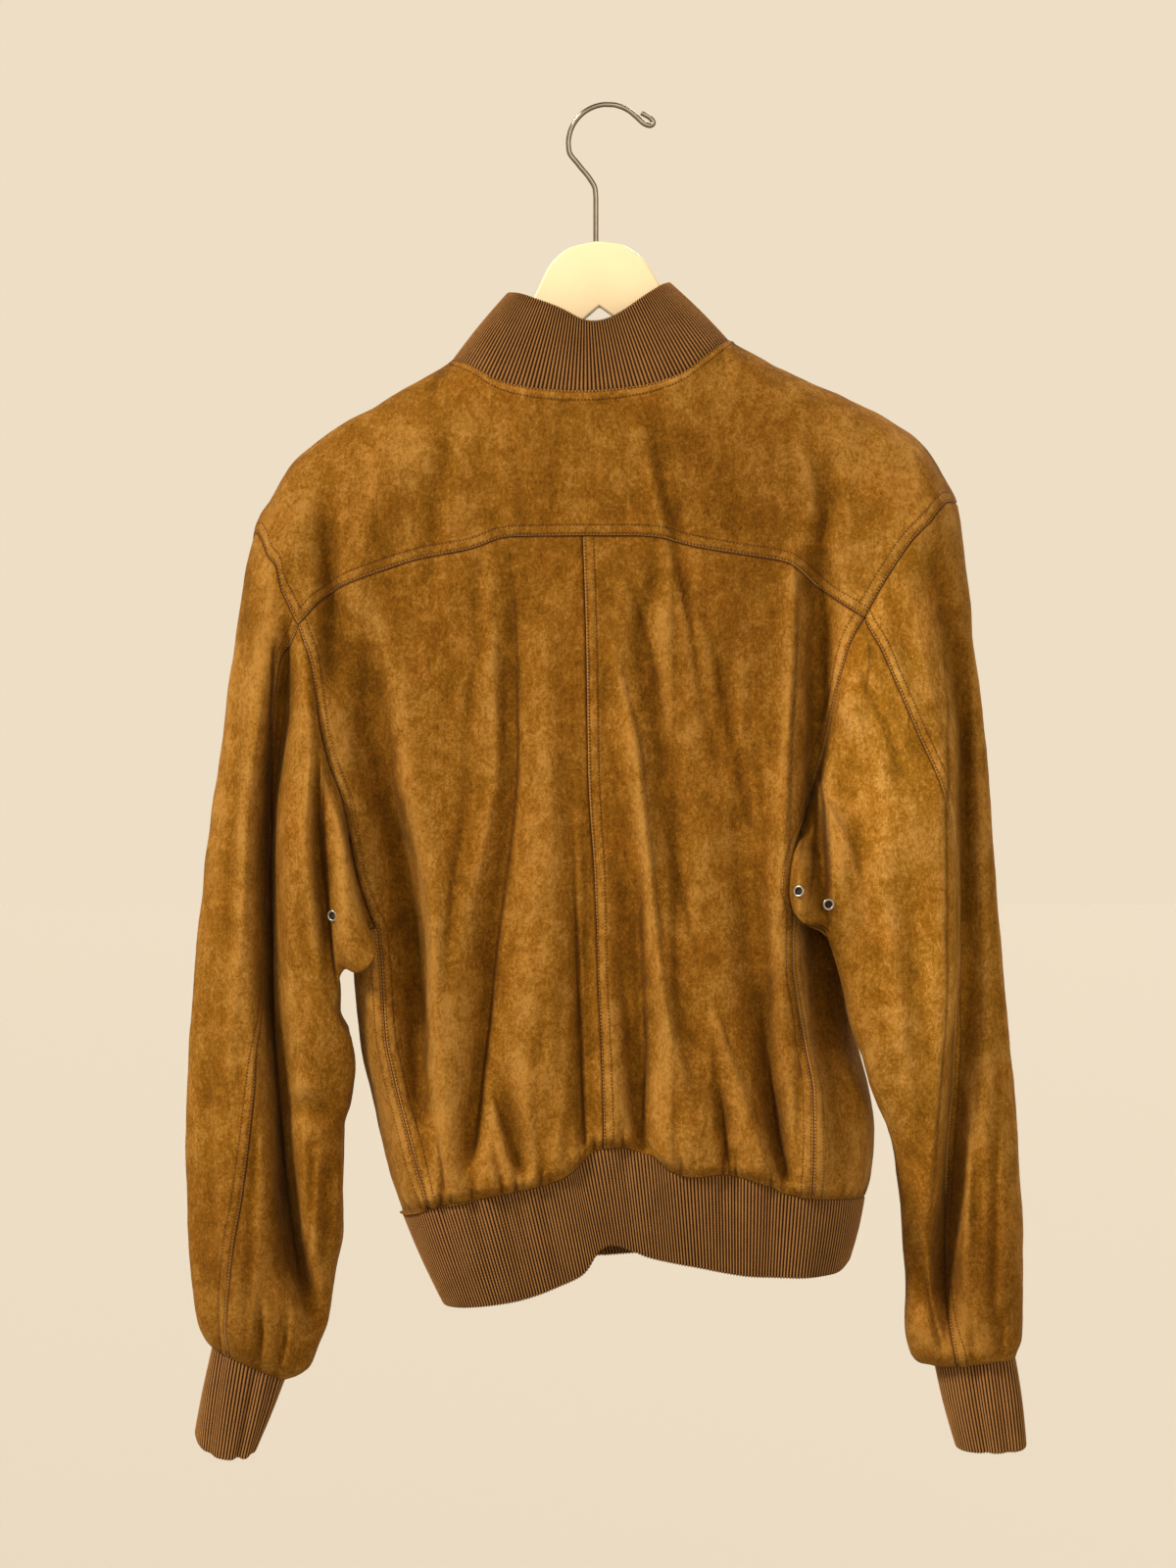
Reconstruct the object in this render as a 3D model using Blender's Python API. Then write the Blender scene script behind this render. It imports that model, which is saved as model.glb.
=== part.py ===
"""A suede blouson with knitted rib bands, buttoned in front, hung back to the viewer on a flat hanger.

Sizes are millimetres until add_mesh scales them. X runs to the wearer's right, Y to the jacket's front,
and DROP is the distance below the hook's hanging point, so Z = -DROP. Tables hold one row per section or
fold. The back is the side at -Y, the front the one at +Y.
"""

import math

import bmesh
import bpy
import numpy as np
from mathutils import Matrix, Vector

MM = 0.001
SUEDE_WALL = 1.5
RIB_WALL = 2.4
RIB_PITCH = 2.6
CUFF_INNER_SIDES = 12
RIB_DEPTH = 0.7
SEAM_GAP = 0.3
WAIST_GAP = 0.8  # from the suede's lower edge line to the waistband, for its steep stretches
CORNER_GAP = 3.0  # a panel's corners are drawn back by this many times the rest of its border
LAP = 3.0  # how far the left front edge stands off the right one under it
LAP_REACH = 12.0  # how far each front edge passes the centre line
LAP_START, LAP_EASE = -34.0, 18.0  # X from which the left front rises to its lap, and over how much
BACK, FRONT = -1, 1

# The shoulder line and, between the neck points, its rise inside the collar.
RIDGE = dict(
    x=(-239, -235, -226, -212, -199, -171, -149, -118, -103, -78, -51, -8, 35, 62, 84, 103, 131, 168, 199,
       218, 231, 239),
    drop=(294, 279, 265, 241, 230, 211, 199, 181, 171, 156, 143, 134, 138, 146, 158, 169, 183, 199, 216,
          231, 252, 269),
)
SHOULDER_ROUND = 70.0  # drop over which the wall turns from the shoulder line to its full depth
SHOULDER_ROLL = 57.0  # the same turn's mean radius
SHOULDER_SEAM = -14.0  # the yoke passes the shoulder line by this much, measured round the turn
SHOULDER_TIP = 0.99  # X of that seam's outer end over the armhole's
SIDE_ARC = 1.5  # length round a rounded side over its radius

# The body's sections: outer edges at left and right, radius of its sides, depth of its back and front.
SECTIONS = dict(
    drop=(294, 353, 420, 473, 513, 553, 583, 633, 666, 693, 726, 751),
    left=(-261, -257, -228, -199, -185, -173, -171, -166, -159, -153, -145, -137),
    right=(262, 255, 205, 182, 167, 161, 163, 171, 180, 184, 181, 172),
    side=(60, 60, 52, 46, 45, 45, 45, 45, 46, 46, 48, 50),
    back=(44, 47, 51, 55, 57, 59, 60, 61, 62, 62, 61, 58),
    front=(42, 48, 53, 57, 59, 60, 61, 62, 63, 63, 62, 59),
)

# Seams of the back, as rows of (drop, x).
YOKE_SEAM = (
    (353, -206), (331, -184), (319, -156), (308, -122), (302, -90), (294, -66), (293, -15),
    (293, 18), (295, 43), (298, 50), (306, 93), (311, 123), (320, 136), (332, 149), (348, 174),
)
CENTRE_SEAM = ((293, -15), (353, -13), (460, -11), (526, -7), (595, -5), (641, -3), (704, -1))
ARMHOLE_BACK = {
    "left": ((353, -206), (380, -197), (420, -191), (446, -185), (474, -175), (519, -167), (546, -159),
             (558, -153)),
    "right": ((348, 174), (367, 164), (400, 155), (430, 149), (473, 137), (511, 125), (532, 123), (546, 126)),
}
ARMHOLE_YOKE = {
    "left": ((294, -239), (313, -221), (327, -218), (353, -206)),
    "right": ((269, 239), (278, 224), (293, 209), (325, 187), (348, 174)),
}
SIDE_SEAM = {
    "left": ((558, -153), (583, -150), (630, -147), (655, -142), (687, -134), (717, -126), (746, -118)),
    "right": ((546, 126), (579, 126), (630, 133), (669, 139), (710, 139), (738, 138)),
}
# The armhole's front half, as rows of (drop, x, which side of the body).
ARMHOLE_FRONT = {
    "left": ((319, -230, FRONT), (353, -211, FRONT), (406, -193, FRONT), (446, -178, FRONT),
             (493, -166, FRONT), (528, -164, FRONT), (549, -166, BACK), (558, -153, BACK)),
    "right": ((300, 228, FRONT), (336, 208, FRONT), (390, 184, FRONT), (430, 168, FRONT),
              (477, 154, FRONT), (510, 152, FRONT), (536, 150, BACK), (546, 126, BACK)),
}
NECK_BACK = ((171, -103), (183, -80), (193, -49), (195, -11), (191, 27), (179, 58), (158, 84))
NECK_FRONT = ((183, -98), (206, -85), (236, -58), (251, -31), (254, -5), (251, 22), (229, 49), (196, 70),
              (171, 81))
NECK_SEAM_ENDS = (-101.0, 82.5)  # X at which the yoke's neck edge meets the shoulder seams
NECK_FOOT, NECK_FOOT_X = 254.0, 5.0  # the neck edge's lowest drop, and X from which it runs level
NECK_FRONT_FROM = 8.0  # the neck edge's table is used past this X
FRONT_FOOT = 742.0  # the fronts' mean drop at the waist
WAIST = {
    BACK: ((750, -136), (743, -109), (735, -66), (725, -29), (714, -15), (706, -7), (704, 7), (709, 31),
           (720, 44), (724, 60), (722, 79), (728, 104), (736, 125), (739, 147), (740, 173)),
    FRONT: ((750, -136), (745, -60), (739, 0), (738, 90), (740, 173)),
}
BAND_HEM = {
    BACK: ((811, -112), (812, -103), (807, -61), (796, -29), (786, -11), (771, -4), (768, 5), (770, 13),
           (776, 26), (784, 63), (790, 99), (791, 136), (789, 157), (781, 167)),
    FRONT: ((808, -112), (800, -60), (790, 0), (786, 90), (780, 167)),
}
COLLAR_RIM = {
    BACK: ((125, -66), (130, -51), (139, -28), (147, -11), (147, -5), (138, 15), (128, 29), (118, 44)),
    FRONT: ((125, -66), (163, -45), (188, -25), (192, -5), (184, 12), (158, 28), (118, 44)),
}
COLLAR_MIDDLE, COLLAR_HALF_RIM = -11.0, 55.0  # the rim's middle and half width
COLLAR_DRAW_IN = 0.70  # rim depth over base depth
COLLAR_INSET, COLLAR_RISE = 0.4, 0.3  # its base stands in and up from the suede's neck edge
BAND_TURN = 30.0  # the bands pass from their back to their front line over this depth
BAND_DRAW_IN = 0.97  # hem depth over waist depth

# Folds of the body: rows of (drop, x, height, reach to the left, reach to the right). A height below
# zero is a trough, and a short reach is a steep flank.
BODY_FOLDS = {
    "left shoulder fold": (BACK, ((245, -187, 0, 9, 9), (285, -186, -7, 8, 9), (326, -185, -11, 7, 8),
                                  (366, -184, -8, 8, 9), (410, -181, 0, 9, 9))),
    "left deep fold": (BACK, ((322, -178, 0, 14, 12), (366, -163, -12, 16, 12), (400, -154, -20, 18, 10),
                              (460, -145, -27, 20, 9), (520, -133, -34, 24, 8), (566, -127, -37, 26, 7),
                              (603, -125, -34, 24, 7), (650, -124, -26, 16, 8), (695, -122, -12, 10, 10),
                              (738, -118, 0, 9, 9))),
    "left edge ridge": (BACK, ((440, -132, 0, 10, 14), (520, -119, 4, 8, 16), (603, -112, 6, 8, 16),
                               (690, -108, 4, 10, 14), (735, -104, 0, 10, 10))),
    "left soft trough": (BACK, ((300, -62, 0, 12, 12), (380, -62, -3, 12, 12), (470, -64, -4, 12, 12),
                                (560, -73, -7, 12, 14), (630, -80, -9, 10, 13), (690, -88, -8, 8, 10),
                                (728, -92, -2, 6, 8))),
    "left middle ridge": (BACK, ((310, -45, 0, 20, 20), (450, -44, 4, 20, 22), (560, -46, 5, 18, 20),
                                 (660, -52, 5, 14, 16), (720, -50, 2, 10, 10))),
    "left low trough": (BACK, ((640, -72, 0, 6, 6), (672, -66, -7, 6, 9), (705, -58, -9, 6, 8),
                               (727, -54, -2, 5, 5))),
    "centre trough": (BACK, ((420, -8, 0, 8, 8), (520, -10, -4, 8, 8), (600, -10, -6, 8, 7),
                             (690, -10, -5, 8, 8),
                             (712, -10, -1, 8, 8))),
    "centre right valley": (BACK, ((450, 12, 0, 12, 14), (530, 16, -6, 12, 12), (600, 20, -9, 12, 11),
                                   (660, 24, -13, 11, 8), (700, 26, -11, 8, 7), (712, 27, -3, 6, 6))),
    "long ridge": (BACK, ((360, 6, 0, 7, 8), (430, 17, 5, 7, 8), (500, 26, 7, 7, 9), (570, 33, 8, 7, 10),
                          (640, 44, 6, 9, 10), (690, 56, 3, 10, 10), (715, 60, 0, 8, 8))),
    "long ridge shade": (BACK, ((300, 40, 0, 7, 9), (360, 24, -5, 7, 9), (430, 37, -6, 6, 9),
                                (500, 45, -6, 6, 10), (560, 50, 0, 7, 9))),
    "yoke crease": (BACK, ((215, 33, 0, 6, 8), (245, 38, -3, 5, 8), (290, 46, -4, 5, 8), (335, 51, -2, 6, 8),
                           (370, 54, 0, 8, 8))),
    "right soft trough": (BACK, ((330, 72, 0, 12, 14), (440, 84, -5, 14, 14), (540, 96, -10, 15, 12),
                                 (620, 106, -14, 14, 10), (680, 114, -16, 12, 8), (715, 119, -10, 8, 6),
                                 (733, 121, -2, 6, 6))),
    "right low trough": (BACK, ((650, 70, 0, 6, 7), (680, 78, -6, 7, 6), (705, 82, -7, 6, 6),
                                (720, 84, -2, 6, 6))),
    "right edge ridge": (BACK, ((300, 124, 0, 9, 8), (345, 126, 5, 10, 6), (470, 121, 5, 10, 5),
                                (590, 120, 4, 8, 5), (680, 122, 3, 6, 6), (720, 124, 0, 6, 6))),
    "right channel": (BACK, ((300, 146, 0, 10, 12), (325, 146, -14, 9, 11), (363, 144, -26, 9, 11),
                             (430, 142, -32, 9, 14), (500, 140, -36, 8, 30), (560, 142, -34, 9, 44),
                             (610, 146, -26, 12, 44), (660, 152, -12, 14, 30), (705, 158, 0, 14, 20))),
    "right yoke fold": (BACK, ((235, 152, 0, 8, 8), (270, 148, -5, 8, 8), (312, 142, -8, 8, 7),
                               (345, 140, 0, 8, 8))),
    "right side ridge": (BACK, ((610, 136, 0, 9, 10), (660, 142, 8, 9, 10), (705, 143, 6, 9, 10),
                                (735, 142, 0, 8, 8))),
    "front left fold": (FRONT, ((330, -112, 0, 28, 26), (450, -106, -8, 28, 24), (560, -100, -12, 26, 22),
                                (660, -96, -9, 22, 20), (735, -92, 0, 18, 18))),
    "front left swell": (FRONT, ((400, -62, 0, 24, 24), (540, -56, 5, 24, 24), (670, -52, 5, 22, 22),
                                 (730, -50, 0, 20, 20))),
    "front right fold": (FRONT, ((330, 104, 0, 26, 28), (440, 102, -7, 26, 28), (560, 98, -11, 22, 26),
                                 (650, 94, -9, 20, 22), (730, 90, 0, 18, 18))),
    "front right swell": (FRONT, ((420, 58, 0, 24, 24), (560, 54, 6, 24, 24), (680, 50, 4, 22, 22),
                                  (728, 48, 0, 20, 20))),
}
GATHERS = {  # X of each gather above the waist seam
    BACK: (-110, -89, -69, -59, -43, 12, 79, 88, 111),
    FRONT: (-118, -96, -71, -48, -27, 30, 52, 74, 95, 121, 146),
}
GATHER_DEPTH, GATHER_REACH, GATHER_HEIGHT = 2.6, 3.6, 26.0
FOLD_END = 8.0  # the folds fade out over this height above the waist
TUCK_DEPTH, TUCK_HEIGHT = 9.0, 17.0  # the suede turns in to the knitted band over this height

# Sleeve stations: share of the length, drop, x and y of the outer and the inner edge, depth back and front.
SLEEVE_COLUMNS = ("share", "outer_drop", "outer_x", "outer_y", "inner_drop", "inner_x", "inner_y", "back",
                  "front")
SLEEVES = {
    "left": (
        (0.00, 294, -239, 0, 558, -153, -24, 34, 50),
        (0.05, 316, -245, 0, 572, -153, -48, 32, 58),
        (0.10, 340, -249, 0, 582, -157, -52, 32, 62),
        (0.15, 363, -252, 0, 586, -165, -50, 33, 62),
        (0.20, 386, -255, 0, 584, -173, -44, 35, 58),
        (0.26, 413, -258, 0, 593, -178, -36, 37, 54),
        (0.34, 453, -263, 0, 613, -179, -25, 38, 48),
        (0.42, 493, -269, 0, 632, -171, -20, 36, 44),
        (0.50, 534, -274, 0, 648, -169, -16, 34, 42),
        (0.58, 576, -278, 0, 676, -173, -10, 33, 40),
        (0.66, 621, -281, 0, 693, -177, -6, 32, 38),
        (0.74, 666, -284, 0, 726, -177, -3, 31, 36),
        (0.82, 713, -285, 0, 763, -177, 0, 31, 34),
        (0.88, 753, -284, 0, 793, -183, 0, 31, 33),
        (0.93, 796, -281, 0, 823, -188, 0, 31, 33),
        (0.965, 826, -276, 0, 840, -195, 0, 29, 31),
        (0.985, 838, -271, 0, 855, -201, 0, 26, 28),
        (1.00, 843, -267, 4, 865, -218, 0, 19, 20),
    ),
    "right": (
        (0.00, 269, 239, 0, 546, 126, -24, 34, 50),
        (0.05, 289, 243, 0, 552, 130, -46, 32, 56),
        (0.10, 313, 246, 0, 554, 136, -51, 32, 60),
        (0.15, 336, 249, 0, 556, 144, -53, 32, 60),
        (0.20, 360, 251, 0, 564, 150, -51, 33, 60),
        (0.26, 386, 254, 0, 575, 154, -50, 35, 58),
        (0.34, 423, 257, 0, 596, 159, -47, 37, 54),
        (0.42, 463, 261, 0, 623, 165, -46, 36, 50),
        (0.50, 510, 265, 0, 648, 174, -43, 35, 46),
        (0.58, 560, 269, 0, 676, 184, -33, 34, 44),
        (0.66, 613, 273, 0, 706, 195, -18, 33, 40),
        (0.74, 666, 278, 0, 738, 199, -8, 32, 36),
        (0.82, 720, 282, 0, 773, 203, -2, 31, 34),
        (0.88, 763, 284, 0, 801, 205, 0, 31, 33),
        (0.93, 803, 284, 0, 825, 204, 0, 31, 33),
        (0.965, 834, 284, 0, 845, 208, 4, 29, 31),
        (0.985, 845, 281, 0, 853, 214, 8, 26, 28),
        (1.00, 850, 279, -2, 857, 226, 12, 19, 20),
    ),
}
SLEEVE_SEAM = {  # the back sleeve seam, as rows of (drop, x)
    "left": ((353, -206), (363, -214), (380, -219), (433, -224), (513, -227), (566, -229), (593, -231),
             (648, -234),
             (688, -238), (737, -244), (786, -252), (833, -256), (850, -254)),
    "right": ((348, 174), (364, 183), (395, 196), (429, 211), (461, 225), (479, 231), (500, 235), (540, 238),
              (593, 239), (660, 236), (726, 232), (781, 231), (814, 232), (840, 236), (860, 240)),
}
SLEEVE_FOLDS = {
    "left": {
        "deep fold": (BACK, ((296, -222, 0, 9, 9), (340, -224, -12, 10, 9), (371, -222, -20, 11, 8),
                             (420, -223, -27, 9, 9),
                             (514, -227, -30, 8, 10), (593, -227, -30, 8, 11), (660, -221, -30, 8, 11),
                             (726, -216, -30, 8, 10), (781, -210, -26, 9, 9), (815, -198, -12, 8, 7),
                             (835, -192, 0, 8, 8))),
        "underarm fold": (BACK, ((430, -186, 0, 11, 11), (470, -185, -8, 11, 11), (520, -184, -14, 11, 11),
                                 (560, -183, -15, 11, 11), (585, -181, -7, 11, 11), (605, -180, 0, 11, 11))),
        "edge crease": (BACK, ((700, -180, 0, 5, 6), (730, -188, -6, 5, 7), (765, -189, -5, 5, 6),
                               (790, -190, 0, 5, 5))),
        "elbow crease": (BACK, ((664, -195, 0, 20, 20), (678, -196, -5, 20, 18), (692, -196, 0, 20, 20))),
        "outer crease": (BACK, ((715, -279, 0, 5, 7), (770, -274, -4, 5, 7), (830, -268, 0, 5, 7))),
        "low swell": (BACK, ((650, -255, 0, 14, 14), (740, -256, 4, 14, 16), (820, -246, 5, 16, 16),
                             (850, -244, 0, 12, 12))),
        "front fold": (FRONT, ((380, -224, 0, 12, 12), (500, -222, -10, 10, 12), (640, -224, -16, 10, 12),
                               (760, -230, -12, 12, 12), (830, -236, 0, 10, 10))),
    },
    "right": {
        "deep fold": (BACK, ((272, 234, 0, 7, 9), (327, 238, -16, 6, 9), (376, 241, -23, 5, 10),
                             (440, 242, -28, 5, 11),
                             (500, 242, -30, 5, 12), (593, 242, -30, 6, 13), (660, 237, -30, 7, 12),
                             (726, 233, -32, 7, 10), (781, 230, -30, 7, 9), (814, 231, -22, 7, 9),
                             (845, 236, 0, 8, 8))),
        "cap fold": (BACK, ((352, 176, 0, 5, 6), (378, 177, -6, 6, 6), (410, 176, -7, 6, 6),
                            (440, 172, 0, 6, 6))),
        "cap fold outer": (BACK, ((300, 212, 0, 7, 7), (330, 198, -5, 7, 6), (352, 188, 0, 6, 6))),
        "underarm fold": (BACK, ((352, 152, 0, 8, 5), (400, 146, -10, 13, 8), (470, 144, -20, 15, 8),
                                 (530, 144, -22, 16, 8), (552, 145, -10, 13, 8), (566, 147, 0, 10, 8))),
        "outer crease": (BACK, ((690, 252, 0, 6, 7), (735, 251, -4, 6, 7), (785, 249, 0, 6, 7))),
        "edge crease": (BACK, ((745, 203, 0, 5, 6), (775, 208, -5, 5, 6), (800, 213, -4, 5, 5),
                               (826, 222, 0, 5, 5))),
        "front fold": (FRONT, ((360, 226, 0, 12, 12), (480, 224, -9, 12, 10), (620, 228, -15, 12, 10),
                               (750, 236, -13, 12, 12), (825, 240, 0, 10, 10))),
    },
}
# Cuff hems: middle drop and x, half width, half depth, then how far the near side falls and leans, and
# the rise to +X.
CUFF_HEM = {
    "left": dict(drop=906, x=-258, width=20, depth=19, fall=11, lean=5, rise=0),
    "right": dict(drop=909, x=263, width=24, depth=19, fall=4, lean=-2, rise=2),
}

# Columns and rows of the panels.
YOKE_SIDE_COLUMNS, YOKE_NECK_COLUMNS = 10, 12
ARMHOLE_BACK_ROWS, SIDE_ROWS = 9, 7
ARMHOLE_FRONT_STOPS = (0, 0.06, 0.17, 0.34, 0.53, 0.70, 0.82, 0.90, 0.96, 1)  # shares of its length
FRONT_NECK_COLUMNS = 7
SLEEVE_STATIONS = (0, 0.02, 0.06, 0.11, 0.17, 0.25, 0.34, 0.44, 0.55, 0.65, 0.74, 0.82, 0.88, 0.93, 0.965,
                   0.985, 1.0)
FOLD_PULL = 2.2  # how far columns crowd into the folds
EVENING_ROUNDS = 2  # how often the columns are evened out from row to row
ANCHOR_STEP = 7.0  # a fold's line has a column on it, and one this far to each side
BACK_ANCHORS = {
    "left": (("left deep fold", 5), ("left soft trough", 10)),
    "right": (("long ridge", 4), ("right channel", 13)),
}
SLEEVE_ANCHORS = {("left", 0): 11, ("right", 1): 4}  # panel (0 under, 1 outer) and column of the deep fold
UNDERARM_CLEARANCE = 8.0  # the sleeve stands off the body's side by this
UNDERARM_DROPS = (480, 520)  # from none to all of that clearance
UNDERARM_SHARE, UNDERARM_TURN = 0.02, 0.9  # share of the sleeve, and angle on its back, over which it comes
SLEEVE_BULGE, SLEEVE_FOLD_FADE = 0.8, 0.5  # powers of a sleeve ring's roundness and of its folds' fade
ARMHOLE_SHARE = 0.3  # share of a sleeve over which the armhole's own line is left behind
SEAM_SHARE, HOLD_SHARE = 0.08, 0.2  # the same for the sleeve seam's place and for the columns' spacing
SEAM_SEARCH = (0.1, 0.97 * math.pi)  # angles between which the back sleeve seam is found
YOKE_SIDE_ROWS = 5
YOKE_CROWD = 0.6  # how strongly the yoke's columns crowd into folds, next to the other panels'
YOKE_FADE, FRONT_FADE = 2.0, 3.0  # how soon the rows lose their top border's shape
HOLD_RATE = 5  # columns keep their seam's spacing over one part in this many of a panel
ANCHOR_LEAD, ANCHOR_TAIL = 2.5, 3  # room before an anchored column, and after it, in and over its step
ROW_SAMPLES, PANEL_SAMPLES, RING_SAMPLES = 161, 181, 721
STEEPEST, STEEP_WINDOW = 1.5, 9
BODY_MIDDLE = (0, 0, -500.0)
SAME_PLACES = 2  # decimals to which two border points are the same
TINY = 1e-6

BUTTON_DROPS = (283, 383, 483, 583, 683)
BUTTON_RADIUS, BUTTON_THICKNESS, BUTTON_STAND = 7.5, 3.0, 0.8
EYELETS = {  # drop, x and side of each underarm eyelet
    "left": ((546, -176, BACK), (515, -190, FRONT)),
    "right": ((536, 146, BACK), (531, 131, BACK)),
}
EYELET_RING, EYELET_WIRE, EYELET_STAND = 3.1, 1.0, 0.6
BUTTON_SIDES = 16
EYELET_SIDES = (12, 4)  # round the ring and round its wire
LAP_POINTS = 6  # points of a band's line that lie in the lap

HOOK_WIRE = 1.75
HOOK_BEND = dict(drop=24, x=2, radius=26.7)
HOOK_ARC = (190, 35, -12)  # degrees: from, to and step
HOOK_SHANK = ((62, -6), (55, -6.5), (48, -10), (38, -18))  # (drop, x) up to the crook
HOOK_TIP = ((11, 28), (11.8, 31), (10, 33.2), (7, 31.5), (3, 25))  # the end, folded back on itself
HOOK_STOPS = 36
HANGER_TOP, HANGER_X, HANGER_TILT = 91.0, -6.0, math.radians(3)
HANGER_THICKNESS = 12.0
HANGER_UPPER = ((0, 0), (17, 3), (31, 13), (42, 32), (57, 56), (97, 88), (143, 115), (200, 150))  # right half
HANGER_END = ((208, 158), (209, 168), (203, 175))
HANGER_LOWER = ((150, 148), (97, 116), (60, 90), (10, 52), (0, 44))
HANGER_EDGE = 1.0
HANGER_UPPER_STOPS, HANGER_LOWER_STOPS = 16, 6

SUEDE_COLOURS = {"back": (0.30, 0.13, 0.024), "front": (0.28, 0.12, 0.022), "sleeve": (0.33, 0.15, 0.03)}
KNIT_COLOUR = (0.19, 0.10, 0.045)
HORN_COLOUR = (0.07, 0.035, 0.015)
EYELET_COLOUR = (0.55, 0.52, 0.48)
HANGER_COLOUR = (0.86, 0.83, 0.72)
CHROME_COLOUR = (0.62, 0.62, 0.62)
SHARP_ANGLE = math.radians(50)


# ---------------------------------------------------------------- curves and tables
def glide(at, stops, values):
    """A smooth curve through a table, flat past its ends, with no overshoot."""
    stops, values = np.asarray(stops, float), np.asarray(values, float)
    rise = np.diff(values) / np.diff(stops)
    slope = np.concatenate([[rise[0]], np.zeros(len(rise) - 1), [rise[-1]]])
    agree = rise[1:] * rise[:-1] > 0
    total = np.where(agree, rise[1:] + rise[:-1], 1.0)
    slope[1:-1] = np.where(agree, 2 * rise[1:] * rise[:-1] / total, 0.0)
    at = np.clip(at, stops[0], stops[-1])
    k = np.clip(np.searchsorted(stops, at, side="right") - 1, 0, len(rise) - 1)
    span = stops[k + 1] - stops[k]
    u = (at - stops[k]) / span
    ends = values[k] * (1 + 2 * u) * (1 - u) ** 2 + values[k + 1] * u * u * (3 - 2 * u)
    return ends + span * u * (1 - u) * ((1 - u) * slope[k] - u * slope[k + 1])


def ease(t):
    t = np.clip(t, 0.0, 1.0)
    return t * t * (3 - 2 * t)


def along(points):
    """Each point's distance along a line of points."""
    steps = np.linalg.norm(np.diff(np.asarray(points, float), axis=0), axis=1)
    return np.concatenate([[0.0], np.cumsum(steps)])


def resample(points, count, shares=None):
    """A smooth line through the points, at count + 1 even stops or at the given shares of its length."""
    points = np.asarray(points, float)
    reach = along(points)
    stops = np.linspace(0, reach[-1], count + 1) if shares is None else np.multiply(shares, reach[-1])
    return np.stack([glide(stops, reach, points[:, k]) for k in range(points.shape[1])], axis=1)


def fold_height(folds, x, drop, side):
    """How far the folds lift the wall off its plain form at these points."""
    total = np.zeros(np.broadcast(x, drop).shape)
    for which, rows in folds.values():
        drops, middle, height, left, right = np.array(rows, float).T
        across = x - glide(drop, drops, middle)
        reach = np.where(across < 0, glide(drop, drops, left), glide(drop, drops, right))
        total += np.where(side == which, glide(drop, drops, height) * np.exp(-((across / reach) ** 2)), 0.0)
    return total


# ---------------------------------------------------------------- the body's surface
def table_line(rows, x):
    """Drop at X on a line given as rows of (drop, x)."""
    drops, xs = np.array(rows, float).T
    return glide(x, xs, drops)


def waist_drop(x, side):
    return np.where(side == BACK, table_line(WAIST[BACK], x), table_line(WAIST[FRONT], x))


def body_depth(x, drop, side):
    """Distance of the body's wall from the middle plane."""
    left = glide(drop, SECTIONS["drop"], SECTIONS["left"])
    right = glide(drop, SECTIONS["drop"], SECTIONS["right"])
    radius = glide(drop, SECTIONS["drop"], SECTIONS["side"])
    depth = np.where(side == BACK, glide(drop, SECTIONS["drop"], SECTIONS["back"]),
                     glide(drop, SECTIONS["drop"], SECTIONS["front"]))
    past = np.maximum(left + radius - x, x - right + radius)
    turn = np.sqrt(1 - np.clip(past / radius, 0, 1) ** 2)
    below = drop - glide(x, RIDGE["x"], RIDGE["drop"])
    top = np.sqrt(1 - (1 - np.clip(below / SHOULDER_ROUND, 0, 1)) ** 2)
    above_waist = waist_drop(x, side) - drop
    lift = fold_height(BODY_FOLDS, x, drop, side) * ease(above_waist / FOLD_END)
    for which in (BACK, FRONT):
        fade = ease(1 - above_waist / GATHER_HEIGHT)
        for middle in GATHERS[which]:
            gather = GATHER_DEPTH * fade * np.exp(-(((x - middle) / GATHER_REACH) ** 2))
            lift -= np.where(side == which, gather, 0)
    lift -= TUCK_DEPTH * ease(1 - above_waist / TUCK_HEIGHT) ** 2
    return (depth + lift) * turn * top


def body_point(x, drop, side, lap=0.0):
    """The point on the body's outer face, and LAP_REACH past the centre front the lap's stand-off."""
    y = side * (body_depth(x, drop, side) + lap)
    return np.stack(np.broadcast_arrays(x, y, -drop), axis=-1).astype(float)


def ends_of(drop, hand):
    """Half width without its rounded side, the side's radius and the length round it, on one hand's side."""
    edge = np.abs(glide(drop, SECTIONS["drop"], SECTIONS[hand]))
    radius = glide(drop, SECTIONS["drop"], SECTIONS["side"])
    return edge - radius, radius, SIDE_ARC * radius


def unroll(x, drop, side, hand):
    """Distance round the body from the centre front to a point, on one hand's side."""
    flat, radius, length = ends_of(drop, hand)
    turn = np.arcsin(np.clip((np.abs(x) - flat) / radius, 0, 1)) / (math.pi / 2) * length
    reach = np.where(np.abs(x) < flat, np.abs(x), flat + turn)
    return np.where(side == FRONT, reach, 2 * (flat + length) - reach)


def roll(reach, drop, hand):
    """X and side of the point at this distance round the body from the centre front."""
    flat, radius, length = ends_of(drop, hand)
    side = np.where(reach <= flat + length, FRONT, BACK)
    reach = np.where(side == FRONT, reach, 2 * (flat + length) - reach)
    turned = flat + radius * np.sin(np.clip((reach - flat) / length, 0, 1) * math.pi / 2)
    x = np.where(reach < flat, reach, turned)
    return x * (-1 if hand == "left" else 1), side


def over_shoulder(x, roll_by):
    """Drop and side of a point rolled back (+) or forward (-) from the shoulder line."""
    angle = np.abs(roll_by) / SHOULDER_ROLL
    below = np.where(angle < math.pi / 2, SHOULDER_ROUND * (1 - np.cos(np.minimum(angle, math.pi / 2))),
                     SHOULDER_ROUND + SHOULDER_ROLL * (angle - math.pi / 2))
    return glide(x, RIDGE["x"], RIDGE["drop"]) + below, np.where(roll_by >= 0, BACK, FRONT)


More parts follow.
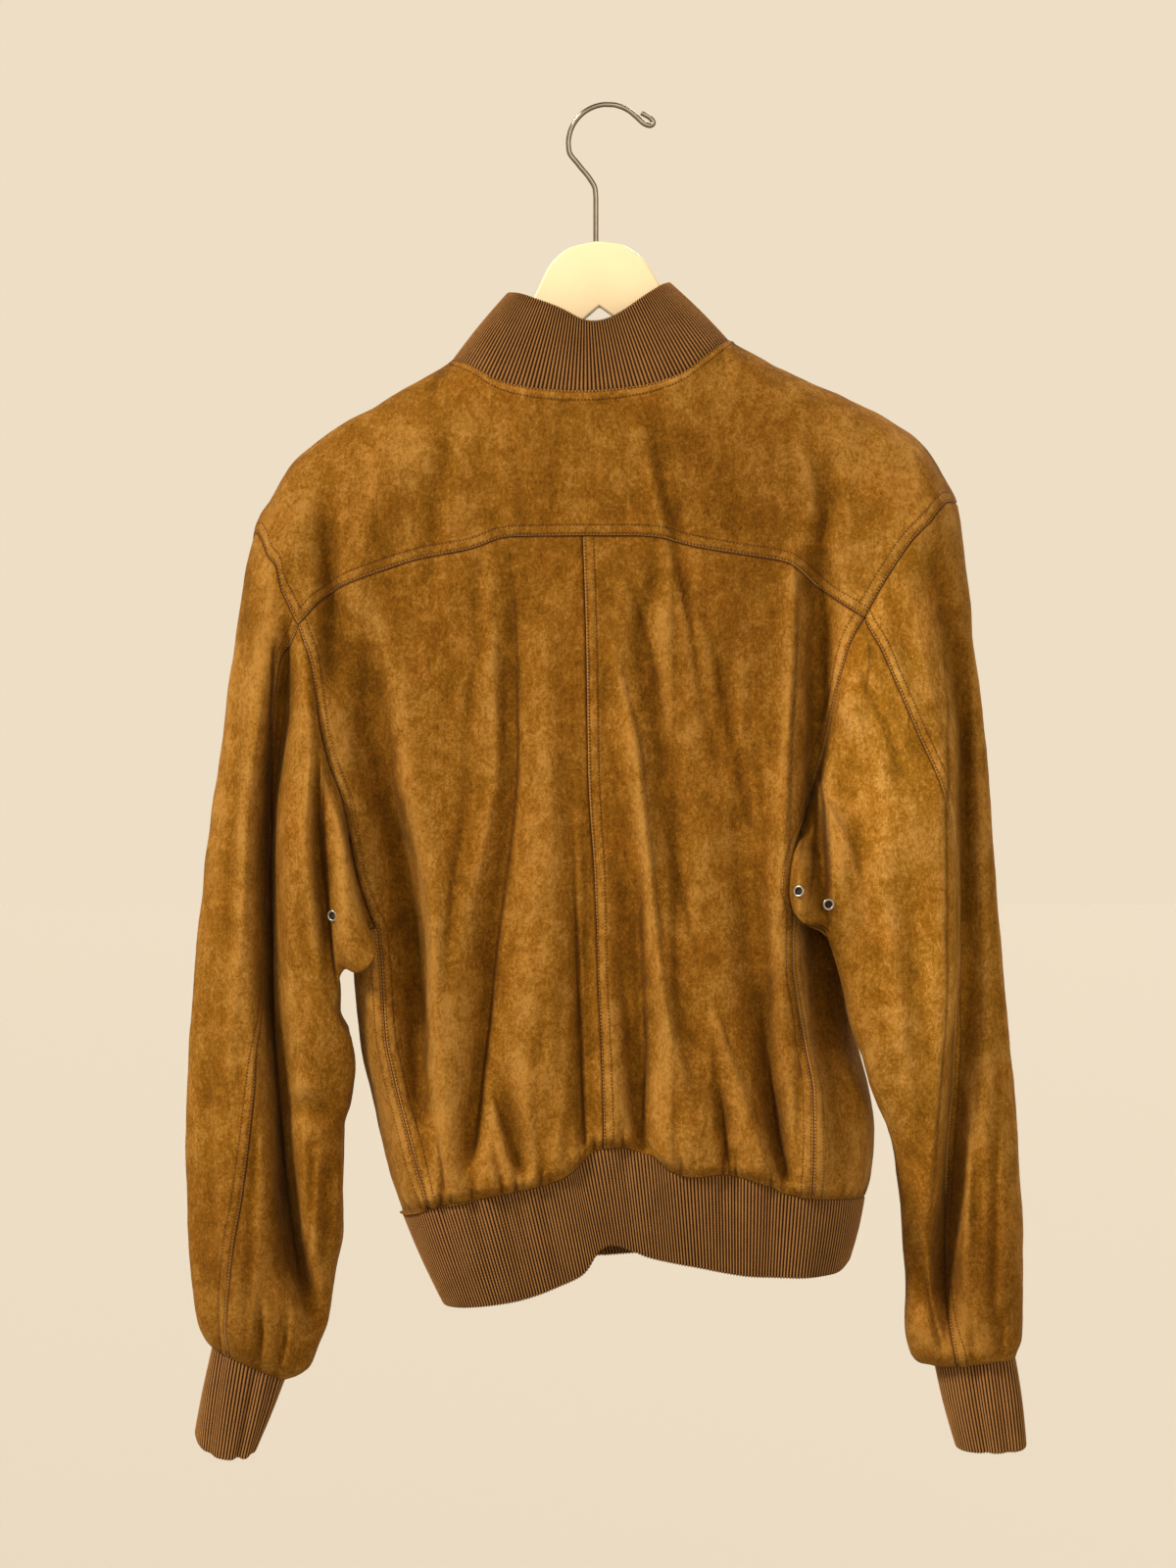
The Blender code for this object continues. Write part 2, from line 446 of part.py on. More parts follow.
def roll_of(x, drop):
    below = np.maximum(drop - glide(x, RIDGE["x"], RIDGE["drop"]), 0)
    turned = SHOULDER_ROLL * np.arccos(np.clip(1 - below / SHOULDER_ROUND, -1, 1))
    return np.where(below < SHOULDER_ROUND, turned,
                    SHOULDER_ROLL * math.pi / 2 + below - SHOULDER_ROUND)


# ---------------------------------------------------------------- panels
def crowd(share_of_fold, fixed, hold):
    """Even shares along a row, crowded where folds are, and held to the fixed shares near a seam."""
    stops = np.linspace(0, 1, len(share_of_fold))
    weight = 1 + FOLD_PULL * share_of_fold
    total = np.concatenate([[0], np.cumsum((weight[1:] + weight[:-1]) / 2)])
    crowded = np.interp(np.linspace(0, 1, len(fixed)), total / total[-1], stops)
    return hold * fixed + (1 - hold) * crowded


def anchored(count, anchors, step):
    """Shares of a row's columns: each anchor's column at its share, with its two neighbours a step away."""
    columns, shares = [0], [0]
    for column, share in anchors:
        share = np.clip(share, shares[-1] + ANCHOR_LEAD * step, 1 - (count - column) * step / ANCHOR_TAIL)
        columns += [column - 1, column, column + 1]
        shares += [share - step, share, share + step]
    return glide(np.arange(count), columns + [count - 1], shares + [1])


def crossing(xs, drops, line):
    """Share of a row at which it meets a line of (drop, x), nearest to the row's middle if it never does."""
    stops, middle = np.array(line, float).T
    off = xs - glide(drops, stops, middle)
    return int(np.argmin(np.abs(off))) / (len(xs) - 1)


def evened(rows):
    """Rows of shares, each drawn toward its neighbours above and below."""
    rows = rows.copy()
    for _ in range(EVENING_ROUNDS):
        rows[1:-1] = (rows[:-2] + 2 * rows[1:-1] + rows[2:]) / 4
    return rows


def fill(left, right, top, bottom, slope_of=None, anchors=None, fade=1.0):
    """Rows and columns between four border lines, in flat coordinates, crowded into the folds.

    The rows lose the top line's shape with the given power of their share of the way down.
    """
    rows, columns = len(left), len(top)
    top_share, bottom_share = along(top) / along(top)[-1], along(bottom) / along(bottom)[-1]
    downs = (along(left) / along(left)[-1] + along(right) / along(right)[-1]) / 2
    dense = np.linspace(0, 1, ROW_SAMPLES)

    def row(i, share):
        down, share = downs[i], share[:, None]
        upper = np.stack([np.interp(share[:, 0], top_share, top[:, k]) for k in (0, 1)], axis=1)
        lower = np.stack([np.interp(share[:, 0], bottom_share, bottom[:, k]) for k in (0, 1)], axis=1)
        straight = left[i] * (1 - share) + right[i] * share
        upper -= top[0] * (1 - share) + top[-1] * share
        lower -= bottom[0] * (1 - share) + bottom[-1] * share
        return straight + (1 - down) ** fade * upper + down * lower

    shares = np.zeros((rows, columns))
    for i, down in enumerate(downs):
        shares[i] = fixed = top_share * (1 - down) + bottom_share * down
        flat = row(i, dense)
        hold = max(ease(1 - HOLD_RATE * down), ease(HOLD_RATE * down - (HOLD_RATE - 1)))
        if anchors:
            stops = [(column, crossing(flat[:, 0], flat[:, 1], line)) for line, column in anchors]
            shares[i] = hold * fixed + (1 - hold) * anchored(columns, stops, ANCHOR_STEP / along(flat)[-1])
        elif slope_of:
            shares[i] = crowd(slope_of(flat), fixed, hold)
    shares = evened(shares)
    grid = np.array([row(i, shares[i]) for i in range(rows)])
    grid[0], grid[-1], grid[:, 0], grid[:, -1] = top, bottom, left, right
    return grid


def steepness(points):
    """How steep a row of points is in depth, from 0 to 1."""
    run = np.hypot(*np.gradient(points[:, [0, 2]], axis=0).T)
    rise = np.abs(np.gradient(points[:, 1])) / np.maximum(run, TINY)
    window = np.ones(STEEP_WINDOW) / STEEP_WINDOW
    return np.convolve(np.minimum(rise, STEEPEST) / STEEPEST, window, mode="same")


def swap(rows):
    """Rows of (drop, x) as (x, drop)."""
    return np.asarray(rows, float)[:, ::-1]


def lap_of(x, hand):
    """How far the left front stands off the right one under it."""
    return LAP * ease((x - LAP_START) / LAP_EASE) if hand == "left" else 0.0


def yoke_borders():
    """The yoke's sides and its top line in flat coordinates, and its shoulder and neck parts."""
    rolled = {}
    for hand in ("left", "right"):
        edge = resample(swap(ARMHOLE_YOKE[hand]), YOKE_SIDE_ROWS)
        side = np.stack([edge[:, 0], roll_of(edge[:, 0], edge[:, 1])], axis=1)
        side[0, 1] = 0.0
        rolled[hand] = np.vstack([[side[0, 0] * SHOULDER_TIP, SHOULDER_SEAM], side])
    neck = swap(NECK_BACK)
    neck = np.stack([neck[:, 0], roll_of(neck[:, 0], neck[:, 1])], axis=1)
    first, last = NECK_SEAM_ENDS
    neck = resample(np.vstack([[first, SHOULDER_SEAM], neck, [last, SHOULDER_SEAM]]), YOKE_NECK_COLUMNS)
    shoulder = {hand: np.linspace(rolled[hand][0], neck[end], YOKE_SIDE_COLUMNS + 1)
                for hand, end in (("left", 0), ("right", -1))}
    return rolled, shoulder, neck


def front_neck(neck_end, sign):
    """One front's neck edge in flat coordinates, from the shoulder seam past the centre front."""
    far = abs(neck_end[0])
    curve = [(abs(x), drop) for drop, x in NECK_FRONT if NECK_FRONT_FROM < x * sign < far - 1]
    start = (far, float(over_shoulder(neck_end[0], SHOULDER_SEAM)[0]))
    foot = [(-sign * NECK_FOOT_X, NECK_FOOT), (-LAP_REACH, NECK_FOOT)]
    return resample([start, *curve[::-sign], *foot], FRONT_NECK_COLUMNS)


def front_panel(hand, edge, shoulder, neck_end, back_edge, yoke_top):
    """Grid of one front, from its armhole and side seam to the edge past the centre front."""
    sign = -1 if hand == "left" else 1
    x0 = shoulder[0, 0]
    drop0 = float(over_shoulder(x0, SHOULDER_SEAM)[0])
    branch = [(float(unroll(x0, drop0, FRONT, hand)), drop0)]
    branch += [(float(unroll(x, drop, side, hand)), drop) for drop, x, side in ARMHOLE_FRONT[hand]]
    branch = resample(branch, ARMHOLE_BACK_ROWS, ARMHOLE_FRONT_STOPS)
    seam_line = edge[ARMHOLE_BACK_ROWS:]
    side_seam = np.stack([unroll(seam_line[:, 0], seam_line[:, 1], BACK, hand), seam_line[:, 1]], axis=1)
    outer = np.vstack([branch[:-1], side_seam])
    shoulder_drop = over_shoulder(shoulder[:, 0], SHOULDER_SEAM)[0]
    shoulder_top = np.stack([unroll(shoulder[:, 0], shoulder_drop, FRONT, hand), shoulder_drop], axis=1)
    top = np.vstack([shoulder_top[:-1], front_neck(neck_end, sign)])
    down = (outer[:, 1] - outer[0, 1]) / (outer[-1, 1] - outer[0, 1])
    foot = float(waist_drop(-sign * LAP_REACH, FRONT))
    centre_front = np.stack([np.full(len(outer), -LAP_REACH), NECK_FOOT + (foot - NECK_FOOT) * down], axis=1)
    reach = np.linspace(outer[-1, 0], -LAP_REACH, len(top))
    x, side = roll(reach, np.full(len(reach), FRONT_FOOT), hand)
    lower = np.stack([reach, waist_drop(x, side)], axis=1)
    outer[-1, 1] = lower[0, 1] = side_seam[-1, 1]
    grid = fill(outer, centre_front, top, lower, fade=FRONT_FADE)
    x, side = roll(grid[..., 0], grid[..., 1], hand)
    x = np.where(grid[..., 0] < 0, -sign * np.abs(grid[..., 0]), x)
    front = body_point(x, grid[..., 1], side, lap_of(x, hand) * (side == FRONT))
    front[ARMHOLE_BACK_ROWS:, 0] = back_edge[ARMHOLE_BACK_ROWS:]
    front[0, :YOKE_SIDE_COLUMNS + 1] = yoke_top[:YOKE_SIDE_COLUMNS + 1]
    return front if hand == "left" else front[:, ::-1]


def body_panels():
    """Grids of the yoke, the two backs and the two fronts, and the armhole line of each side."""
    panels, armholes = {}, {}
    rolled, shoulder, neck = yoke_borders()
    top = np.vstack([shoulder["left"][:-1], neck, shoulder["right"][::-1][1:]])
    seam = swap(YOKE_SEAM)
    columns = len(top) - 1
    split = columns // 2
    middle = int(np.argmin(np.abs(seam[:, 0] - CENTRE_SEAM[0][1])))
    seam = np.vstack([resample(seam[:middle + 1], split)[:-1], resample(seam[middle:], columns - split)])
    bottom = np.stack([seam[:, 0], roll_of(seam[:, 0], seam[:, 1])], axis=1)

    def yoke_steepness(flat):
        drop, side = over_shoulder(flat[:, 0], flat[:, 1])
        return steepness(body_point(flat[:, 0], drop, side)) * YOKE_CROWD

    grid = fill(rolled["left"], rolled["right"], top, bottom, yoke_steepness, fade=YOKE_FADE)
    drop, side = over_shoulder(grid[..., 0], grid[..., 1])
    panels["back_yoke"] = body_point(grid[..., 0], drop, side)

    centre = resample(swap(CENTRE_SEAM), ARMHOLE_BACK_ROWS + SIDE_ROWS)
    for hand in ("left", "right"):
        end = 0 if hand == "left" else -1
        edge = np.vstack([resample(swap(ARMHOLE_BACK[hand]), ARMHOLE_BACK_ROWS),
                          resample(swap(SIDE_SEAM[hand]), SIDE_ROWS)[1:]])
        upper = seam[:split + 1] if hand == "left" else seam[split:]
        edge[0] = upper[end]
        xs = np.linspace(edge[-1, 0], centre[-1, 0], len(upper))
        if hand == "right":
            xs = xs[::-1]
        lower = np.stack([xs, waist_drop(xs, BACK)], axis=1)
        sides = (edge, centre) if hand == "left" else (centre, edge)
        for line in sides:
            line[-1, 1] = waist_drop(line[-1, 0], BACK)
        anchors = [([row[:2] for row in BODY_FOLDS[name][1]], column) for name, column in BACK_ANCHORS[hand]]
        grid = fill(*sides, upper, lower, anchors=anchors)
        panels[f"back_{hand}"] = body_point(grid[..., 0], grid[..., 1], BACK)

        back_edge = panels[f"back_{hand}"][:, end]
        yoke_top = panels["back_yoke"][0]
        if hand == "right":
            yoke_top = yoke_top[::-1]
        panels[f"front_{hand}"] = front_panel(hand, edge, shoulder[hand], neck[end], back_edge, yoke_top)
        back_line = back_edge[:ARMHOLE_BACK_ROWS + 1]
        yoke_line = panels["back_yoke"][:, end]
        front_line = panels[f"front_{hand}"][:ARMHOLE_BACK_ROWS + 1, end]
        armholes[hand] = (back_line[::-1], yoke_line[::-1], front_line)
    return panels, armholes


# ---------------------------------------------------------------- sleeves
def split_line(line, parts):
    """The line's points with each stretch cut into so many equal parts, on its own chords."""
    out = [line[0]]
    for start, end, count in zip(line[:-1], line[1:], parts):
        out += [start + (end - start) * k / count for k in range(1, count + 1)]
    return np.array(out)


def ring_form(hand, share, theta):
    """Plain ring of a sleeve: theta runs from the inner edge over the back, the outer edge and the front."""
    table = np.array(SLEEVES[hand], float)
    value = {name: glide(share, table[:, 0], table[:, k]) for k, name in enumerate(SLEEVE_COLUMNS) if k}
    f = (1 - np.cos(theta)) / 2
    x = value["inner_x"] + (value["outer_x"] - value["inner_x"]) * f
    drop = value["inner_drop"] + (value["outer_drop"] - value["inner_drop"]) * f
    y = value["inner_y"] + (value["outer_y"] - value["inner_y"]) * f
    bulge = np.sign(np.sin(theta)) * np.abs(np.sin(theta)) ** SLEEVE_BULGE
    y = y - np.where(bulge > 0, value["back"], value["front"]) * bulge
    side = np.where(np.sin(theta) >= 0, BACK, FRONT)
    lift = fold_height(SLEEVE_FOLDS[hand], x, drop, side) * np.abs(np.sin(theta)) ** SLEEVE_FOLD_FADE
    return np.stack([x, y + side * lift, -drop], axis=-1)


def clear_of_body(points, share, theta, hand):
    """A ring's points, those that would pass through the body's side moved out of it."""
    sign = -1 if hand == "left" else 1
    x, y, drop = points[:, 0] * sign, points[:, 1], -points[:, 2]
    flat, radius, _ = ends_of(drop, hand)
    depth = np.where(y < 0, glide(drop, SECTIONS["drop"], SECTIONS["back"]),
                     glide(drop, SECTIONS["drop"], SECTIONS["front"]))
    clearance = UNDERARM_CLEARANCE * min(share / UNDERARM_SHARE, 1)
    edge = flat + radius * np.sqrt(1 - np.clip(np.abs(y) / depth, 0, 1) ** 2) + clearance
    first, last = UNDERARM_DROPS
    weight = np.where(theta > math.pi, 1.0, 1 - ease(theta / UNDERARM_TURN))
    weight = ease((drop - first) / (last - first)) * weight
    moved = points.copy()
    moved[:, 0] += sign * weight * np.maximum(edge - x, 0)
    return moved


def sleeve_panels(hand, armhole):
    """Grids of the under and the outer sleeve panel, ring by ring from the armhole to the cuff."""
    back_line, yoke_line, front_line = armhole
    under_line = split_line(back_line, [2] * (len(back_line) - 1))
    outer_line = split_line(np.vstack([yoke_line, front_line[1:]]),
                            [2] * (len(yoke_line) - 2) + [1] + [1] * (len(front_line) - 1))
    loop = np.vstack([under_line, outer_line[1:]])
    tip = int(np.argmax(loop[:, 2]))
    reach = along(loop)
    theta0 = np.where(np.arange(len(loop)) <= tip, reach / reach[tip],
                      1 + (reach - reach[tip]) / (reach[-1] - reach[tip])) * math.pi
    under_count = len(under_line)
    shift = loop - ring_form(hand, 0.0, theta0)
    dense = np.linspace(0, 2 * math.pi, RING_SAMPLES)

    def at(share, theta):
        moved = np.stack([np.interp(theta, theta0, shift[:, k]) for k in range(3)], axis=1)
        plain = ring_form(hand, share, theta) + (1 - ease(share / ARMHOLE_SHARE)) * moved
        return clear_of_body(plain, share, theta, hand)

    angles = ([], [])
    for share in SLEEVE_STATIONS:
        points = at(share, dense)
        drops, xs = np.array(SLEEVE_SEAM[hand], float).T
        half = (dense > SEAM_SEARCH[0]) & (dense < SEAM_SEARCH[1])
        off = (points[:, 0] - glide(-points[:, 2], drops, xs))[half]
        if hand == "left":
            off = -off
        meeting = np.interp(0, off, dense[half])
        settled = ease(share / SEAM_SHARE)
        seam = theta0[under_count - 1] * (1 - settled) + meeting * settled
        hold = 1 - ease(share / HOLD_SHARE)
        for panel, start, end, fixed in ((0, 0, seam, theta0[:under_count]),
                                         (1, seam, 2 * math.pi, theta0[under_count - 1:])):
            stretch = np.linspace(start, end, PANEL_SAMPLES)
            points = at(share, stretch)
            even = (fixed - fixed[0]) / (fixed[-1] - fixed[0])
            column = SLEEVE_ANCHORS.get((hand, panel))
            if column:
                line = [row[:2] for row in SLEEVE_FOLDS[hand]["deep fold"][1]]
                back = points[stretch <= math.pi]
                share_at = crossing(back[:, 0], -back[:, 2], line) * (len(back) - 1) / (len(stretch) - 1)
                step = ANCHOR_STEP / along(points)[-1]
                shares = hold * even + (1 - hold) * anchored(len(fixed), [(column, share_at)], step)
            else:
                shares = crowd(steepness(points), even, hold)
            angles[panel].append(start + (end - start) * shares)
    angles = [evened(np.array(panel)) for panel in angles]
    rings = [[at(share, angles[0][k]), at(share, angles[1][k])] for k, share in enumerate(SLEEVE_STATIONS)]
    rings[0] = [under_line, outer_line]
    under = np.array([ring[0] for ring in rings])
    outer = np.array([ring[1] for ring in rings])
    under[:, 0] = outer[:, -1]
    under[:, -1] = outer[:, 0]
    marks = (np.arange(0, under_count, 2),
             np.r_[np.arange(0, 2 * (len(yoke_line) - 2) + 1, 2),
                   np.arange(2 * (len(yoke_line) - 2) + 1, outer.shape[1])])
    return under, outer, marks


# ---------------------------------------------------------------- walls
def grid_normals(grid):
    normal = np.cross(np.gradient(grid, axis=1), np.gradient(grid, axis=0))
    return normal / np.maximum(np.linalg.norm(normal, axis=-1, keepdims=True), TINY)


def key_of(point):
    return tuple(np.round(point, SAME_PLACES))


def border(grid):
    """The four border lines of a grid as index pairs, top and bottom first."""
    rows, columns = grid.shape[:2]
    return (
        [(0, j) for j in range(columns)], [(rows - 1, j) for j in range(columns)],
        [(i, 0) for i in range(rows)], [(i, columns - 1) for i in range(rows)],
    )


def share_normals(grids, normals):
    """Sets each border point's normal to the mean of those of all panels that meet there."""
    shared = {}
    for name, grid in grids.items():
        for at in {index for line in border(grid) for index in line}:
            shared.setdefault(key_of(grid[at]), []).append(normals[name][at])
    for name, grid in grids.items():
        for at in {index for line in border(grid) for index in line}:
            mean = np.sum(shared[key_of(grid[at])], axis=0)
            normals[name][at] = mean / np.linalg.norm(mean)


def unit(vectors):
    return vectors / np.linalg.norm(vectors, axis=-1, keepdims=True)


def seam_normals(grids, marks):
    """Each panel's outward normals, alike on both sides of a seam and evened out between seams."""
    normals = {name: grid_normals(grid) for name, grid in grids.items()}
    share_normals(grids, normals)
    for name, grid in grids.items():
        for line in border(grid):
            n = np.array([normals[name][at] for at in line])
            for _ in range(EVENING_ROUNDS):
                n[1:-1] = unit(n[:-2] + 2 * n[1:-1] + n[2:])
            for at, normal in zip(line, n):
                normals[name][at] = normal
    share_normals(grids, normals)
    for name, kept in marks.items():
        n = normals[name][0]
        columns = np.arange(len(n))
        normals[name][0] = unit(np.stack([np.interp(columns, kept, n[kept][:, k]) for k in range(3)], axis=1))
    for n in normals.values():
        n[1:-1, 1:-1] = unit(2 * n[1:-1, 1:-1] + n[:-2, 1:-1] + n[2:, 1:-1] + n[1:-1, :-2] + n[1:-1, 2:])
    return normals


def seam_frames(grids, marks):
    """Each panel's points drawn back from its seams by half the seam gap, and its normals."""
    normals = seam_normals(grids, marks)
    drawn = {}
    for name, grid in grids.items():
        moved = grid.copy()
        for number, line in enumerate(border(grid)):
            kept = np.arange(len(line))
            if number == 0 and name in marks:
                kept = marks[name]
            points = np.array([grid[at] for at in line])
            n = np.array([normals[name][at] for at in line])
            tangent = np.gradient(points[kept], axis=0)
            into = np.array([grid[at] for at in inner_line(grid, number)]) - points
            across = np.cross(tangent, n[kept])
            across *= np.sign(np.sum(across * into[kept], axis=1, keepdims=True))
            across = unit(across)
            corners = [0, len(line) - 1]
            if number > 1 and "sleeve" not in name:
                corners.append(ARMHOLE_BACK_ROWS)
            for j, at in enumerate(line):
                step = np.array([np.interp(j, kept, across[:, k]) for k in range(3)])
                moved[at] += step * SEAM_GAP / 2 * (CORNER_GAP if j in corners else 1)
        drawn[name] = moved
    return drawn, normals


def inner_line(grid, number):
    rows, columns = grid.shape[:2]
    return (
        [(1, j) for j in range(columns)], [(rows - 2, j) for j in range(columns)],
        [(i, 1) for i in range(rows)], [(i, columns - 2) for i in range(rows)],
    )[number]


def wall_mesh(grid, normals, thickness):
    """Points and faces of a wall whose outer face is the grid."""
    rows, columns = grid.shape[:2]
    inner = grid - normals * thickness
    points = np.vstack([grid.reshape(-1, 3), inner.reshape(-1, 3)])
    count = rows * columns
    faces = []
    for i in range(rows - 1):
        for j in range(columns - 1):
            a, b = i * columns + j, i * columns + j + 1
            c, d = b + columns, a + columns
            faces += [(a, d, c, b), (a + count, b + count, c + count, d + count)]
    rim = list(range(columns)) + [i * columns + columns - 1 for i in range(1, rows)]
    rim += [(rows - 1) * columns + j for j in range(columns - 2, -1, -1)]
    rim += [i * columns for i in range(rows - 2, 0, -1)]
    for a, b in zip(rim, rim[1:] + rim[:1]):
        # Neighbours cut their facing rims along the same diagonal, so that the seam's gap stays even.
        if tuple(points[a][::-1]) < tuple(points[b][::-1]):
            faces += [(a, b, b + count), (a, b + count, a + count)]
        else:
            faces += [(a, b, a + count), (b, b + count, a + count)]
    return points, faces


def stitch(first, second, share_first, share_second):
    """Triangles between two lines of points that run side by side."""
    faces, i, j = [], 0, 0
    while i < len(first) - 1 or j < len(second) - 1:
        go_first = j == len(second) - 1 or (i < len(first) - 1 and share_first[i + 1] <= share_second[j + 1])
        if go_first:
            faces.append((first[i], first[i + 1], second[j]))
            i += 1
        else:
            faces.append((first[i], second[j + 1], second[j]))
            j += 1
    return faces


def band_mesh(top, bottom, inward_top, inward_bottom, closed):
    """A knitted band between two lines: ribs on its outer face, a plain inner face."""
    reach = along(top)
    ribs = int(round(reach[-1] / RIB_PITCH))
    outer_share = np.linspace(0, 1, 2 * ribs + 1)
    share = reach / reach[-1]
    inner_share = np.linspace(0, 1, CUFF_INNER_SIDES + 1) if closed else share

    def on(line, shares):
        return np.stack([np.interp(shares, share, line[:, k]) for k in range(3)], axis=1)

    groove = np.where(np.arange(len(outer_share)) % 2, RIB_DEPTH, 0.0)[:, None]
    lines = [
        on(top, outer_share) + groove * on(inward_top, outer_share),
        on(bottom, outer_share) + groove * on(inward_bottom, outer_share),
        on(top, inner_share) + RIB_WALL * on(inward_top, inner_share),
        on(bottom, inner_share) + RIB_WALL * on(inward_bottom, inner_share),
    ]
    if closed:
        lines = [line[:-1] for line in lines]
    starts = np.cumsum([0] + [len(line) for line in lines])
    ids = [list(range(start, start + len(line))) for start, line in zip(starts, lines)]
    if closed:
        ids = [line + line[:1] for line in ids]
    upper, lower, upper_in, lower_in = ids
    faces = [(a, b, c, d) for a, b, c, d in zip(upper[:-1], upper[1:], lower[1:], lower[:-1])]
    faces += [(b, a, d, c) for a, b, c, d in zip(upper_in[:-1], upper_in[1:], lower_in[1:], lower_in[:-1])]
    faces += [face[::-1] for face in stitch(upper, upper_in, outer_share, inner_share)]
    faces += stitch(lower, lower_in, outer_share, inner_share)
    if not closed:
        faces.append((upper[0], lower[0], lower_in[0], upper_in[0]))
        faces.append((upper[-1], upper_in[-1], lower_in[-1], lower[-1]))
    return np.vstack(lines), faces


def inward_of(line, closed):
    """Level directions across a line, to its inner side."""
    ahead = np.gradient(line, axis=0)
    if closed:
        ahead[0] = ahead[-1] = (line[1] - line[-2]) / 2
    across = np.cross(ahead, (0, 0, 1.0))
    across /= np.linalg.norm(across, axis=1, keepdims=True)
    middle = line.mean(axis=0)
    return across * np.sign(np.sum(across * (middle - line)))


# ---------------------------------------------------------------- Blender objects
def material(name, colour, roughness, metallic=0.0):
    made = bpy.data.materials.new(name)
    made.use_nodes = True
    shader = made.node_tree.nodes["Principled BSDF"]
    shader.inputs["Base Color"].default_value = (*colour, 1)
    shader.inputs["Roughness"].default_value = roughness
    shader.inputs["Metallic"].default_value = metallic
    return made


def add_object(name, data, look, collection):
    made = bpy.data.objects.new(name, data)
    data.materials.append(look)
    collection.objects.link(made)
    return made


def add_mesh(name, points, faces, look, collection):
    mesh = bpy.data.meshes.new(name)
    vertices = [tuple(point) for point in np.asarray(points) * MM]
    mesh.from_pydata(vertices, [], [tuple(map(int, face)) for face in faces])
    work = bmesh.new()
    work.from_mesh(mesh)
    bmesh.ops.recalc_face_normals(work, faces=work.faces)
    if work.calc_volume(signed=True) < 0:
        bmesh.ops.reverse_faces(work, faces=work.faces)
    work.to_mesh(mesh)
    work.free()
    mesh.shade_smooth()
    mesh.set_sharp_from_angle(angle=SHARP_ANGLE)
    return add_object(name, mesh, look, collection)


def nearest(grids, names, drop, x, side):
    """The panel point nearest to this place, with its outward normal."""
    best = None
    for name in names:
        grid, normal = grids[0][name][1:-1, 1:-1], grids[1][name][1:-1, 1:-1]
        off = np.hypot(grid[..., 0] - x, grid[..., 2] + drop)
        off[normal[..., 1] * side < 0] = np.inf
        at = np.unravel_index(np.argmin(off), off.shape)
        if best is None or off[at] < best[0]:
            best = (off[at], grid[at], normal[at])
    return best[1], best[2]


def facing(point, normal, stand):
    """Placement with +Z along the normal, stood off the point."""
    turn = Vector(normal).to_track_quat("Z", "Y").to_matrix().to_4x4()
    return Matrix.Translation(Vector((np.asarray(point) + np.asarray(normal) * stand) * MM)) @ turn


def add_hook(look, collection):
    """The wire hook: a straight shank, a crook and its folded-back tip."""
    bend = HOOK_BEND
    arc = [(bend["drop"] - bend["radius"] * math.sin(a), bend["x"] + bend["radius"] * math.cos(a))
           for a in np.radians(np.arange(*HOOK_ARC))]
    route = [(HANGER_TOP - SEAM_GAP, HANGER_X), *HOOK_SHANK, *arc, *HOOK_TIP]
    curve = bpy.data.curves.new("hanger_hook", "CURVE")
    curve.dimensions = "3D"
    line = resample(route, HOOK_STOPS)
    spline = curve.splines.new("POLY")
    spline.points.add(len(line) - 1)
    for point, (drop, x) in zip(spline.points, line):
        point.co = (x * MM, 0, -drop * MM, 1)
    curve.bevel_depth = HOOK_WIRE * MM
    curve.bevel_resolution = 1
    curve.use_fill_caps = True
    add_object("hanger_hook", curve, look, collection)


def add_hanger(look, collection):
    """The flat hanger body: its outline extruded to its thickness, tilted as it hangs."""
    upper = resample(HANGER_UPPER, HANGER_UPPER_STOPS)
    lower = resample(HANGER_LOWER[:-1], HANGER_LOWER_STOPS)
    right = np.vstack([upper, HANGER_END, lower, HANGER_LOWER[-1:]])
    outline = np.vstack([right, (right * (-1, 1))[1:-1][::-1]])
    curve = bpy.data.curves.new("hanger_body", "CURVE")
    curve.dimensions = "2D"
    curve.fill_mode = "BOTH"
    curve.extrude = (HANGER_THICKNESS / 2 - HANGER_EDGE) * MM
    curve.bevel_depth = HANGER_EDGE * MM
    curve.bevel_resolution = 0
    curve.offset = -HANGER_EDGE * MM
    spline = curve.splines.new("POLY")
    spline.points.add(len(outline) - 1)
    for point, (x, drop) in zip(spline.points, outline):
        point.co = (x * MM, -drop * MM, 0, 1)
    spline.use_cyclic_u = True
    body = add_object("hanger_body", curve, look, collection)
    body.matrix_world = (Matrix.Translation(Vector((HANGER_X, 0, -HANGER_TOP)) * MM)
                         @ Matrix.Rotation(-HANGER_TILT, 4, "Y") @ Matrix.Rotation(math.pi / 2, 4, "X"))


def in_x_order(row, rising):
    """A border row of points, run so that X rises or falls."""
    return row if (row[-1, 0] > row[0, 0]) == rising else row[::-1]


def joined(*rows):
    """Rows that meet end to end, as one line."""
    return np.vstack([rows[0]] + [row[1:] for row in rows[1:]])


def by_side(tables, x, y):
    """Drop at X on the back's or the front's line, eased from one to the other where the band turns."""
    to_back = ease(0.5 - y / BAND_TURN)
    return to_back * table_line(tables[BACK], x) + (1 - to_back) * table_line(tables[FRONT], x)


def waistband_lines(panels):
    """The waistband's upper and lower line, from the left front's edge round the back to the right's."""
    left = in_x_order(panels["front_left"][-1], False)
    line = joined(left, in_x_order(panels["back_left"][-1], True), in_x_order(panels["back_right"][-1], True),
                  in_x_order(panels["front_right"][-1], False))
    lap = np.where(np.arange(len(line)) < len(left), lap_of(line[:, 0], "left"), 0)
    first, last = line[:, 0].min(), line[:, 0].max()
    hem_first, hem_last = BAND_HEM[BACK][0][1], BAND_HEM[BACK][-1][1]
    x = hem_first + (line[:, 0] - first) * (hem_last - hem_first) / (last - first)
    y = (line[:, 1] - lap) * BAND_DRAW_IN + lap
    hem = np.stack([x, y, -by_side(BAND_HEM, x, y)], axis=1)
    return line - (0, 0, WAIST_GAP), hem


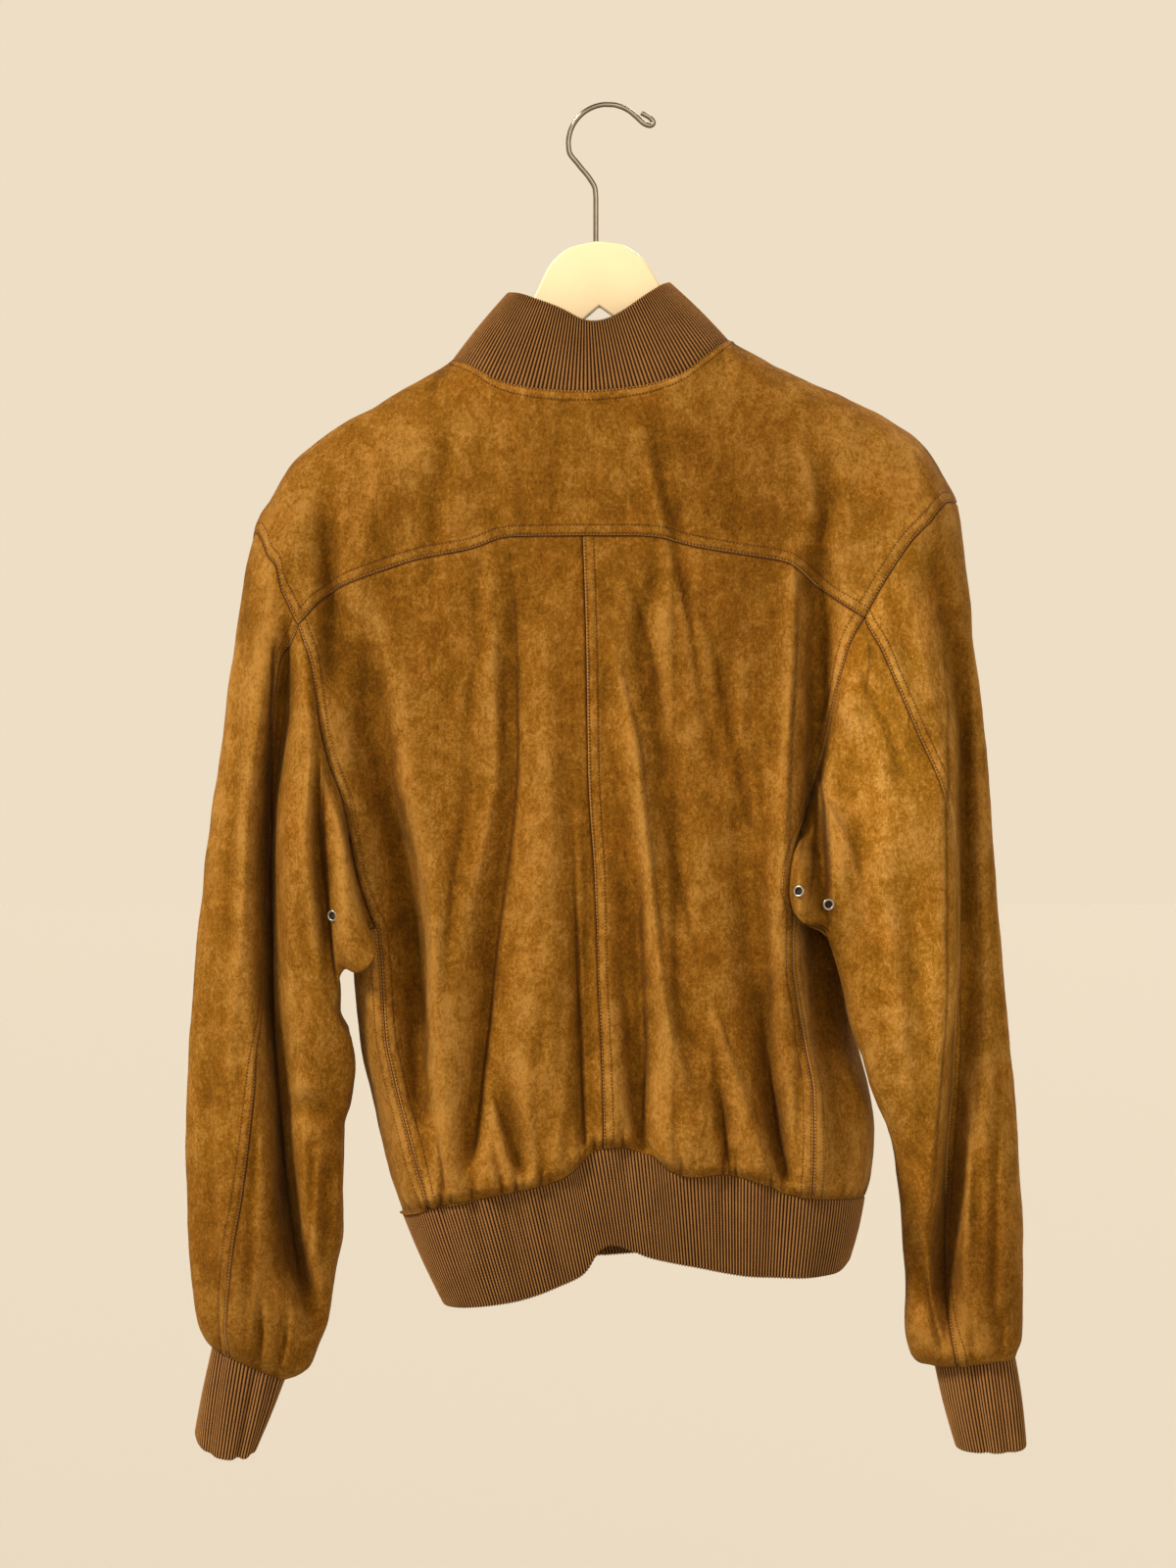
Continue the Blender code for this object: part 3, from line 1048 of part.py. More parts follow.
def collar_lines(panels):
    """The collar's base and rim, from the left front's edge round the back to the right front's."""
    left = in_x_order(panels["front_left"][0], True)[YOKE_SIDE_COLUMNS:][::-1]
    back = in_x_order(panels["back_yoke"][0], True)[YOKE_SIDE_COLUMNS:-YOKE_SIDE_COLUMNS]
    right = in_x_order(panels["front_right"][0], False)[YOKE_SIDE_COLUMNS:]
    line = joined(left, back, right)
    lap = np.where(np.arange(len(line)) < len(left), lap_of(line[:, 0], "left"), 0)
    middle = (line[:, 0].min() + line[:, 0].max()) / 2
    half = (line[:, 0].max() - line[:, 0].min()) / 2
    x = COLLAR_MIDDLE + (line[:, 0] - middle) / half * COLLAR_HALF_RIM
    y = (line[:, 1] - lap) * COLLAR_DRAW_IN + lap
    rim = np.stack([x, y, -by_side(COLLAR_RIM, x, y)], axis=1)
    base = line + inward_of(line, False) * COLLAR_INSET + (0, 0, COLLAR_RISE)
    return base, rim


def cuff_lines(line, hand):
    """A cuff's upper line and hem, once round."""
    hem = CUFF_HEM[hand]
    low, high = line.min(axis=0), line.max(axis=0)
    across, through = ((2 * line - low - high) / (high - low)).T[:2]
    x = hem["x"] + hem["width"] * across - hem["lean"] * through
    drop = hem["drop"] - hem["fall"] * through - hem["rise"] * across
    return line - (0, 0, SEAM_GAP / 2), np.stack([x, hem["depth"] * through, -drop], axis=1)


def add_bands(panels, cuffs, knit, collection):
    """The waistband, the collar and the cuffs, each from the line that it is sewn to.

    Returns the lines of the two open bands, for their buttons.
    """
    lines = {"waistband": waistband_lines(panels), "collar": collar_lines(panels)}
    for hand, line in cuffs.items():
        lines[f"cuff_{hand}"] = cuff_lines(line, hand)
    for name, (upper, lower) in lines.items():
        closed = name.startswith("cuff")
        if name == "collar":
            upper, lower = lower, upper
        mesh = band_mesh(upper, lower, inward_of(upper, closed), inward_of(lower, closed), closed)
        add_mesh(f"{name}_rib", *mesh, knit[name.split("_")[0]], collection)
    return {name: lines[name] for name in ("collar", "waistband")}


def add_button(name, point, normal, look, collection):
    bpy.ops.mesh.primitive_cylinder_add(vertices=BUTTON_SIDES, radius=BUTTON_RADIUS * MM,
                                        depth=BUTTON_THICKNESS * MM)
    button = bpy.context.object
    button.name = button.data.name = name
    button.data.materials.append(look)
    button.matrix_world = facing(point, normal, BUTTON_STAND + BUTTON_THICKNESS / 2)
    for other in button.users_collection:
        other.objects.unlink(button)
    collection.objects.link(button)


def add_eyelet(name, point, normal, look, collection):
    bpy.ops.mesh.primitive_torus_add(major_radius=EYELET_RING * MM, minor_radius=EYELET_WIRE * MM,
                                     major_segments=EYELET_SIDES[0], minor_segments=EYELET_SIDES[1])
    eyelet = bpy.context.object
    eyelet.name = eyelet.data.name = name
    eyelet.data.materials.append(look)
    eyelet.matrix_world = facing(point, normal, EYELET_STAND + EYELET_WIRE)
    for other in eyelet.users_collection:
        other.objects.unlink(eyelet)
    collection.objects.link(eyelet)


def add_trims(grids, bands, collection):
    """Buttons down the front, on the collar and on the waistband, and the underarm eyelets."""
    horn = material("button_horn", HORN_COLOUR, 0.4)
    metal = material("eyelet_metal", EYELET_COLOUR, 0.3, 1.0)
    for number, drop in enumerate(BUTTON_DROPS, 2):
        add_button(f"button_{number}", *nearest(grids, ["front_left"], drop, 0.0, FRONT), horn, collection)
    for number, name in ((1, "collar"), (len(BUTTON_DROPS) + 2, "waistband")):
        upper, lower = bands[name]
        at = int(np.argmin(np.abs(upper[:LAP_POINTS, 0])))
        point = (upper[at] + lower[at]) / 2
        rise = upper[at] - lower[at]
        normal = np.cross(rise, (1, 0, 0))
        normal *= np.sign(normal[1]) / np.linalg.norm(normal)
        add_button(f"button_{number}", point, normal, horn, collection)
    for hand, places in EYELETS.items():
        for number, (drop, x, side) in enumerate(places, 1):
            names = [f"sleeve_{hand}_under", f"sleeve_{hand}_outer"]
            add_eyelet(f"eyelet_{hand}_{number}", *nearest(grids, names, drop, x, side), metal, collection)


def main():
    for old in list(bpy.data.objects):
        bpy.data.objects.remove(old)
    parts = bpy.data.collections.new("suede_blouson_on_hanger")
    bpy.context.scene.collection.children.link(parts)
    suede = {place: material(f"suede_{place}", colour, 0.95) for place, colour in SUEDE_COLOURS.items()}
    knit = {place: material(f"rib_knit_{place}", KNIT_COLOUR, 0.9)
            for place in ("collar", "cuff", "waistband")}

    panels, armholes = body_panels()
    marks, cuffs = {}, {}
    for hand in ("left", "right"):
        under, outer, (under_marks, outer_marks) = sleeve_panels(hand, armholes[hand])
        panels[f"sleeve_{hand}_under"], marks[f"sleeve_{hand}_under"] = under, under_marks
        panels[f"sleeve_{hand}_outer"], marks[f"sleeve_{hand}_outer"] = outer, outer_marks
        cuffs[hand] = joined(under[-1], outer[-1])
    for name, grid in panels.items():
        middle = grid.mean(axis=(0, 1)) if "sleeve" in name else np.array(BODY_MIDDLE)
        if np.sum(grid_normals(grid) * (grid - middle) * (1, 1, 0)) < 0:
            panels[name] = grid[:, ::-1]
            if name in marks:
                marks[name] = grid.shape[1] - 1 - marks[name][::-1]
    drawn, normals = seam_frames(panels, marks)
    for name, grid in drawn.items():
        look = suede["sleeve" if "sleeve" in name else name.split("_")[0]]
        add_mesh(name, *wall_mesh(grid, normals[name], SUEDE_WALL), look, parts)
    bands = add_bands(panels, cuffs, knit, parts)
    add_hanger(material("hanger_paint", HANGER_COLOUR, 0.45), parts)
    add_hook(material("hook_chrome", CHROME_COLOUR, 0.12, 1.0), parts)
    add_trims((drawn, normals), bands, parts)


main()
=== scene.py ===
"""A suede blouson with knitted rib bands, buttoned in front, hung on a flat hanger with a wire hook.

Lengths in tables are millimetres. X runs to the wearer's right, Y to the jacket's front, and a drop is the
distance below the point where the hook hangs. The back, at -Y, faces the viewer.
"""
import math

import bpy
import numpy as np
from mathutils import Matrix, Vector
from mathutils.kdtree import KDTree


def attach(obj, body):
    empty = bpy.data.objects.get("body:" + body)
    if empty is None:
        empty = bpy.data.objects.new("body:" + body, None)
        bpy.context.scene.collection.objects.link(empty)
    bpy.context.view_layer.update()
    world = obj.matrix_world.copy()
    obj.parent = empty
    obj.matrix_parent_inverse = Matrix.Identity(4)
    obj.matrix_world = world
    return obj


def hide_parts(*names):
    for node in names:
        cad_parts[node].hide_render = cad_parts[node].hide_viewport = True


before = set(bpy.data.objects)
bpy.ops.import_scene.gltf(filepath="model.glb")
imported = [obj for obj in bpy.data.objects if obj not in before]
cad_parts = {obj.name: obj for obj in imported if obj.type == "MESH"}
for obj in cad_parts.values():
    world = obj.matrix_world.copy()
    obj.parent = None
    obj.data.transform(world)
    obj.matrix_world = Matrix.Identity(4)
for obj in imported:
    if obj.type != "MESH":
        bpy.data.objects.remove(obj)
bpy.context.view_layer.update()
bpy.ops.object.select_all(action="DESELECT")

# ================================================================ the room
# A plain pale floor well below the jacket, a dim room with pale walls and large soft lamps on both sides of
# it, the strongest high at the left. The eye stands level with the middle of the back, 3.2 metres away.
MM = 0.001
BACK, FRONT = -1, 1
EYE = Vector((-11.3, -3200, -459.6)) * MM
FLOOR_RADIUS, FLOOR_LEVEL = 30.0, -1.3  # metres
FLOOR_PAINT = (0.4305, 0.4222, 0.3944, 1)
WALL_PAINT = ((0.30, (1.0, 0.86, 0.66, 1)), (0.55, (0.26, 0.22, 0.17, 1)))  # from below to above
WALL_LIGHT = 0.85

bpy.ops.object.camera_add(location=EYE, rotation=(math.pi / 2, 0, 0))
camera = bpy.context.object
camera.data.lens = 108
camera.data.sensor_width = 36
bpy.context.scene.camera = camera
bpy.context.scene.view_settings.view_transform = "Standard"

bpy.ops.mesh.primitive_circle_add(vertices=96, radius=FLOOR_RADIUS, fill_type="NGON",
                                  location=(0, 0, FLOOR_LEVEL))
floor = bpy.context.object
floor.name = "studio_floor"
paint = bpy.data.materials.new("studio_floor")
paint.use_nodes = True
shader = paint.node_tree.nodes["Principled BSDF"]
shader.inputs["Base Color"].default_value = FLOOR_PAINT
shader.inputs["Roughness"].default_value = 0.9
floor.data.materials.append(paint)

room = bpy.data.worlds.new("studio_room")
room.use_nodes = True
way = room.node_tree.nodes.new("ShaderNodeTexCoord")
height = room.node_tree.nodes.new("ShaderNodeSeparateXYZ")
walls = room.node_tree.nodes.new("ShaderNodeValToRGB")
room.node_tree.links.new(way.outputs["Generated"], height.inputs[0])
room.node_tree.links.new(height.outputs["Z"], walls.inputs[0])
room.node_tree.links.new(walls.outputs[0], room.node_tree.nodes["Background"].inputs["Color"])
for element, (level, colour) in zip(walls.color_ramp.elements, WALL_PAINT):
    element.position, element.color = level, colour
room.node_tree.nodes["Background"].inputs["Strength"].default_value = WALL_LIGHT
bpy.context.scene.world = room

WARM = (1.0, 0.88, 0.72)
LAMPS = (  # name, height above level and turn round the jacket in degrees, strength, softness in degrees
    ("key_lamp", 40, -56, 3.6, 12),
    ("fill_lamp", 20, 20, 0.9, 50),
    ("front_key_lamp", 40, 152, 2.6, 16),
    ("front_fill_lamp", 14, -150, 0.8, 60),
)
for name, height, turn, strength, softness in LAMPS:
    height, turn = math.radians(height), math.radians(turn)
    place = Vector((math.sin(turn) * math.cos(height), -math.cos(turn) * math.cos(height), math.sin(height)))
    bpy.ops.object.light_add(type="SUN", location=place * 3)
    lamp = bpy.context.object
    lamp.name = name
    lamp.data.energy = strength
    lamp.data.color = WARM
    lamp.data.angle = math.radians(softness)
    lamp.rotation_euler = place.to_track_quat("Z", "Y").to_euler()


# ================================================================ the hanger
# A flat hanger cut from 12 mm board, with a domed middle, sloping arms and rounded edges, sprayed in cream
# satin paint. It hangs three degrees off level.
HANGER_TOP, HANGER_X, HANGER_TILT = 91.0, -6.0, math.radians(3)
HANGER_THICKNESS = 12.0
HANGER_ROUNDING = 1.6
HANGER_UPPER = ((0, 0), (17, 3), (31, 13), (42, 32), (57, 56), (97, 88), (143, 115), (200, 150))  # right half
HANGER_END = ((208, 158), (209, 168), (203, 175))
HANGER_LOWER = ((150, 148), (97, 116), (60, 90), (10, 52), (0, 44))


def glide(at, stops, values):
    """A smooth curve through a table, flat past its ends, with no overshoot."""
    stops, values = np.asarray(stops, float), np.asarray(values, float)
    rise = np.diff(values) / np.diff(stops)
    slope = np.concatenate([[rise[0]], np.zeros(len(rise) - 1), [rise[-1]]])
    agree = rise[1:] * rise[:-1] > 0
    total = np.where(agree, rise[1:] + rise[:-1], 1.0)
    slope[1:-1] = np.where(agree, 2 * rise[1:] * rise[:-1] / total, 0.0)
    at = np.clip(at, stops[0], stops[-1])
    k = np.clip(np.searchsorted(stops, at, side="right") - 1, 0, len(rise) - 1)
    span = stops[k + 1] - stops[k]
    u = (at - stops[k]) / span
    ends = values[k] * (1 + 2 * u) * (1 - u) ** 2 + values[k + 1] * u * u * (3 - 2 * u)
    return ends + span * u * (1 - u) * ((1 - u) * slope[k] - u * slope[k + 1])


def along(points):
    """Each point's distance along a line of points."""
    steps = np.linalg.norm(np.diff(np.asarray(points, float), axis=0), axis=1)
    return np.concatenate([[0.0], np.cumsum(steps)])


def resample(points, shares):
    """A smooth line through the points, at so many even stops or at the given shares of its length."""
    points = np.asarray(points, float)
    reach = along(points)
    shares = np.linspace(0, 1, shares + 1) if isinstance(shares, int) else shares
    stops = np.multiply(shares, reach[-1])
    return np.stack([glide(stops, reach, points[:, k]) for k in range(points.shape[1])], axis=1)


def between(at, stops, points):
    """Straight-line values of a line of points, or of its directions, at these stops."""
    return np.stack([np.interp(at, stops, points[:, k]) for k in range(points.shape[1])], axis=1)


class Varying:
    """A number, colour or vector that varies over a surface. Arithmetic on it adds Math nodes to its look."""

    def __init__(self, look, socket):
        self.look, self.socket = look, socket

    def math(self, operation, *values):
        return self.look.node("Math", values, operation=operation)

    def __add__(self, other):
        return self.math("ADD", self, other)

    def __sub__(self, other):
        return self.math("SUBTRACT", self, other)

    def __rsub__(self, other):
        return self.math("SUBTRACT", other, self)

    def __mul__(self, other):
        return self.math("MULTIPLY", self, other)

    def __truediv__(self, other):
        return self.math("DIVIDE", self, other)

    def __pow__(self, other):
        return self.math("POWER", self, other)

    __radd__, __rmul__ = __add__, __mul__

    def fraction(self):
        return self.math("FRACT", self)

    def size(self):
        return self.math("ABSOLUTE", self)

    def held(self):
        """The same number, kept between 0 and 1."""
        return self.look.node("Clamp", (self, 0.0, 1.0))


class Look:
    """A material in the making: its nodes and the shader that they feed."""

    def __init__(self, name, **constants):
        self.material = bpy.data.materials.new(name)
        self.material.use_nodes = True
        self.tree = self.material.node_tree
        self.shader = self.tree.nodes["Principled BSDF"]
        for socket, value in constants.items():
            self.shader.inputs[socket.replace("_", " ")].default_value = value

    def node(self, kind, values=(), out=0, stops=None, **settings):
        """A node of this kind, with its settings, a ramp's stops, and the values or links of its sockets."""
        made = self.tree.nodes.new("ShaderNode" + kind)
        for name, value in settings.items():
            setattr(made, name, value)
        if stops:
            ramp = made.color_ramp.elements
            while len(ramp) < len(stops):
                ramp.new(0.5)
            for element, (place, colour) in zip(ramp, stops):
                element.position, element.color = place, (*colour, 1)
        for socket, value in values.items() if isinstance(values, dict) else enumerate(values):
            if isinstance(value, Varying):
                self.tree.links.new(value.socket, made.inputs[socket])
            else:
                made.inputs[socket].default_value = value
        return Varying(self, made.outputs[out])

    def noise(self, place, scale, detail=2.0, rough=0.5, twist=0.0):
        values = {"Vector": place, "Scale": scale, "Detail": detail, "Roughness": rough, "Distortion": twist}
        return self.node("TexNoise", values)

    def place(self, scale=(1, 1, 1)):
        """Where a point is on the object, stretched by a scale for each axis."""
        return self.node("Mapping", {"Vector": self.node("TexCoord", out="Object"), "Scale": scale})

    def mark(self, word):
        """A number that the mesh carries for each of its points."""
        return self.node("Attribute", out=2, attribute_name=word)

    def tinted(self, colour, tint):
        return self.node("VectorMath", (colour, tint), operation="MULTIPLY")

    def blend(self, share, first, second):
        colours = [value if isinstance(value, Varying) else (*value, 1) for value in (first, second)]
        return self.node("Mix", {0: share, 6: colours[0], 7: colours[1]}, out=2, data_type="RGBA")

    def set(self, socket, value):
        self.tree.links.new(value.socket, self.shader.inputs[socket])

    def bump(self, height, distance, strength=1.0):
        self.set("Normal", self.node("Bump", {"Height": height, "Distance": distance, "Strength": strength}))


def face_outward(piece):
    """Turns every face of a closed piece outward, with the piece the only one selected."""
    bpy.ops.object.select_all(action="DESELECT")
    piece.select_set(True)
    bpy.context.view_layer.objects.active = piece
    bpy.ops.object.mode_set(mode="EDIT")
    bpy.ops.mesh.select_all(action="SELECT")
    bpy.ops.mesh.normals_make_consistent(inside=False)
    bpy.ops.object.mode_set(mode="OBJECT")


def finish_piece(piece, name, look, nodes):
    """Names a piece, gives it its finish, says what it rides on and hides the nodes that it stands for."""
    piece.name = piece.data.name = name
    piece.data.materials.clear()
    piece.data.materials.append(look.material)
    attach(piece, "root")
    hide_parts(*nodes)
    piece.select_set(False)


right = np.vstack([resample(HANGER_UPPER, 60), HANGER_END, resample(HANGER_LOWER[:-1], 24),
                   HANGER_LOWER[-1:]])
outline = np.vstack([right, (right * (-1, 1))[1:-1][::-1]])
bpy.ops.mesh.primitive_circle_add(vertices=len(outline), radius=1, fill_type="NGON")
hanger = bpy.context.object
for vertex, (x, drop) in zip(hanger.data.vertices, outline):
    turned_x = HANGER_X + x * math.cos(HANGER_TILT) + drop * math.sin(HANGER_TILT)
    turned_drop = HANGER_TOP - x * math.sin(HANGER_TILT) + drop * math.cos(HANGER_TILT)
    vertex.co = Vector((turned_x, -HANGER_THICKNESS / 2, -turned_drop)) * MM
bpy.ops.object.mode_set(mode="EDIT")
bpy.ops.mesh.select_all(action="SELECT")
bpy.ops.mesh.extrude_region_move(TRANSFORM_OT_translate={"value": (0, HANGER_THICKNESS * MM, 0)})
bpy.ops.object.mode_set(mode="OBJECT")
face_outward(hanger)
rounding = hanger.modifiers.new("rounded edges", "BEVEL")
rounding.width = HANGER_ROUNDING * MM
rounding.segments = 4
rounding.angle_limit = math.radians(50)
bpy.ops.object.modifier_apply(modifier=rounding.name)
bpy.ops.object.shade_smooth_by_angle(angle=math.radians(35))

cream = Look("cream_paint", Coat_Weight=0.15, Coat_Roughness=0.3)
clouds = cream.noise(cream.place(), 9.0, 3.0)
specks = cream.noise(cream.place(), 700.0, 2.0)
cream.set("Base Color", cream.blend(clouds, (0.885, 0.725, 0.455), (0.925, 0.765, 0.505)))
cream.set("Roughness", 0.38 + 0.12 * clouds)
cream.bump(specks, 0.05 * MM, 0.4)
finish_piece(hanger, "cream_hanger", cream, ["hanger_body"])


# ================================================================ the hook
# A 3.5 mm steel wire, bright chrome plated: a straight shank, a joggle, a crook that goes over the rail and a
# tip folded back on itself. The shank is screwed into the hanger's top.
HOOK_WIRE = 1.75
HOOK_BEND = dict(drop=24, x=2, radius=26.7)
HOOK_STOPS = 150
SEAM_GAP = 0.3

radius = HOOK_BEND["radius"]
arc = [(HOOK_BEND["drop"] - radius * math.sin(turn), HOOK_BEND["x"] + radius * math.cos(turn))
       for turn in np.radians(np.arange(190, 35, -12))]
route = [(HANGER_TOP - SEAM_GAP, HANGER_X), (62, -6), (55, -6.5), (48, -10), (38, -18)] + arc
route += [(11, 28), (11.8, 31), (10, 33.2), (7, 31.5), (3, 25)]
bpy.ops.curve.primitive_nurbs_path_add()
hook = bpy.context.object
hook.data.splines.clear()
wire = hook.data.splines.new("POLY")
wire.points.add(HOOK_STOPS)
for point, (drop, x) in zip(wire.points, resample(route, HOOK_STOPS)):
    point.co = (x * MM, 0, -drop * MM, 1)
hook.data.bevel_depth = HOOK_WIRE * MM
hook.data.bevel_resolution = 4
hook.data.use_fill_caps = True
bpy.ops.object.convert(target="MESH")
bpy.ops.object.shade_smooth_by_angle(angle=math.radians(40))

chrome = Look("chrome_wire", Metallic=1.0)
wear = chrome.noise(chrome.place(), 160.0, 4.0)
# Painted reflection: the brownish, darkened base colour stands for a dim room seen in the chrome, and where
# the wire turns away from front and back it is painted near black.
sheer = chrome.node("SeparateXYZ", (chrome.node("NewGeometry", out=1),), out=1).size()
painted_dark_reflection = 1 - ((sheer - 0.62) * 4.0).held()
chrome.set("Base Color", chrome.blend(painted_dark_reflection, chrome.blend(wear, (0.20, 0.17, 0.13), (0.46, 0.41, 0.33)),
                                      (0.035, 0.026, 0.018)))
chrome.set("Roughness", 0.10 + 0.14 * wear)
chrome.bump(chrome.noise(chrome.place((1, 1, 6)), 500.0), 0.02 * MM, 0.3)
finish_piece(hook, "chrome_hook", chrome, ["hanger_hook"])


# ================================================================ the body's suede: yoke, backs and fronts
# Five panels of goat suede, nap side out. The yoke is cut in one piece and comes over the shoulders to the
# front. The backs meet in a centre seam, and the left front laps over the right one. Each is a grid of points
# on the body's form, with the folds of the hanging jacket and the gathers over the waistband.
SUEDE_WALL = 1.5
DRAWN_BACK = 0.1  # from a seam's line to each panel's edge
LAP = 3.0  # how far the left front edge stands off the right one under it
LAP_REACH = 12.0  # how far each front edge passes the centre line
LAP_START, LAP_RISE = -34, 18  # X where the left front starts to rise off the right one, and over how far
FINE_STOPS = (0, 0.4, 0.9, 1.5, 2.3, 3.6, 5.4, 7.1, 8.1, 9.3, 11.2, 13.4)  # of rows that follow a seam

# The shoulder line and, between the neck points, its rise inside the collar.
RIDGE = dict(
    x=(-239, -235, -226, -212, -199, -171, -149, -118, -103, -78, -51, -8, 35, 62, 84, 103, 131, 168, 199,
       218, 231, 239),
    drop=(294, 279, 265, 241, 230, 211, 199, 181, 171, 156, 143, 134, 138, 146, 158, 169, 183, 199, 216,
          231, 252, 269),
)
SHOULDER_ROUND = 70.0  # drop over which the wall turns from the shoulder line to its full depth
SHOULDER_ROLL = 57.0  # the same turn's mean radius
SHOULDER_SEAM = -14.0  # the yoke passes the shoulder line by this much, measured round the turn

# The body's sections: outer edges at left and right, radius of its sides, depth of its back and front.
SECTIONS = dict(
    drop=(294, 353, 420, 473, 513, 553, 583, 633, 666, 693, 726, 751),
    left=(-261, -257, -228, -199, -185, -173, -171, -166, -159, -153, -145, -137),
    right=(262, 255, 205, 182, 167, 161, 163, 171, 180, 184, 181, 172),
    side=(60, 60, 52, 46, 45, 45, 45, 45, 46, 46, 48, 50),
    back=(44, 47, 51, 55, 57, 59, 60, 61, 62, 62, 61, 58),
    front=(42, 48, 53, 57, 59, 60, 61, 62, 63, 63, 62, 59),
)

# Seams of the back, as rows of (drop, x).
YOKE_SEAM = (
    (353, -206), (331, -184), (319, -156), (308, -122), (302, -90), (294, -66), (293, -15),
    (293, 18), (295, 43), (298, 50), (306, 93), (311, 123), (320, 136), (332, 149), (348, 174),
)
CENTRE_SEAM = ((293, -15), (353, -13), (460, -11), (526, -7), (595, -5), (641, -3), (704, -1))
ARMHOLE_BACK = {
    "left": ((353, -206), (380, -197), (420, -191), (446, -185), (474, -175), (519, -167), (546, -159),
             (558, -153)),
    "right": ((348, 174), (367, 164), (400, 155), (430, 149), (473, 137), (511, 125), (532, 123), (546, 126)),
}
ARMHOLE_YOKE = {
    "left": ((294, -239), (313, -221), (327, -218), (353, -206)),
    "right": ((269, 239), (278, 224), (293, 209), (325, 187), (348, 174)),
}
SIDE_SEAM = {
    "left": ((558, -153), (583, -150), (630, -147), (655, -142), (687, -134), (717, -126), (746, -118)),
    "right": ((546, 126), (579, 126), (630, 133), (669, 139), (710, 139), (738, 138)),
}
# The armhole's front half, as rows of (drop, x, which side of the body).
ARMHOLE_FRONT = {
    "left": ((319, -230, FRONT), (353, -211, FRONT), (406, -193, FRONT), (446, -178, FRONT),
             (493, -166, FRONT), (528, -164, FRONT), (549, -166, BACK), (558, -153, BACK)),
    "right": ((300, 228, FRONT), (336, 208, FRONT), (390, 184, FRONT), (430, 168, FRONT),
              (477, 154, FRONT), (510, 152, FRONT), (536, 150, BACK), (546, 126, BACK)),
}
NECK_BACK = ((171, -103), (183, -80), (193, -49), (195, -11), (191, 27), (179, 58), (158, 84))
NECK_FRONT = ((183, -98), (206, -85), (236, -58), (251, -31), (254, -5), (251, 22), (229, 49), (196, 70),
              (171, 81))
NECK_ENDS = (-101.0, 82.5)  # X of the neck line's ends on the yoke's front edge
NECK_FOOT = 254.0  # drop of the centre front's top
WAIST_MEAN = 742.0  # mean drop of the waist seam
WAIST = {
    BACK: ((750, -136), (743, -109), (735, -66), (725, -29), (714, -15), (706, -7), (704, 7), (709, 31),
           (720, 44), (724, 60), (722, 79), (728, 104), (736, 125), (739, 147), (740, 173)),
    FRONT: ((750, -136), (745, -60), (739, 0), (738, 90), (740, 173)),
}

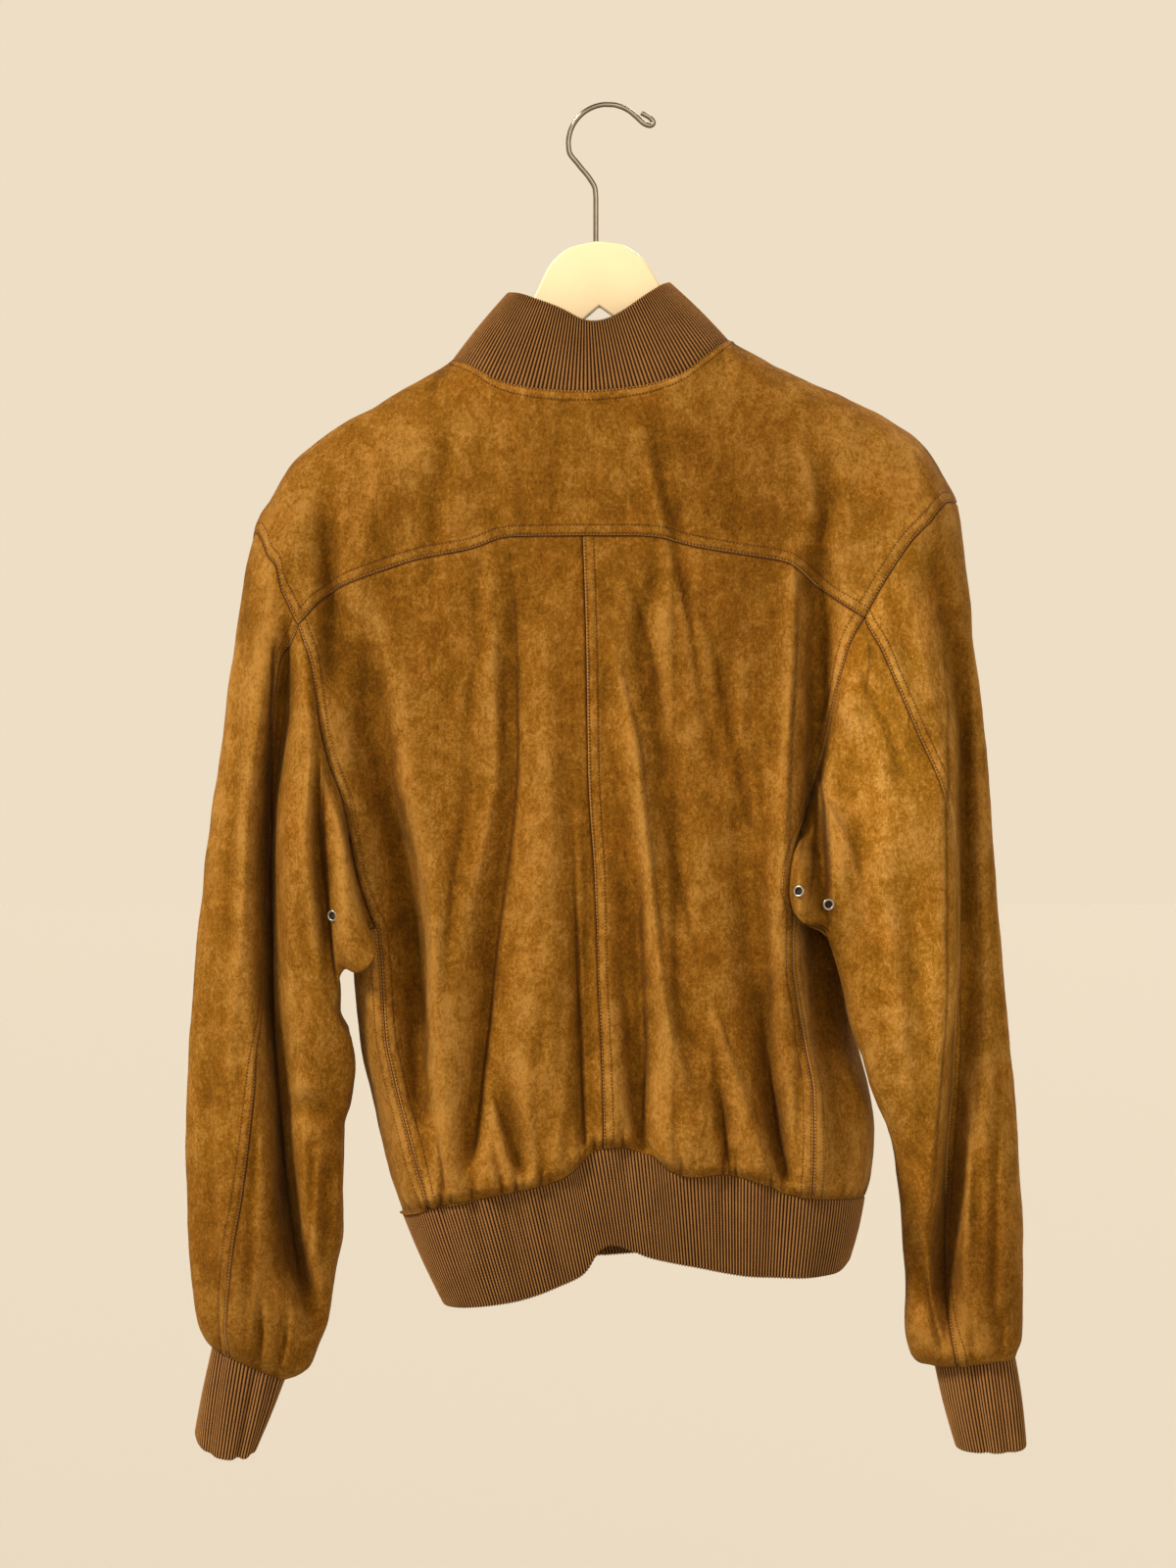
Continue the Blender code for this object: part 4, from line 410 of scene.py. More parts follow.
# Folds of the body: rows of (drop, x, height, reach to the left, reach to the right). A height below
# zero is a trough, and a short reach is a steep flank.
BODY_FOLDS = {
    "left shoulder fold": (BACK, (
        (245, -187, 0, 9, 9), (285, -186, -7, 8, 9), (326, -185, -11, 7, 8), (366, -184, -8, 8, 9),
        (410, -181, 0, 9, 9))),
    "left deep fold": (BACK, (
        (322, -178, 0, 14, 12), (366, -163, -12, 16, 12), (400, -154, -20, 18, 10), (460, -145, -27, 20, 9),
        (520, -133, -34, 24, 8), (566, -127, -37, 26, 7), (603, -125, -34, 24, 7), (650, -124, -26, 16, 8),
        (695, -122, -12, 10, 10), (738, -118, 0, 9, 9))),
    "left edge ridge": (BACK, (
        (440, -132, 0, 10, 14), (520, -119, 4, 8, 16), (603, -112, 6, 8, 16), (690, -108, 4, 10, 14),
        (735, -104, 0, 10, 10))),
    "left soft trough": (BACK, (
        (300, -62, 0, 12, 12), (380, -62, -3, 12, 12), (470, -64, -4, 12, 12), (560, -73, -7, 12, 14),
        (630, -80, -9, 10, 13), (690, -88, -8, 8, 10), (728, -92, -2, 6, 8))),
    "left middle ridge": (BACK, (
        (310, -45, 0, 20, 20), (450, -44, 4, 20, 22), (560, -46, 5, 18, 20), (660, -52, 5, 14, 16),
        (720, -50, 2, 10, 10))),
    "left low trough": (BACK, (
        (640, -72, 0, 6, 6), (672, -66, -7, 6, 9), (705, -58, -9, 6, 8), (727, -54, -2, 5, 5))),
    "centre trough": (BACK, (
        (420, -8, 0, 8, 8), (520, -10, -4, 8, 8), (600, -10, -6, 8, 7), (690, -10, -5, 8, 8),
        (712, -10, -1, 8, 8))),
    "centre right valley": (BACK, (
        (450, 12, 0, 12, 14), (530, 16, -6, 12, 12), (600, 20, -9, 12, 11), (660, 24, -13, 11, 8),
        (700, 26, -11, 8, 7), (712, 27, -3, 6, 6))),
    "long ridge": (BACK, (
        (360, 6, 0, 7, 8), (430, 17, 5, 7, 8), (500, 26, 7, 7, 9), (570, 33, 8, 7, 10), (640, 44, 6, 9, 10),
        (690, 56, 3, 10, 10), (715, 60, 0, 8, 8))),
    "long ridge shade": (BACK, (
        (300, 40, 0, 7, 9), (360, 24, -5, 7, 9), (430, 37, -6, 6, 9), (500, 45, -6, 6, 10),
        (560, 50, 0, 7, 9))),
    "yoke crease": (BACK, (
        (215, 33, 0, 6, 8), (245, 38, -3, 5, 8), (290, 46, -4, 5, 8), (335, 51, -2, 6, 8),
        (370, 54, 0, 8, 8))),
    "right soft trough": (BACK, (
        (330, 72, 0, 12, 14), (440, 84, -5, 14, 14), (540, 96, -10, 15, 12), (620, 106, -14, 14, 10),
        (680, 114, -16, 12, 8), (715, 119, -10, 8, 6), (733, 121, -2, 6, 6))),
    "right low trough": (BACK, (
        (650, 70, 0, 6, 7), (680, 78, -6, 7, 6), (705, 82, -7, 6, 6), (720, 84, -2, 6, 6))),
    "right edge ridge": (BACK, (
        (300, 124, 0, 9, 8), (345, 126, 5, 10, 6), (470, 121, 5, 10, 5), (590, 120, 4, 8, 5),
        (680, 122, 3, 6, 6), (720, 124, 0, 6, 6))),
    "right channel": (BACK, (
        (300, 146, 0, 10, 12), (325, 146, -14, 9, 11), (363, 144, -26, 9, 11), (430, 142, -32, 9, 14),
        (500, 140, -36, 8, 30), (560, 142, -34, 9, 44), (610, 146, -26, 12, 44), (660, 152, -12, 14, 30),
        (705, 158, 0, 14, 20))),
    "right yoke fold": (BACK, (
        (235, 152, 0, 8, 8), (270, 148, -5, 8, 8), (312, 142, -8, 8, 7), (345, 140, 0, 8, 8))),
    "right side ridge": (BACK, (
        (610, 136, 0, 9, 10), (660, 142, 8, 9, 10), (705, 143, 6, 9, 10), (735, 142, 0, 8, 8))),
    "front left fold": (FRONT, (
        (330, -112, 0, 28, 26), (450, -106, -8, 28, 24), (560, -100, -12, 26, 22), (660, -96, -9, 22, 20),
        (735, -92, 0, 18, 18))),
    "front left swell": (FRONT, (
        (400, -62, 0, 24, 24), (540, -56, 5, 24, 24), (670, -52, 5, 22, 22), (730, -50, 0, 20, 20))),
    "front right fold": (FRONT, (
        (330, 104, 0, 26, 28), (440, 102, -7, 26, 28), (560, 98, -11, 22, 26), (650, 94, -9, 20, 22),
        (730, 90, 0, 18, 18))),
    "front right swell": (FRONT, (
        (420, 58, 0, 24, 24), (560, 54, 6, 24, 24), (680, 50, 4, 22, 22), (728, 48, 0, 20, 20))),
}
# Smaller folds, in the same columns, and the share of their height that they get.
SOFT_SHARE = 0.8
SOFT_FOLDS = {
    "yoke ridge by the centre": (BACK, (
        (205, 20, 0, 6, 4), (235, 28, 2.4, 7, 3.5), (265, 36, 3, 7, 3), (292, 43, 2.6, 6, 2.6))),
    "yoke right ridge": (BACK, (
        (215, 128, 0, 8, 5), (245, 136, 3.2, 8, 4), (280, 142, 4.2, 8, 3.4), (312, 142, 3.6, 8, 3),
        (332, 142, 0, 8, 4))),
    "yoke left swell": (BACK, (
        (215, -72, 0, 9, 6), (245, -67, 2.4, 9, 5), (280, -62, 2.2, 8, 4), (300, -60, 0, 8, 5))),
    "yoke left shade": (BACK, (
        (205, -100, 0, 8, 7), (245, -108, -3, 8, 6), (290, -114, -2.6, 8, 5), (330, -118, 0, 8, 6))),
    "yoke middle shade": (BACK, (
        (200, -24, 0, 7, 6), (235, -32, -2.4, 7, 6), (280, -36, -1.4, 7, 6), (300, -36, 0, 7, 6))),
    "yoke outer ridge": (BACK, (
        (240, -150, 0, 7, 5), (275, -158, 2.4, 7, 4), (320, -164, 2, 6, 4), (350, -166, 0, 6, 5))),
    "left crease": (BACK, (
        (296, -63, 0, 5, 2.5), (330, -61, -2.4, 5, 2.4), (380, -59, -3.8, 6, 2.1), (430, -58, -4.2, 7, 2.1),
        (470, -60, -4, 8, 2.1), (520, -66, -4, 10, 2.1), (560, -71, -5, 12, 2.1), (620, -77, -5.6, 11, 2.1),
        (660, -82, -4.8, 8, 2.1), (700, -87, -3.4, 6, 2.2), (722, -91, 0, 5, 2.5))),
    "left crease branch": (BACK, (
        (360, -66, 0, 3, 3), (385, -67, -2.2, 3, 3), (425, -68, -2.6, 3, 4), (460, -71, 0, 4, 4))),
    "left swell by the crease": (BACK, (
        (300, -75, 0, 5, 5), (360, -76, 2, 6, 4), (440, -72, 2.8, 6, 3.4), (500, -81, 2.8, 7, 4),
        (560, -92, 2.4, 8, 5), (600, -96, 0, 8, 6))),
    "left soft shade": (BACK, (
        (300, -84, 0, 4, 4), (335, -86, -2.6, 4, 4), (365, -84, -3, 4, 5), (400, -89, -2.8, 4, 5),
        (445, -92, -2, 4, 5), (470, -92, -2.2, 4, 4), (500, -97, -3, 4, 4), (545, -103, -2.8, 4, 5),
        (590, -107, -2, 4, 5), (620, -108, 0, 4, 4))),
    "left short line": (BACK, (
        (470, -57, 0, 2.5, 2.5), (495, -56, -1.6, 2.5, 2.5), (525, -55, 0, 2.5, 2.5))),
    "left armhole filling": (BACK, (
        (318, -170, 0, 9, 14), (350, -164, 6, 10, 13), (400, -154, 9, 12, 12), (450, -146, 6, 12, 10),
        (500, -138, 0, 12, 10))),
    "right channel filling": (BACK, (
        (305, 148, 0, 9, 11), (330, 146, 7, 9, 11), (363, 145, 11, 9, 11), (430, 143, 11, 9, 12),
        (480, 141, 6, 9, 20), (525, 141, 0, 9, 24))),
    "centre left valley": (BACK, (
        (430, -24, 0, 5, 3), (500, -21, -3, 5, 2.4), (560, -19, -4.2, 5, 2.2), (620, -17, -5.2, 5, 2.2),
        (670, -15, -6, 5, 2), (694, -14, -5.4, 4, 2), (703, -13, -2, 4, 2.4))),
    "centre left swell": (BACK, (
        (320, -40, 0, 8, 7), (400, -38, 2, 9, 7), (520, -36, 2.2, 9, 7), (640, -36, 1.8, 8, 6),
        (690, -34, 0, 7, 6))),
    "left V": (BACK, (
        (655, -76, 0, 2.5, 3), (672, -72, -3, 2.5, 3.4), (690, -65, -4.2, 3, 3.6), (708, -60, -4.2, 3, 3),
        (722, -53, -2.6, 3, 3), (729, -50, 0, 3, 3))),
    "left V outer": (BACK, (
        (690, -76, 0, 3, 3), (705, -74, -2.6, 3, 2.6), (722, -70, -3.2, 3, 2.6), (733, -68, 0, 3, 3))),
    "left hem line": (BACK, (
        (680, -114, 0, 3, 3), (700, -112, -3.4, 3, 2.4), (725, -109, -4, 3, 2.2), (739, -108, -1.5, 3, 3))),
    "left pale swell": (BACK, (
        (540, -116, 0, 8, 7), (600, -115, 2, 8, 7), (660, -114, 2, 7, 6), (700, -117, 0, 6, 6))),
    "low middle shade": (BACK, (
        (600, -42, 0, 4, 4), (635, -43, -2.2, 4, 4), (660, -46, -1.4, 4, 4), (690, -45, -2.8, 4, 3.4),
        (722, -40, -2, 4, 3.4), (731, -39, 0, 4, 4))),
    "low middle swell": (BACK, (
        (630, -28, 0, 6, 5), (680, -29, 2.8, 6, 4), (708, -31, 3, 6, 4), (722, -31, 0, 6, 5))),
    "ridge line": (BACK, (
        (312, 12, 0, 2.5, 3), (330, 18, -2, 2.4, 3), (348, 24, -3.6, 2.4, 3), (375, 31, -3.8, 2.4, 3.2),
        (405, 36, -3.6, 2.6, 3.4), (435, 40, -3, 2.6, 3.4), (465, 45, -2, 2.8, 3), (482, 48, 0, 3, 3))),
    "ridge line low": (BACK, (
        (485, 43, 0, 2.5, 3), (505, 46, -2.2, 2.4, 3), (530, 52, -2.8, 2.4, 3), (560, 59, -2.2, 2.8, 3),
        (584, 64, 0, 3, 3))),
    "long ridge crest": (BACK, (
        (365, 6, 0, 3, 3), (385, 10, 2.2, 4, 2.4), (410, 16, 3, 4, 2.4), (440, 22, 3.6, 4, 2.4),
        (480, 26, 3.8, 4, 2.6), (520, 30, 4, 4.4, 2.6), (560, 34, 4, 4.4, 2.6), (600, 39, 3.6, 4.4, 2.8),
        (640, 49, 3, 4.4, 2.8), (668, 57, 0, 5, 4))),
    "seam ridge": (BACK, (
        (298, 45, 0, 4, 2.4), (315, 47, 3, 4, 2), (340, 51, 3, 4, 2.2), (365, 55, 1.6, 4, 2.8),
        (382, 58, 0, 4, 4))),
    "fan line": (BACK, (
        (300, 52, 0, 2.6, 3), (320, 54, -2.2, 2.4, 3), (350, 58, -2.4, 2.4, 3), (385, 63, -2.8, 2.6, 3),
        (420, 69, -2.6, 2.6, 3), (450, 76, -1.6, 3, 3), (466, 79, 0, 3, 3))),
    "fan line two": (BACK, (
        (320, 58, 0, 3, 3), (345, 66, -2.2, 3, 3), (375, 76, -3, 2.8, 3), (405, 81, -3, 2.8, 3),
        (440, 88, -3.6, 3, 3.2), (470, 95, -3.8, 3.2, 3.2), (500, 100, -3.6, 3.2, 3.6),
        (540, 105, -3, 3.6, 4), (590, 109, -3.2, 4, 3.8), (640, 110, -4.4, 5, 2.8), (680, 114, -6, 6, 2.2),
        (712, 120, -6, 5, 2.2), (728, 123, -2, 4, 3))),
    "fan line three": (BACK, (
        (400, 95, 0, 2.6, 3), (420, 98, -2, 2.6, 3), (455, 103, -2.6, 2.8, 3), (490, 107, -2.2, 2.8, 3),
        (522, 109, 0, 3, 3))),
    "fan swell": (BACK, (
        (330, 88, 0, 8, 6), (400, 92, 2.2, 8, 5), (470, 84, 2.4, 8, 5), (560, 84, 2, 8, 6),
        (620, 88, 0, 8, 6))),
    "edge ridge crest": (BACK, (
        (296, 126, 0, 4, 3), (320, 127, 2.6, 5, 2.4), (360, 126, 3.4, 5.5, 2.2), (400, 124, 3.6, 5.5, 2.2),
        (440, 122, 3.8, 5.5, 2.2), (480, 120, 3.8, 5.5, 2.4), (520, 118, 3.6, 5.5, 2.6),
        (560, 116, 3.4, 5.5, 2.8), (600, 117, 3, 5.5, 3), (640, 119, 2.4, 5.5, 4), (672, 121, 0, 6, 5))),
    "low ridge": (BACK, (
        (608, 72, 0, 5, 3), (630, 79, 3.2, 5, 2.6), (655, 88, 3.8, 5, 3), (690, 99, 3.6, 6, 3.6),
        (718, 110, 1.6, 6, 5), (729, 114, 0, 6, 6))),
    "low crease": (BACK, (
        (622, 70, 0, 3, 3), (645, 74, -2.6, 3, 3), (680, 79, -4.8, 3.2, 2.4), (705, 81, -5, 3, 2.2),
        (717, 82, -1.5, 3, 3))),
    "low crease short": (BACK, (
        (698, 88, 0, 2.6, 2.6), (710, 88, -3.8, 2.6, 2.4), (721, 88, -1.5, 2.6, 2.6))),
    "V left arm": (BACK, (
        (555, 6, 0, 3, 4), (600, 12, -3, 3, 4), (640, 15, -4.4, 3, 3.6), (680, 20, -5, 3, 3),
        (698, 24, -4.4, 3, 3), (705, 25, -2, 3, 3))),
    "V right arm": (BACK, (
        (525, 22, 0, 4, 2.4), (560, 24, -3, 5, 2.1), (600, 26, -4, 6, 2.1), (640, 27, -4.6, 6, 2.1),
        (680, 26, -4.2, 5, 2.2), (701, 26, 0, 4, 3))),
    "hem swell right": (BACK, (
        (680, 50, 0, 12, 12), (704, 52, 3, 12, 12), (716, 52, 0, 12, 12))),
    "hem swell far right": (BACK, (
        (690, 104, 0, 9, 7), (716, 106, 3, 9, 6), (728, 107, 0, 9, 7))),
    "side line": (BACK, (
        (600, 128, 0, 3, 3), (640, 131, -2, 3, 3), (690, 129, -2.6, 3, 3), (730, 128, 0, 3, 3))),
    "front left streak": (FRONT, (
        (300, -76, 0, 5, 3), (420, -82, -3.6, 6, 3), (560, -80, -4.2, 8, 2.6), (700, -74, -3, 6, 2.6),
        (735, -72, 0, 5, 3))),
    "front left line": (FRONT, (
        (320, -44, 0, 3, 4), (420, -40, -2.6, 3, 4), (520, -46, -3, 3, 4), (620, -50, -2.4, 3, 4),
        (690, -50, 0, 3, 4))),
    "front left ridge": (FRONT, (
        (340, -62, 0, 5, 3), (440, -60, 3, 5, 3), (560, -63, 3.4, 5, 3), (660, -62, 2.6, 5, 3.4),
        (725, -60, 0, 5, 4))),
    "front left outer": (FRONT, (
        (420, -134, 0, 8, 5), (540, -130, -5, 8, 3), (650, -126, -5.4, 8, 3), (728, -120, 0, 7, 4))),
    "front right streak": (FRONT, (
        (300, 74, 0, 3, 5), (430, 80, -3.8, 3, 8), (580, 76, -4, 2.6, 8), (700, 70, -3, 2.6, 6),
        (730, 68, 0, 3, 5))),
    "front right line": (FRONT, (
        (330, 46, 0, 4, 3), (430, 42, -2.4, 4, 3), (540, 48, -3, 4, 3), (630, 46, -2.4, 4, 3),
        (690, 44, 0, 4, 3))),
    "front right ridge": (FRONT, (
        (330, 62, 0, 3, 5), (440, 60, 3, 3, 5), (560, 62, 3.4, 3, 5), (660, 58, 2.8, 3, 5),
        (725, 56, 0, 4, 5))),
    "front right outer": (FRONT, (
        (400, 130, 0, 5, 8), (540, 128, -5, 3, 9), (660, 130, -5.6, 3, 8), (728, 134, 0, 4, 7))),
    "front right low V": (FRONT, (
        (620, 100, 0, 3, 3), (660, 96, -3, 3, 3), (700, 92, -4.6, 3, 3), (732, 90, -2, 3, 3))),
    "front left low V": (FRONT, (
        (630, -96, 0, 3, 3), (668, -92, -3.2, 3, 3), (705, -86, -4.4, 3, 3), (736, -84, -2, 3, 3))),
}
GATHERS = {  # X of each gather above the waist seam
    BACK: (-110, -89, -69, -59, -43, 12, 79, 88, 111),
    FRONT: (-118, -96, -71, -48, -27, 30, 52, 74, 95, 121, 146),
}
GATHER_DEPTH, GATHER_REACH, GATHER_HEIGHT = 2.6, 3.6, 26.0
TUCK_DEPTH, TUCK_HEIGHT = 9.0, 11.0  # how the suede turns in to the bands
FINE_GATHER_PITCH = 7.0
FOLDS_FADE, FINE_FADE = 6.0, 5.0  # distance from the waist seam at which folds and small gathers die out


def ease(t):
    t = np.clip(t, 0.0, 1.0)
    return t * t * (3 - 2 * t)


def bell(x, middle, reach):
    return np.exp(-(((x - middle) / reach) ** 2))


def fold_height(folds, x, drop, side):
    """How far the folds lift the wall off its plain form at these points."""
    total = np.zeros(np.broadcast(x, drop).shape)
    for which, rows in folds.values():
        drops, middle, height, left, right = np.array(rows, float).T
        across = x - glide(drop, drops, middle)
        reach = np.where(across < 0, glide(drop, drops, left), glide(drop, drops, right))
        total += np.where(side == which, glide(drop, drops, height) * bell(across, 0, reach), 0.0)
    return total


def table_line(rows, x):
    """Drop at X on a line given as rows of (drop, x)."""
    drops, xs = np.array(rows, float).T
    return glide(x, xs, drops)


def waist_drop(x, side):
    return np.where(side == BACK, table_line(WAIST[BACK], x), table_line(WAIST[FRONT], x))


def fine_gathers():
    """Small uneven tucks above the waist seam: X, depth, half width and height of each."""
    chance = np.random.default_rng(11)
    x = np.arange(-150, 180, FINE_GATHER_PITCH)
    x = x + chance.uniform(-3, 3, len(x))
    return np.stack([x, chance.uniform(0.3, 3.0, len(x)), chance.uniform(1.3, 2.6, len(x)),
                     chance.uniform(9, 26, len(x))], axis=1)


FINE_GATHERS = {BACK: fine_gathers(), FRONT: fine_gathers()[::-1] * (-1, 1, 1, 1)}


def section(drop, column):
    """A measure of the body's section at this drop."""
    return glide(drop, SECTIONS["drop"], SECTIONS[column])


def ridge_drop(x):
    return glide(x, RIDGE["x"], RIDGE["drop"])


def body_depth(x, drop, side):
    """Distance of the body's wall from the middle plane."""
    radius = section(drop, "side")
    depth = np.where(side == BACK, section(drop, "back"), section(drop, "front"))
    past = np.maximum(section(drop, "left") + radius - x, x - section(drop, "right") + radius)
    turn = np.sqrt(1 - np.clip(past / radius, 0, 1) ** 2)
    top = np.sqrt(1 - (1 - np.clip((drop - ridge_drop(x)) / SHOULDER_ROUND, 0, 1)) ** 2)
    above_waist = waist_drop(x, side) - drop
    lift = fold_height(BODY_FOLDS, x, drop, side) + SOFT_SHARE * fold_height(SOFT_FOLDS, x, drop, side)
    lift *= ease(above_waist / FOLDS_FADE)
    for which in (BACK, FRONT):
        fade = ease(1 - above_waist / GATHER_HEIGHT)
        for middle in GATHERS[which]:
            lift -= np.where(side == which, GATHER_DEPTH * fade * bell(x, middle, GATHER_REACH), 0)
        for middle, deep, reach, height in FINE_GATHERS[which]:
            fade = ease(1 - above_waist / height) * ease(above_waist / FINE_FADE)
            lift -= np.where(side == which, deep * fade * bell(x, middle, reach), 0)
    lift -= TUCK_DEPTH * ease(1 - above_waist / TUCK_HEIGHT) ** 2
    return (depth + lift) * turn * top


def body_point(x, drop, side, lap=0.0):
    """The point on the body's outer face, moved out by the lap's stand-off."""
    y = side * (body_depth(x, drop, side) + lap)
    return np.stack(np.broadcast_arrays(x, y, -drop), axis=-1).astype(float)


def ends_of(drop, hand):
    """Half width without its rounded side, the side's radius and the length round it, on one hand's side."""
    edge, radius = np.abs(section(drop, hand)), section(drop, "side")
    return edge - radius, radius, 1.5 * radius


def unroll(x, drop, side, hand):
    """Distance round the body from the centre front to a point, on one hand's side."""
    flat, radius, length = ends_of(drop, hand)
    turn = np.arcsin(np.clip((np.abs(x) - flat) / radius, 0, 1)) / (math.pi / 2) * length
    reach = np.where(np.abs(x) < flat, np.abs(x), flat + turn)
    return np.where(side == FRONT, reach, 2 * (flat + length) - reach)


def roll(reach, drop, hand):
    """X and side of the point at this distance round the body from the centre front."""
    flat, radius, length = ends_of(drop, hand)
    side = np.where(reach <= flat + length, FRONT, BACK)
    reach = np.where(side == FRONT, reach, 2 * (flat + length) - reach)
    turned = flat + radius * np.sin(np.clip((reach - flat) / length, 0, 1) * math.pi / 2)
    x = np.where(reach < flat, reach, turned)
    return x * (-1 if hand == "left" else 1), side


def over_shoulder(x, roll_by):
    """Drop and side of a point rolled back (+) or forward (-) from the shoulder line."""
    angle = np.abs(roll_by) / SHOULDER_ROLL
    below = np.where(angle < math.pi / 2, SHOULDER_ROUND * (1 - np.cos(np.minimum(angle, math.pi / 2))),
                     SHOULDER_ROUND + SHOULDER_ROLL * (angle - math.pi / 2))
    return ridge_drop(x) + below, np.where(roll_by >= 0, BACK, FRONT)


def roll_of(x, drop):
    """How far round from the shoulder line a point of the back at this drop lies."""
    below = np.maximum(drop - ridge_drop(x), 0)
    turned = SHOULDER_ROLL * np.arccos(np.clip(1 - below / SHOULDER_ROUND, -1, 1))
    return np.where(below < SHOULDER_ROUND, turned,
                    SHOULDER_ROLL * math.pi / 2 + below - SHOULDER_ROUND)


def shares_of(length, step, start=True, end=True):
    """Shares of a line for rows this far apart, close together beside a seam at its start or its end."""
    head = list(FINE_STOPS) if start else [0.0]
    tail = [length - stop for stop in FINE_STOPS[::-1]] if end else [length]
    between = max(int(round((tail[0] - head[-1]) / step)), 1)
    middle = np.linspace(head[-1], tail[0], between + 1)[1:-1]
    return np.concatenate([head, middle, tail]) / length


def fill(left, right, top, bottom, fade=1.0):
    """Rows and columns between four border lines, in flat coordinates.

    The rows lose the top line's shape with the given power of their share of the way down.
    """
    top_share, bottom_share = along(top) / along(top)[-1], along(bottom) / along(bottom)[-1]
    downs = (along(left) / along(left)[-1] + along(right) / along(right)[-1]) / 2
    grid = np.zeros((len(left), len(top), 2))
    for i, down in enumerate(downs):
        share = top_share * (1 - down) + bottom_share * down
        upper, lower = between(share, top_share, top), between(share, bottom_share, bottom)
        share = share[:, None]
        upper -= top[0] * (1 - share) + top[-1] * share
        lower -= bottom[0] * (1 - share) + bottom[-1] * share
        grid[i] = left[i] * (1 - share) + right[i] * share + (1 - down) ** fade * upper + down * lower
    grid[0], grid[-1], grid[:, 0], grid[:, -1] = top, bottom, left, right
    return grid


def swap(rows):
    """Rows of (drop, x) as (x, drop)."""
    return np.asarray(rows, float)[:, ::-1]


def mirrored(line, reach):
    """A line with so many more points before and after it, turned about its ends."""
    return 2 * line[0] - line[reach:0:-1], line, 2 * line[-1] - line[-2:-reach - 2:-1]


def averaged(before, line, after, weights):
    """A line of points, each drawn toward its neighbours by these weights."""
    padded = np.vstack([before, line, after])
    return np.stack([np.convolve(values, weights, mode="valid") for values in padded.T], axis=1)


def rounded(line, reach):
    """A flat line cut every millimetre, with its corners rounded off over this reach and its ends kept."""
    fine = resample(line, np.linspace(0, 1, int(along(line)[-1]) + 1))
    weights = np.hanning(2 * reach + 3)[1:-1]
    return averaged(*mirrored(fine, reach), weights / weights.sum())


def lap_of(x, hand):
    """How far a front stands off, the left one where it laps over the right."""
    return LAP * ease((x - LAP_START) / LAP_RISE) if hand == "left" else 0.0


# The yoke: its armhole edges and its neck edge, rolled flat over the shoulders, then its seam to the backs.
SEAM_ROUNDING = 10
YOKE_STEP, BACK_STEP, FRONT_STEP, ROW_STEP = 2.35, 1.95, 3.9, 3.4
ARMHOLE_LENGTH, SIDE_LENGTH, YOKE_LENGTH, SHOULDER_LENGTH = 212, 200, 125, 138
YOKE_ROWS = shares_of(YOKE_LENGTH, YOKE_STEP)
SHOULDER_SHARES = shares_of(SHOULDER_LENGTH, YOKE_STEP, end=False)
ARMHOLE_ROWS = shares_of(ARMHOLE_LENGTH, ROW_STEP, end=False)
SIDE_ROWS = shares_of(SIDE_LENGTH, ROW_STEP, start=False)
panels, rolled = {}, {}
for hand in ("left", "right"):
    edge = resample(swap(ARMHOLE_YOKE[hand]), 5)
    edge = np.stack([edge[:, 0], roll_of(edge[:, 0], edge[:, 1])], axis=1)
    edge[0, 1] = 0.0
    rolled[hand] = resample(np.vstack([[edge[0, 0] * 0.99, SHOULDER_SEAM], edge]), YOKE_ROWS)
neck = swap(NECK_BACK)
neck = np.stack([neck[:, 0], roll_of(neck[:, 0], neck[:, 1])], axis=1)
neck = resample(np.vstack([[NECK_ENDS[0], SHOULDER_SEAM], neck, [NECK_ENDS[1], SHOULDER_SEAM]]), 96)
shoulder = {hand: rolled[hand][0] + SHOULDER_SHARES[:, None] * (neck[end] - rolled[hand][0])
            for hand, end in (("left", 0), ("right", -1))}
top = np.vstack([shoulder["left"][:-1], neck, shoulder["right"][::-1][1:]])
seam = rounded(swap(YOKE_SEAM), SEAM_ROUNDING)
split = int(np.argmin(np.abs(seam[:, 0] - CENTRE_SEAM[0][1])))
upper_edge = {"left": resample(seam[:split + 1], shares_of(195, BACK_STEP)),
              "right": resample(seam[split:], shares_of(200, BACK_STEP))}
yoke_seam = resample(seam, along(top) / along(top)[-1])
bottom = np.stack([yoke_seam[:, 0], roll_of(yoke_seam[:, 0], yoke_seam[:, 1])], axis=1)
grid = fill(rolled["left"], rolled["right"], top, bottom, fade=2.0)
drop, side = over_shoulder(grid[..., 0], grid[..., 1])
panels["back_yoke"] = body_point(grid[..., 0], drop, side)

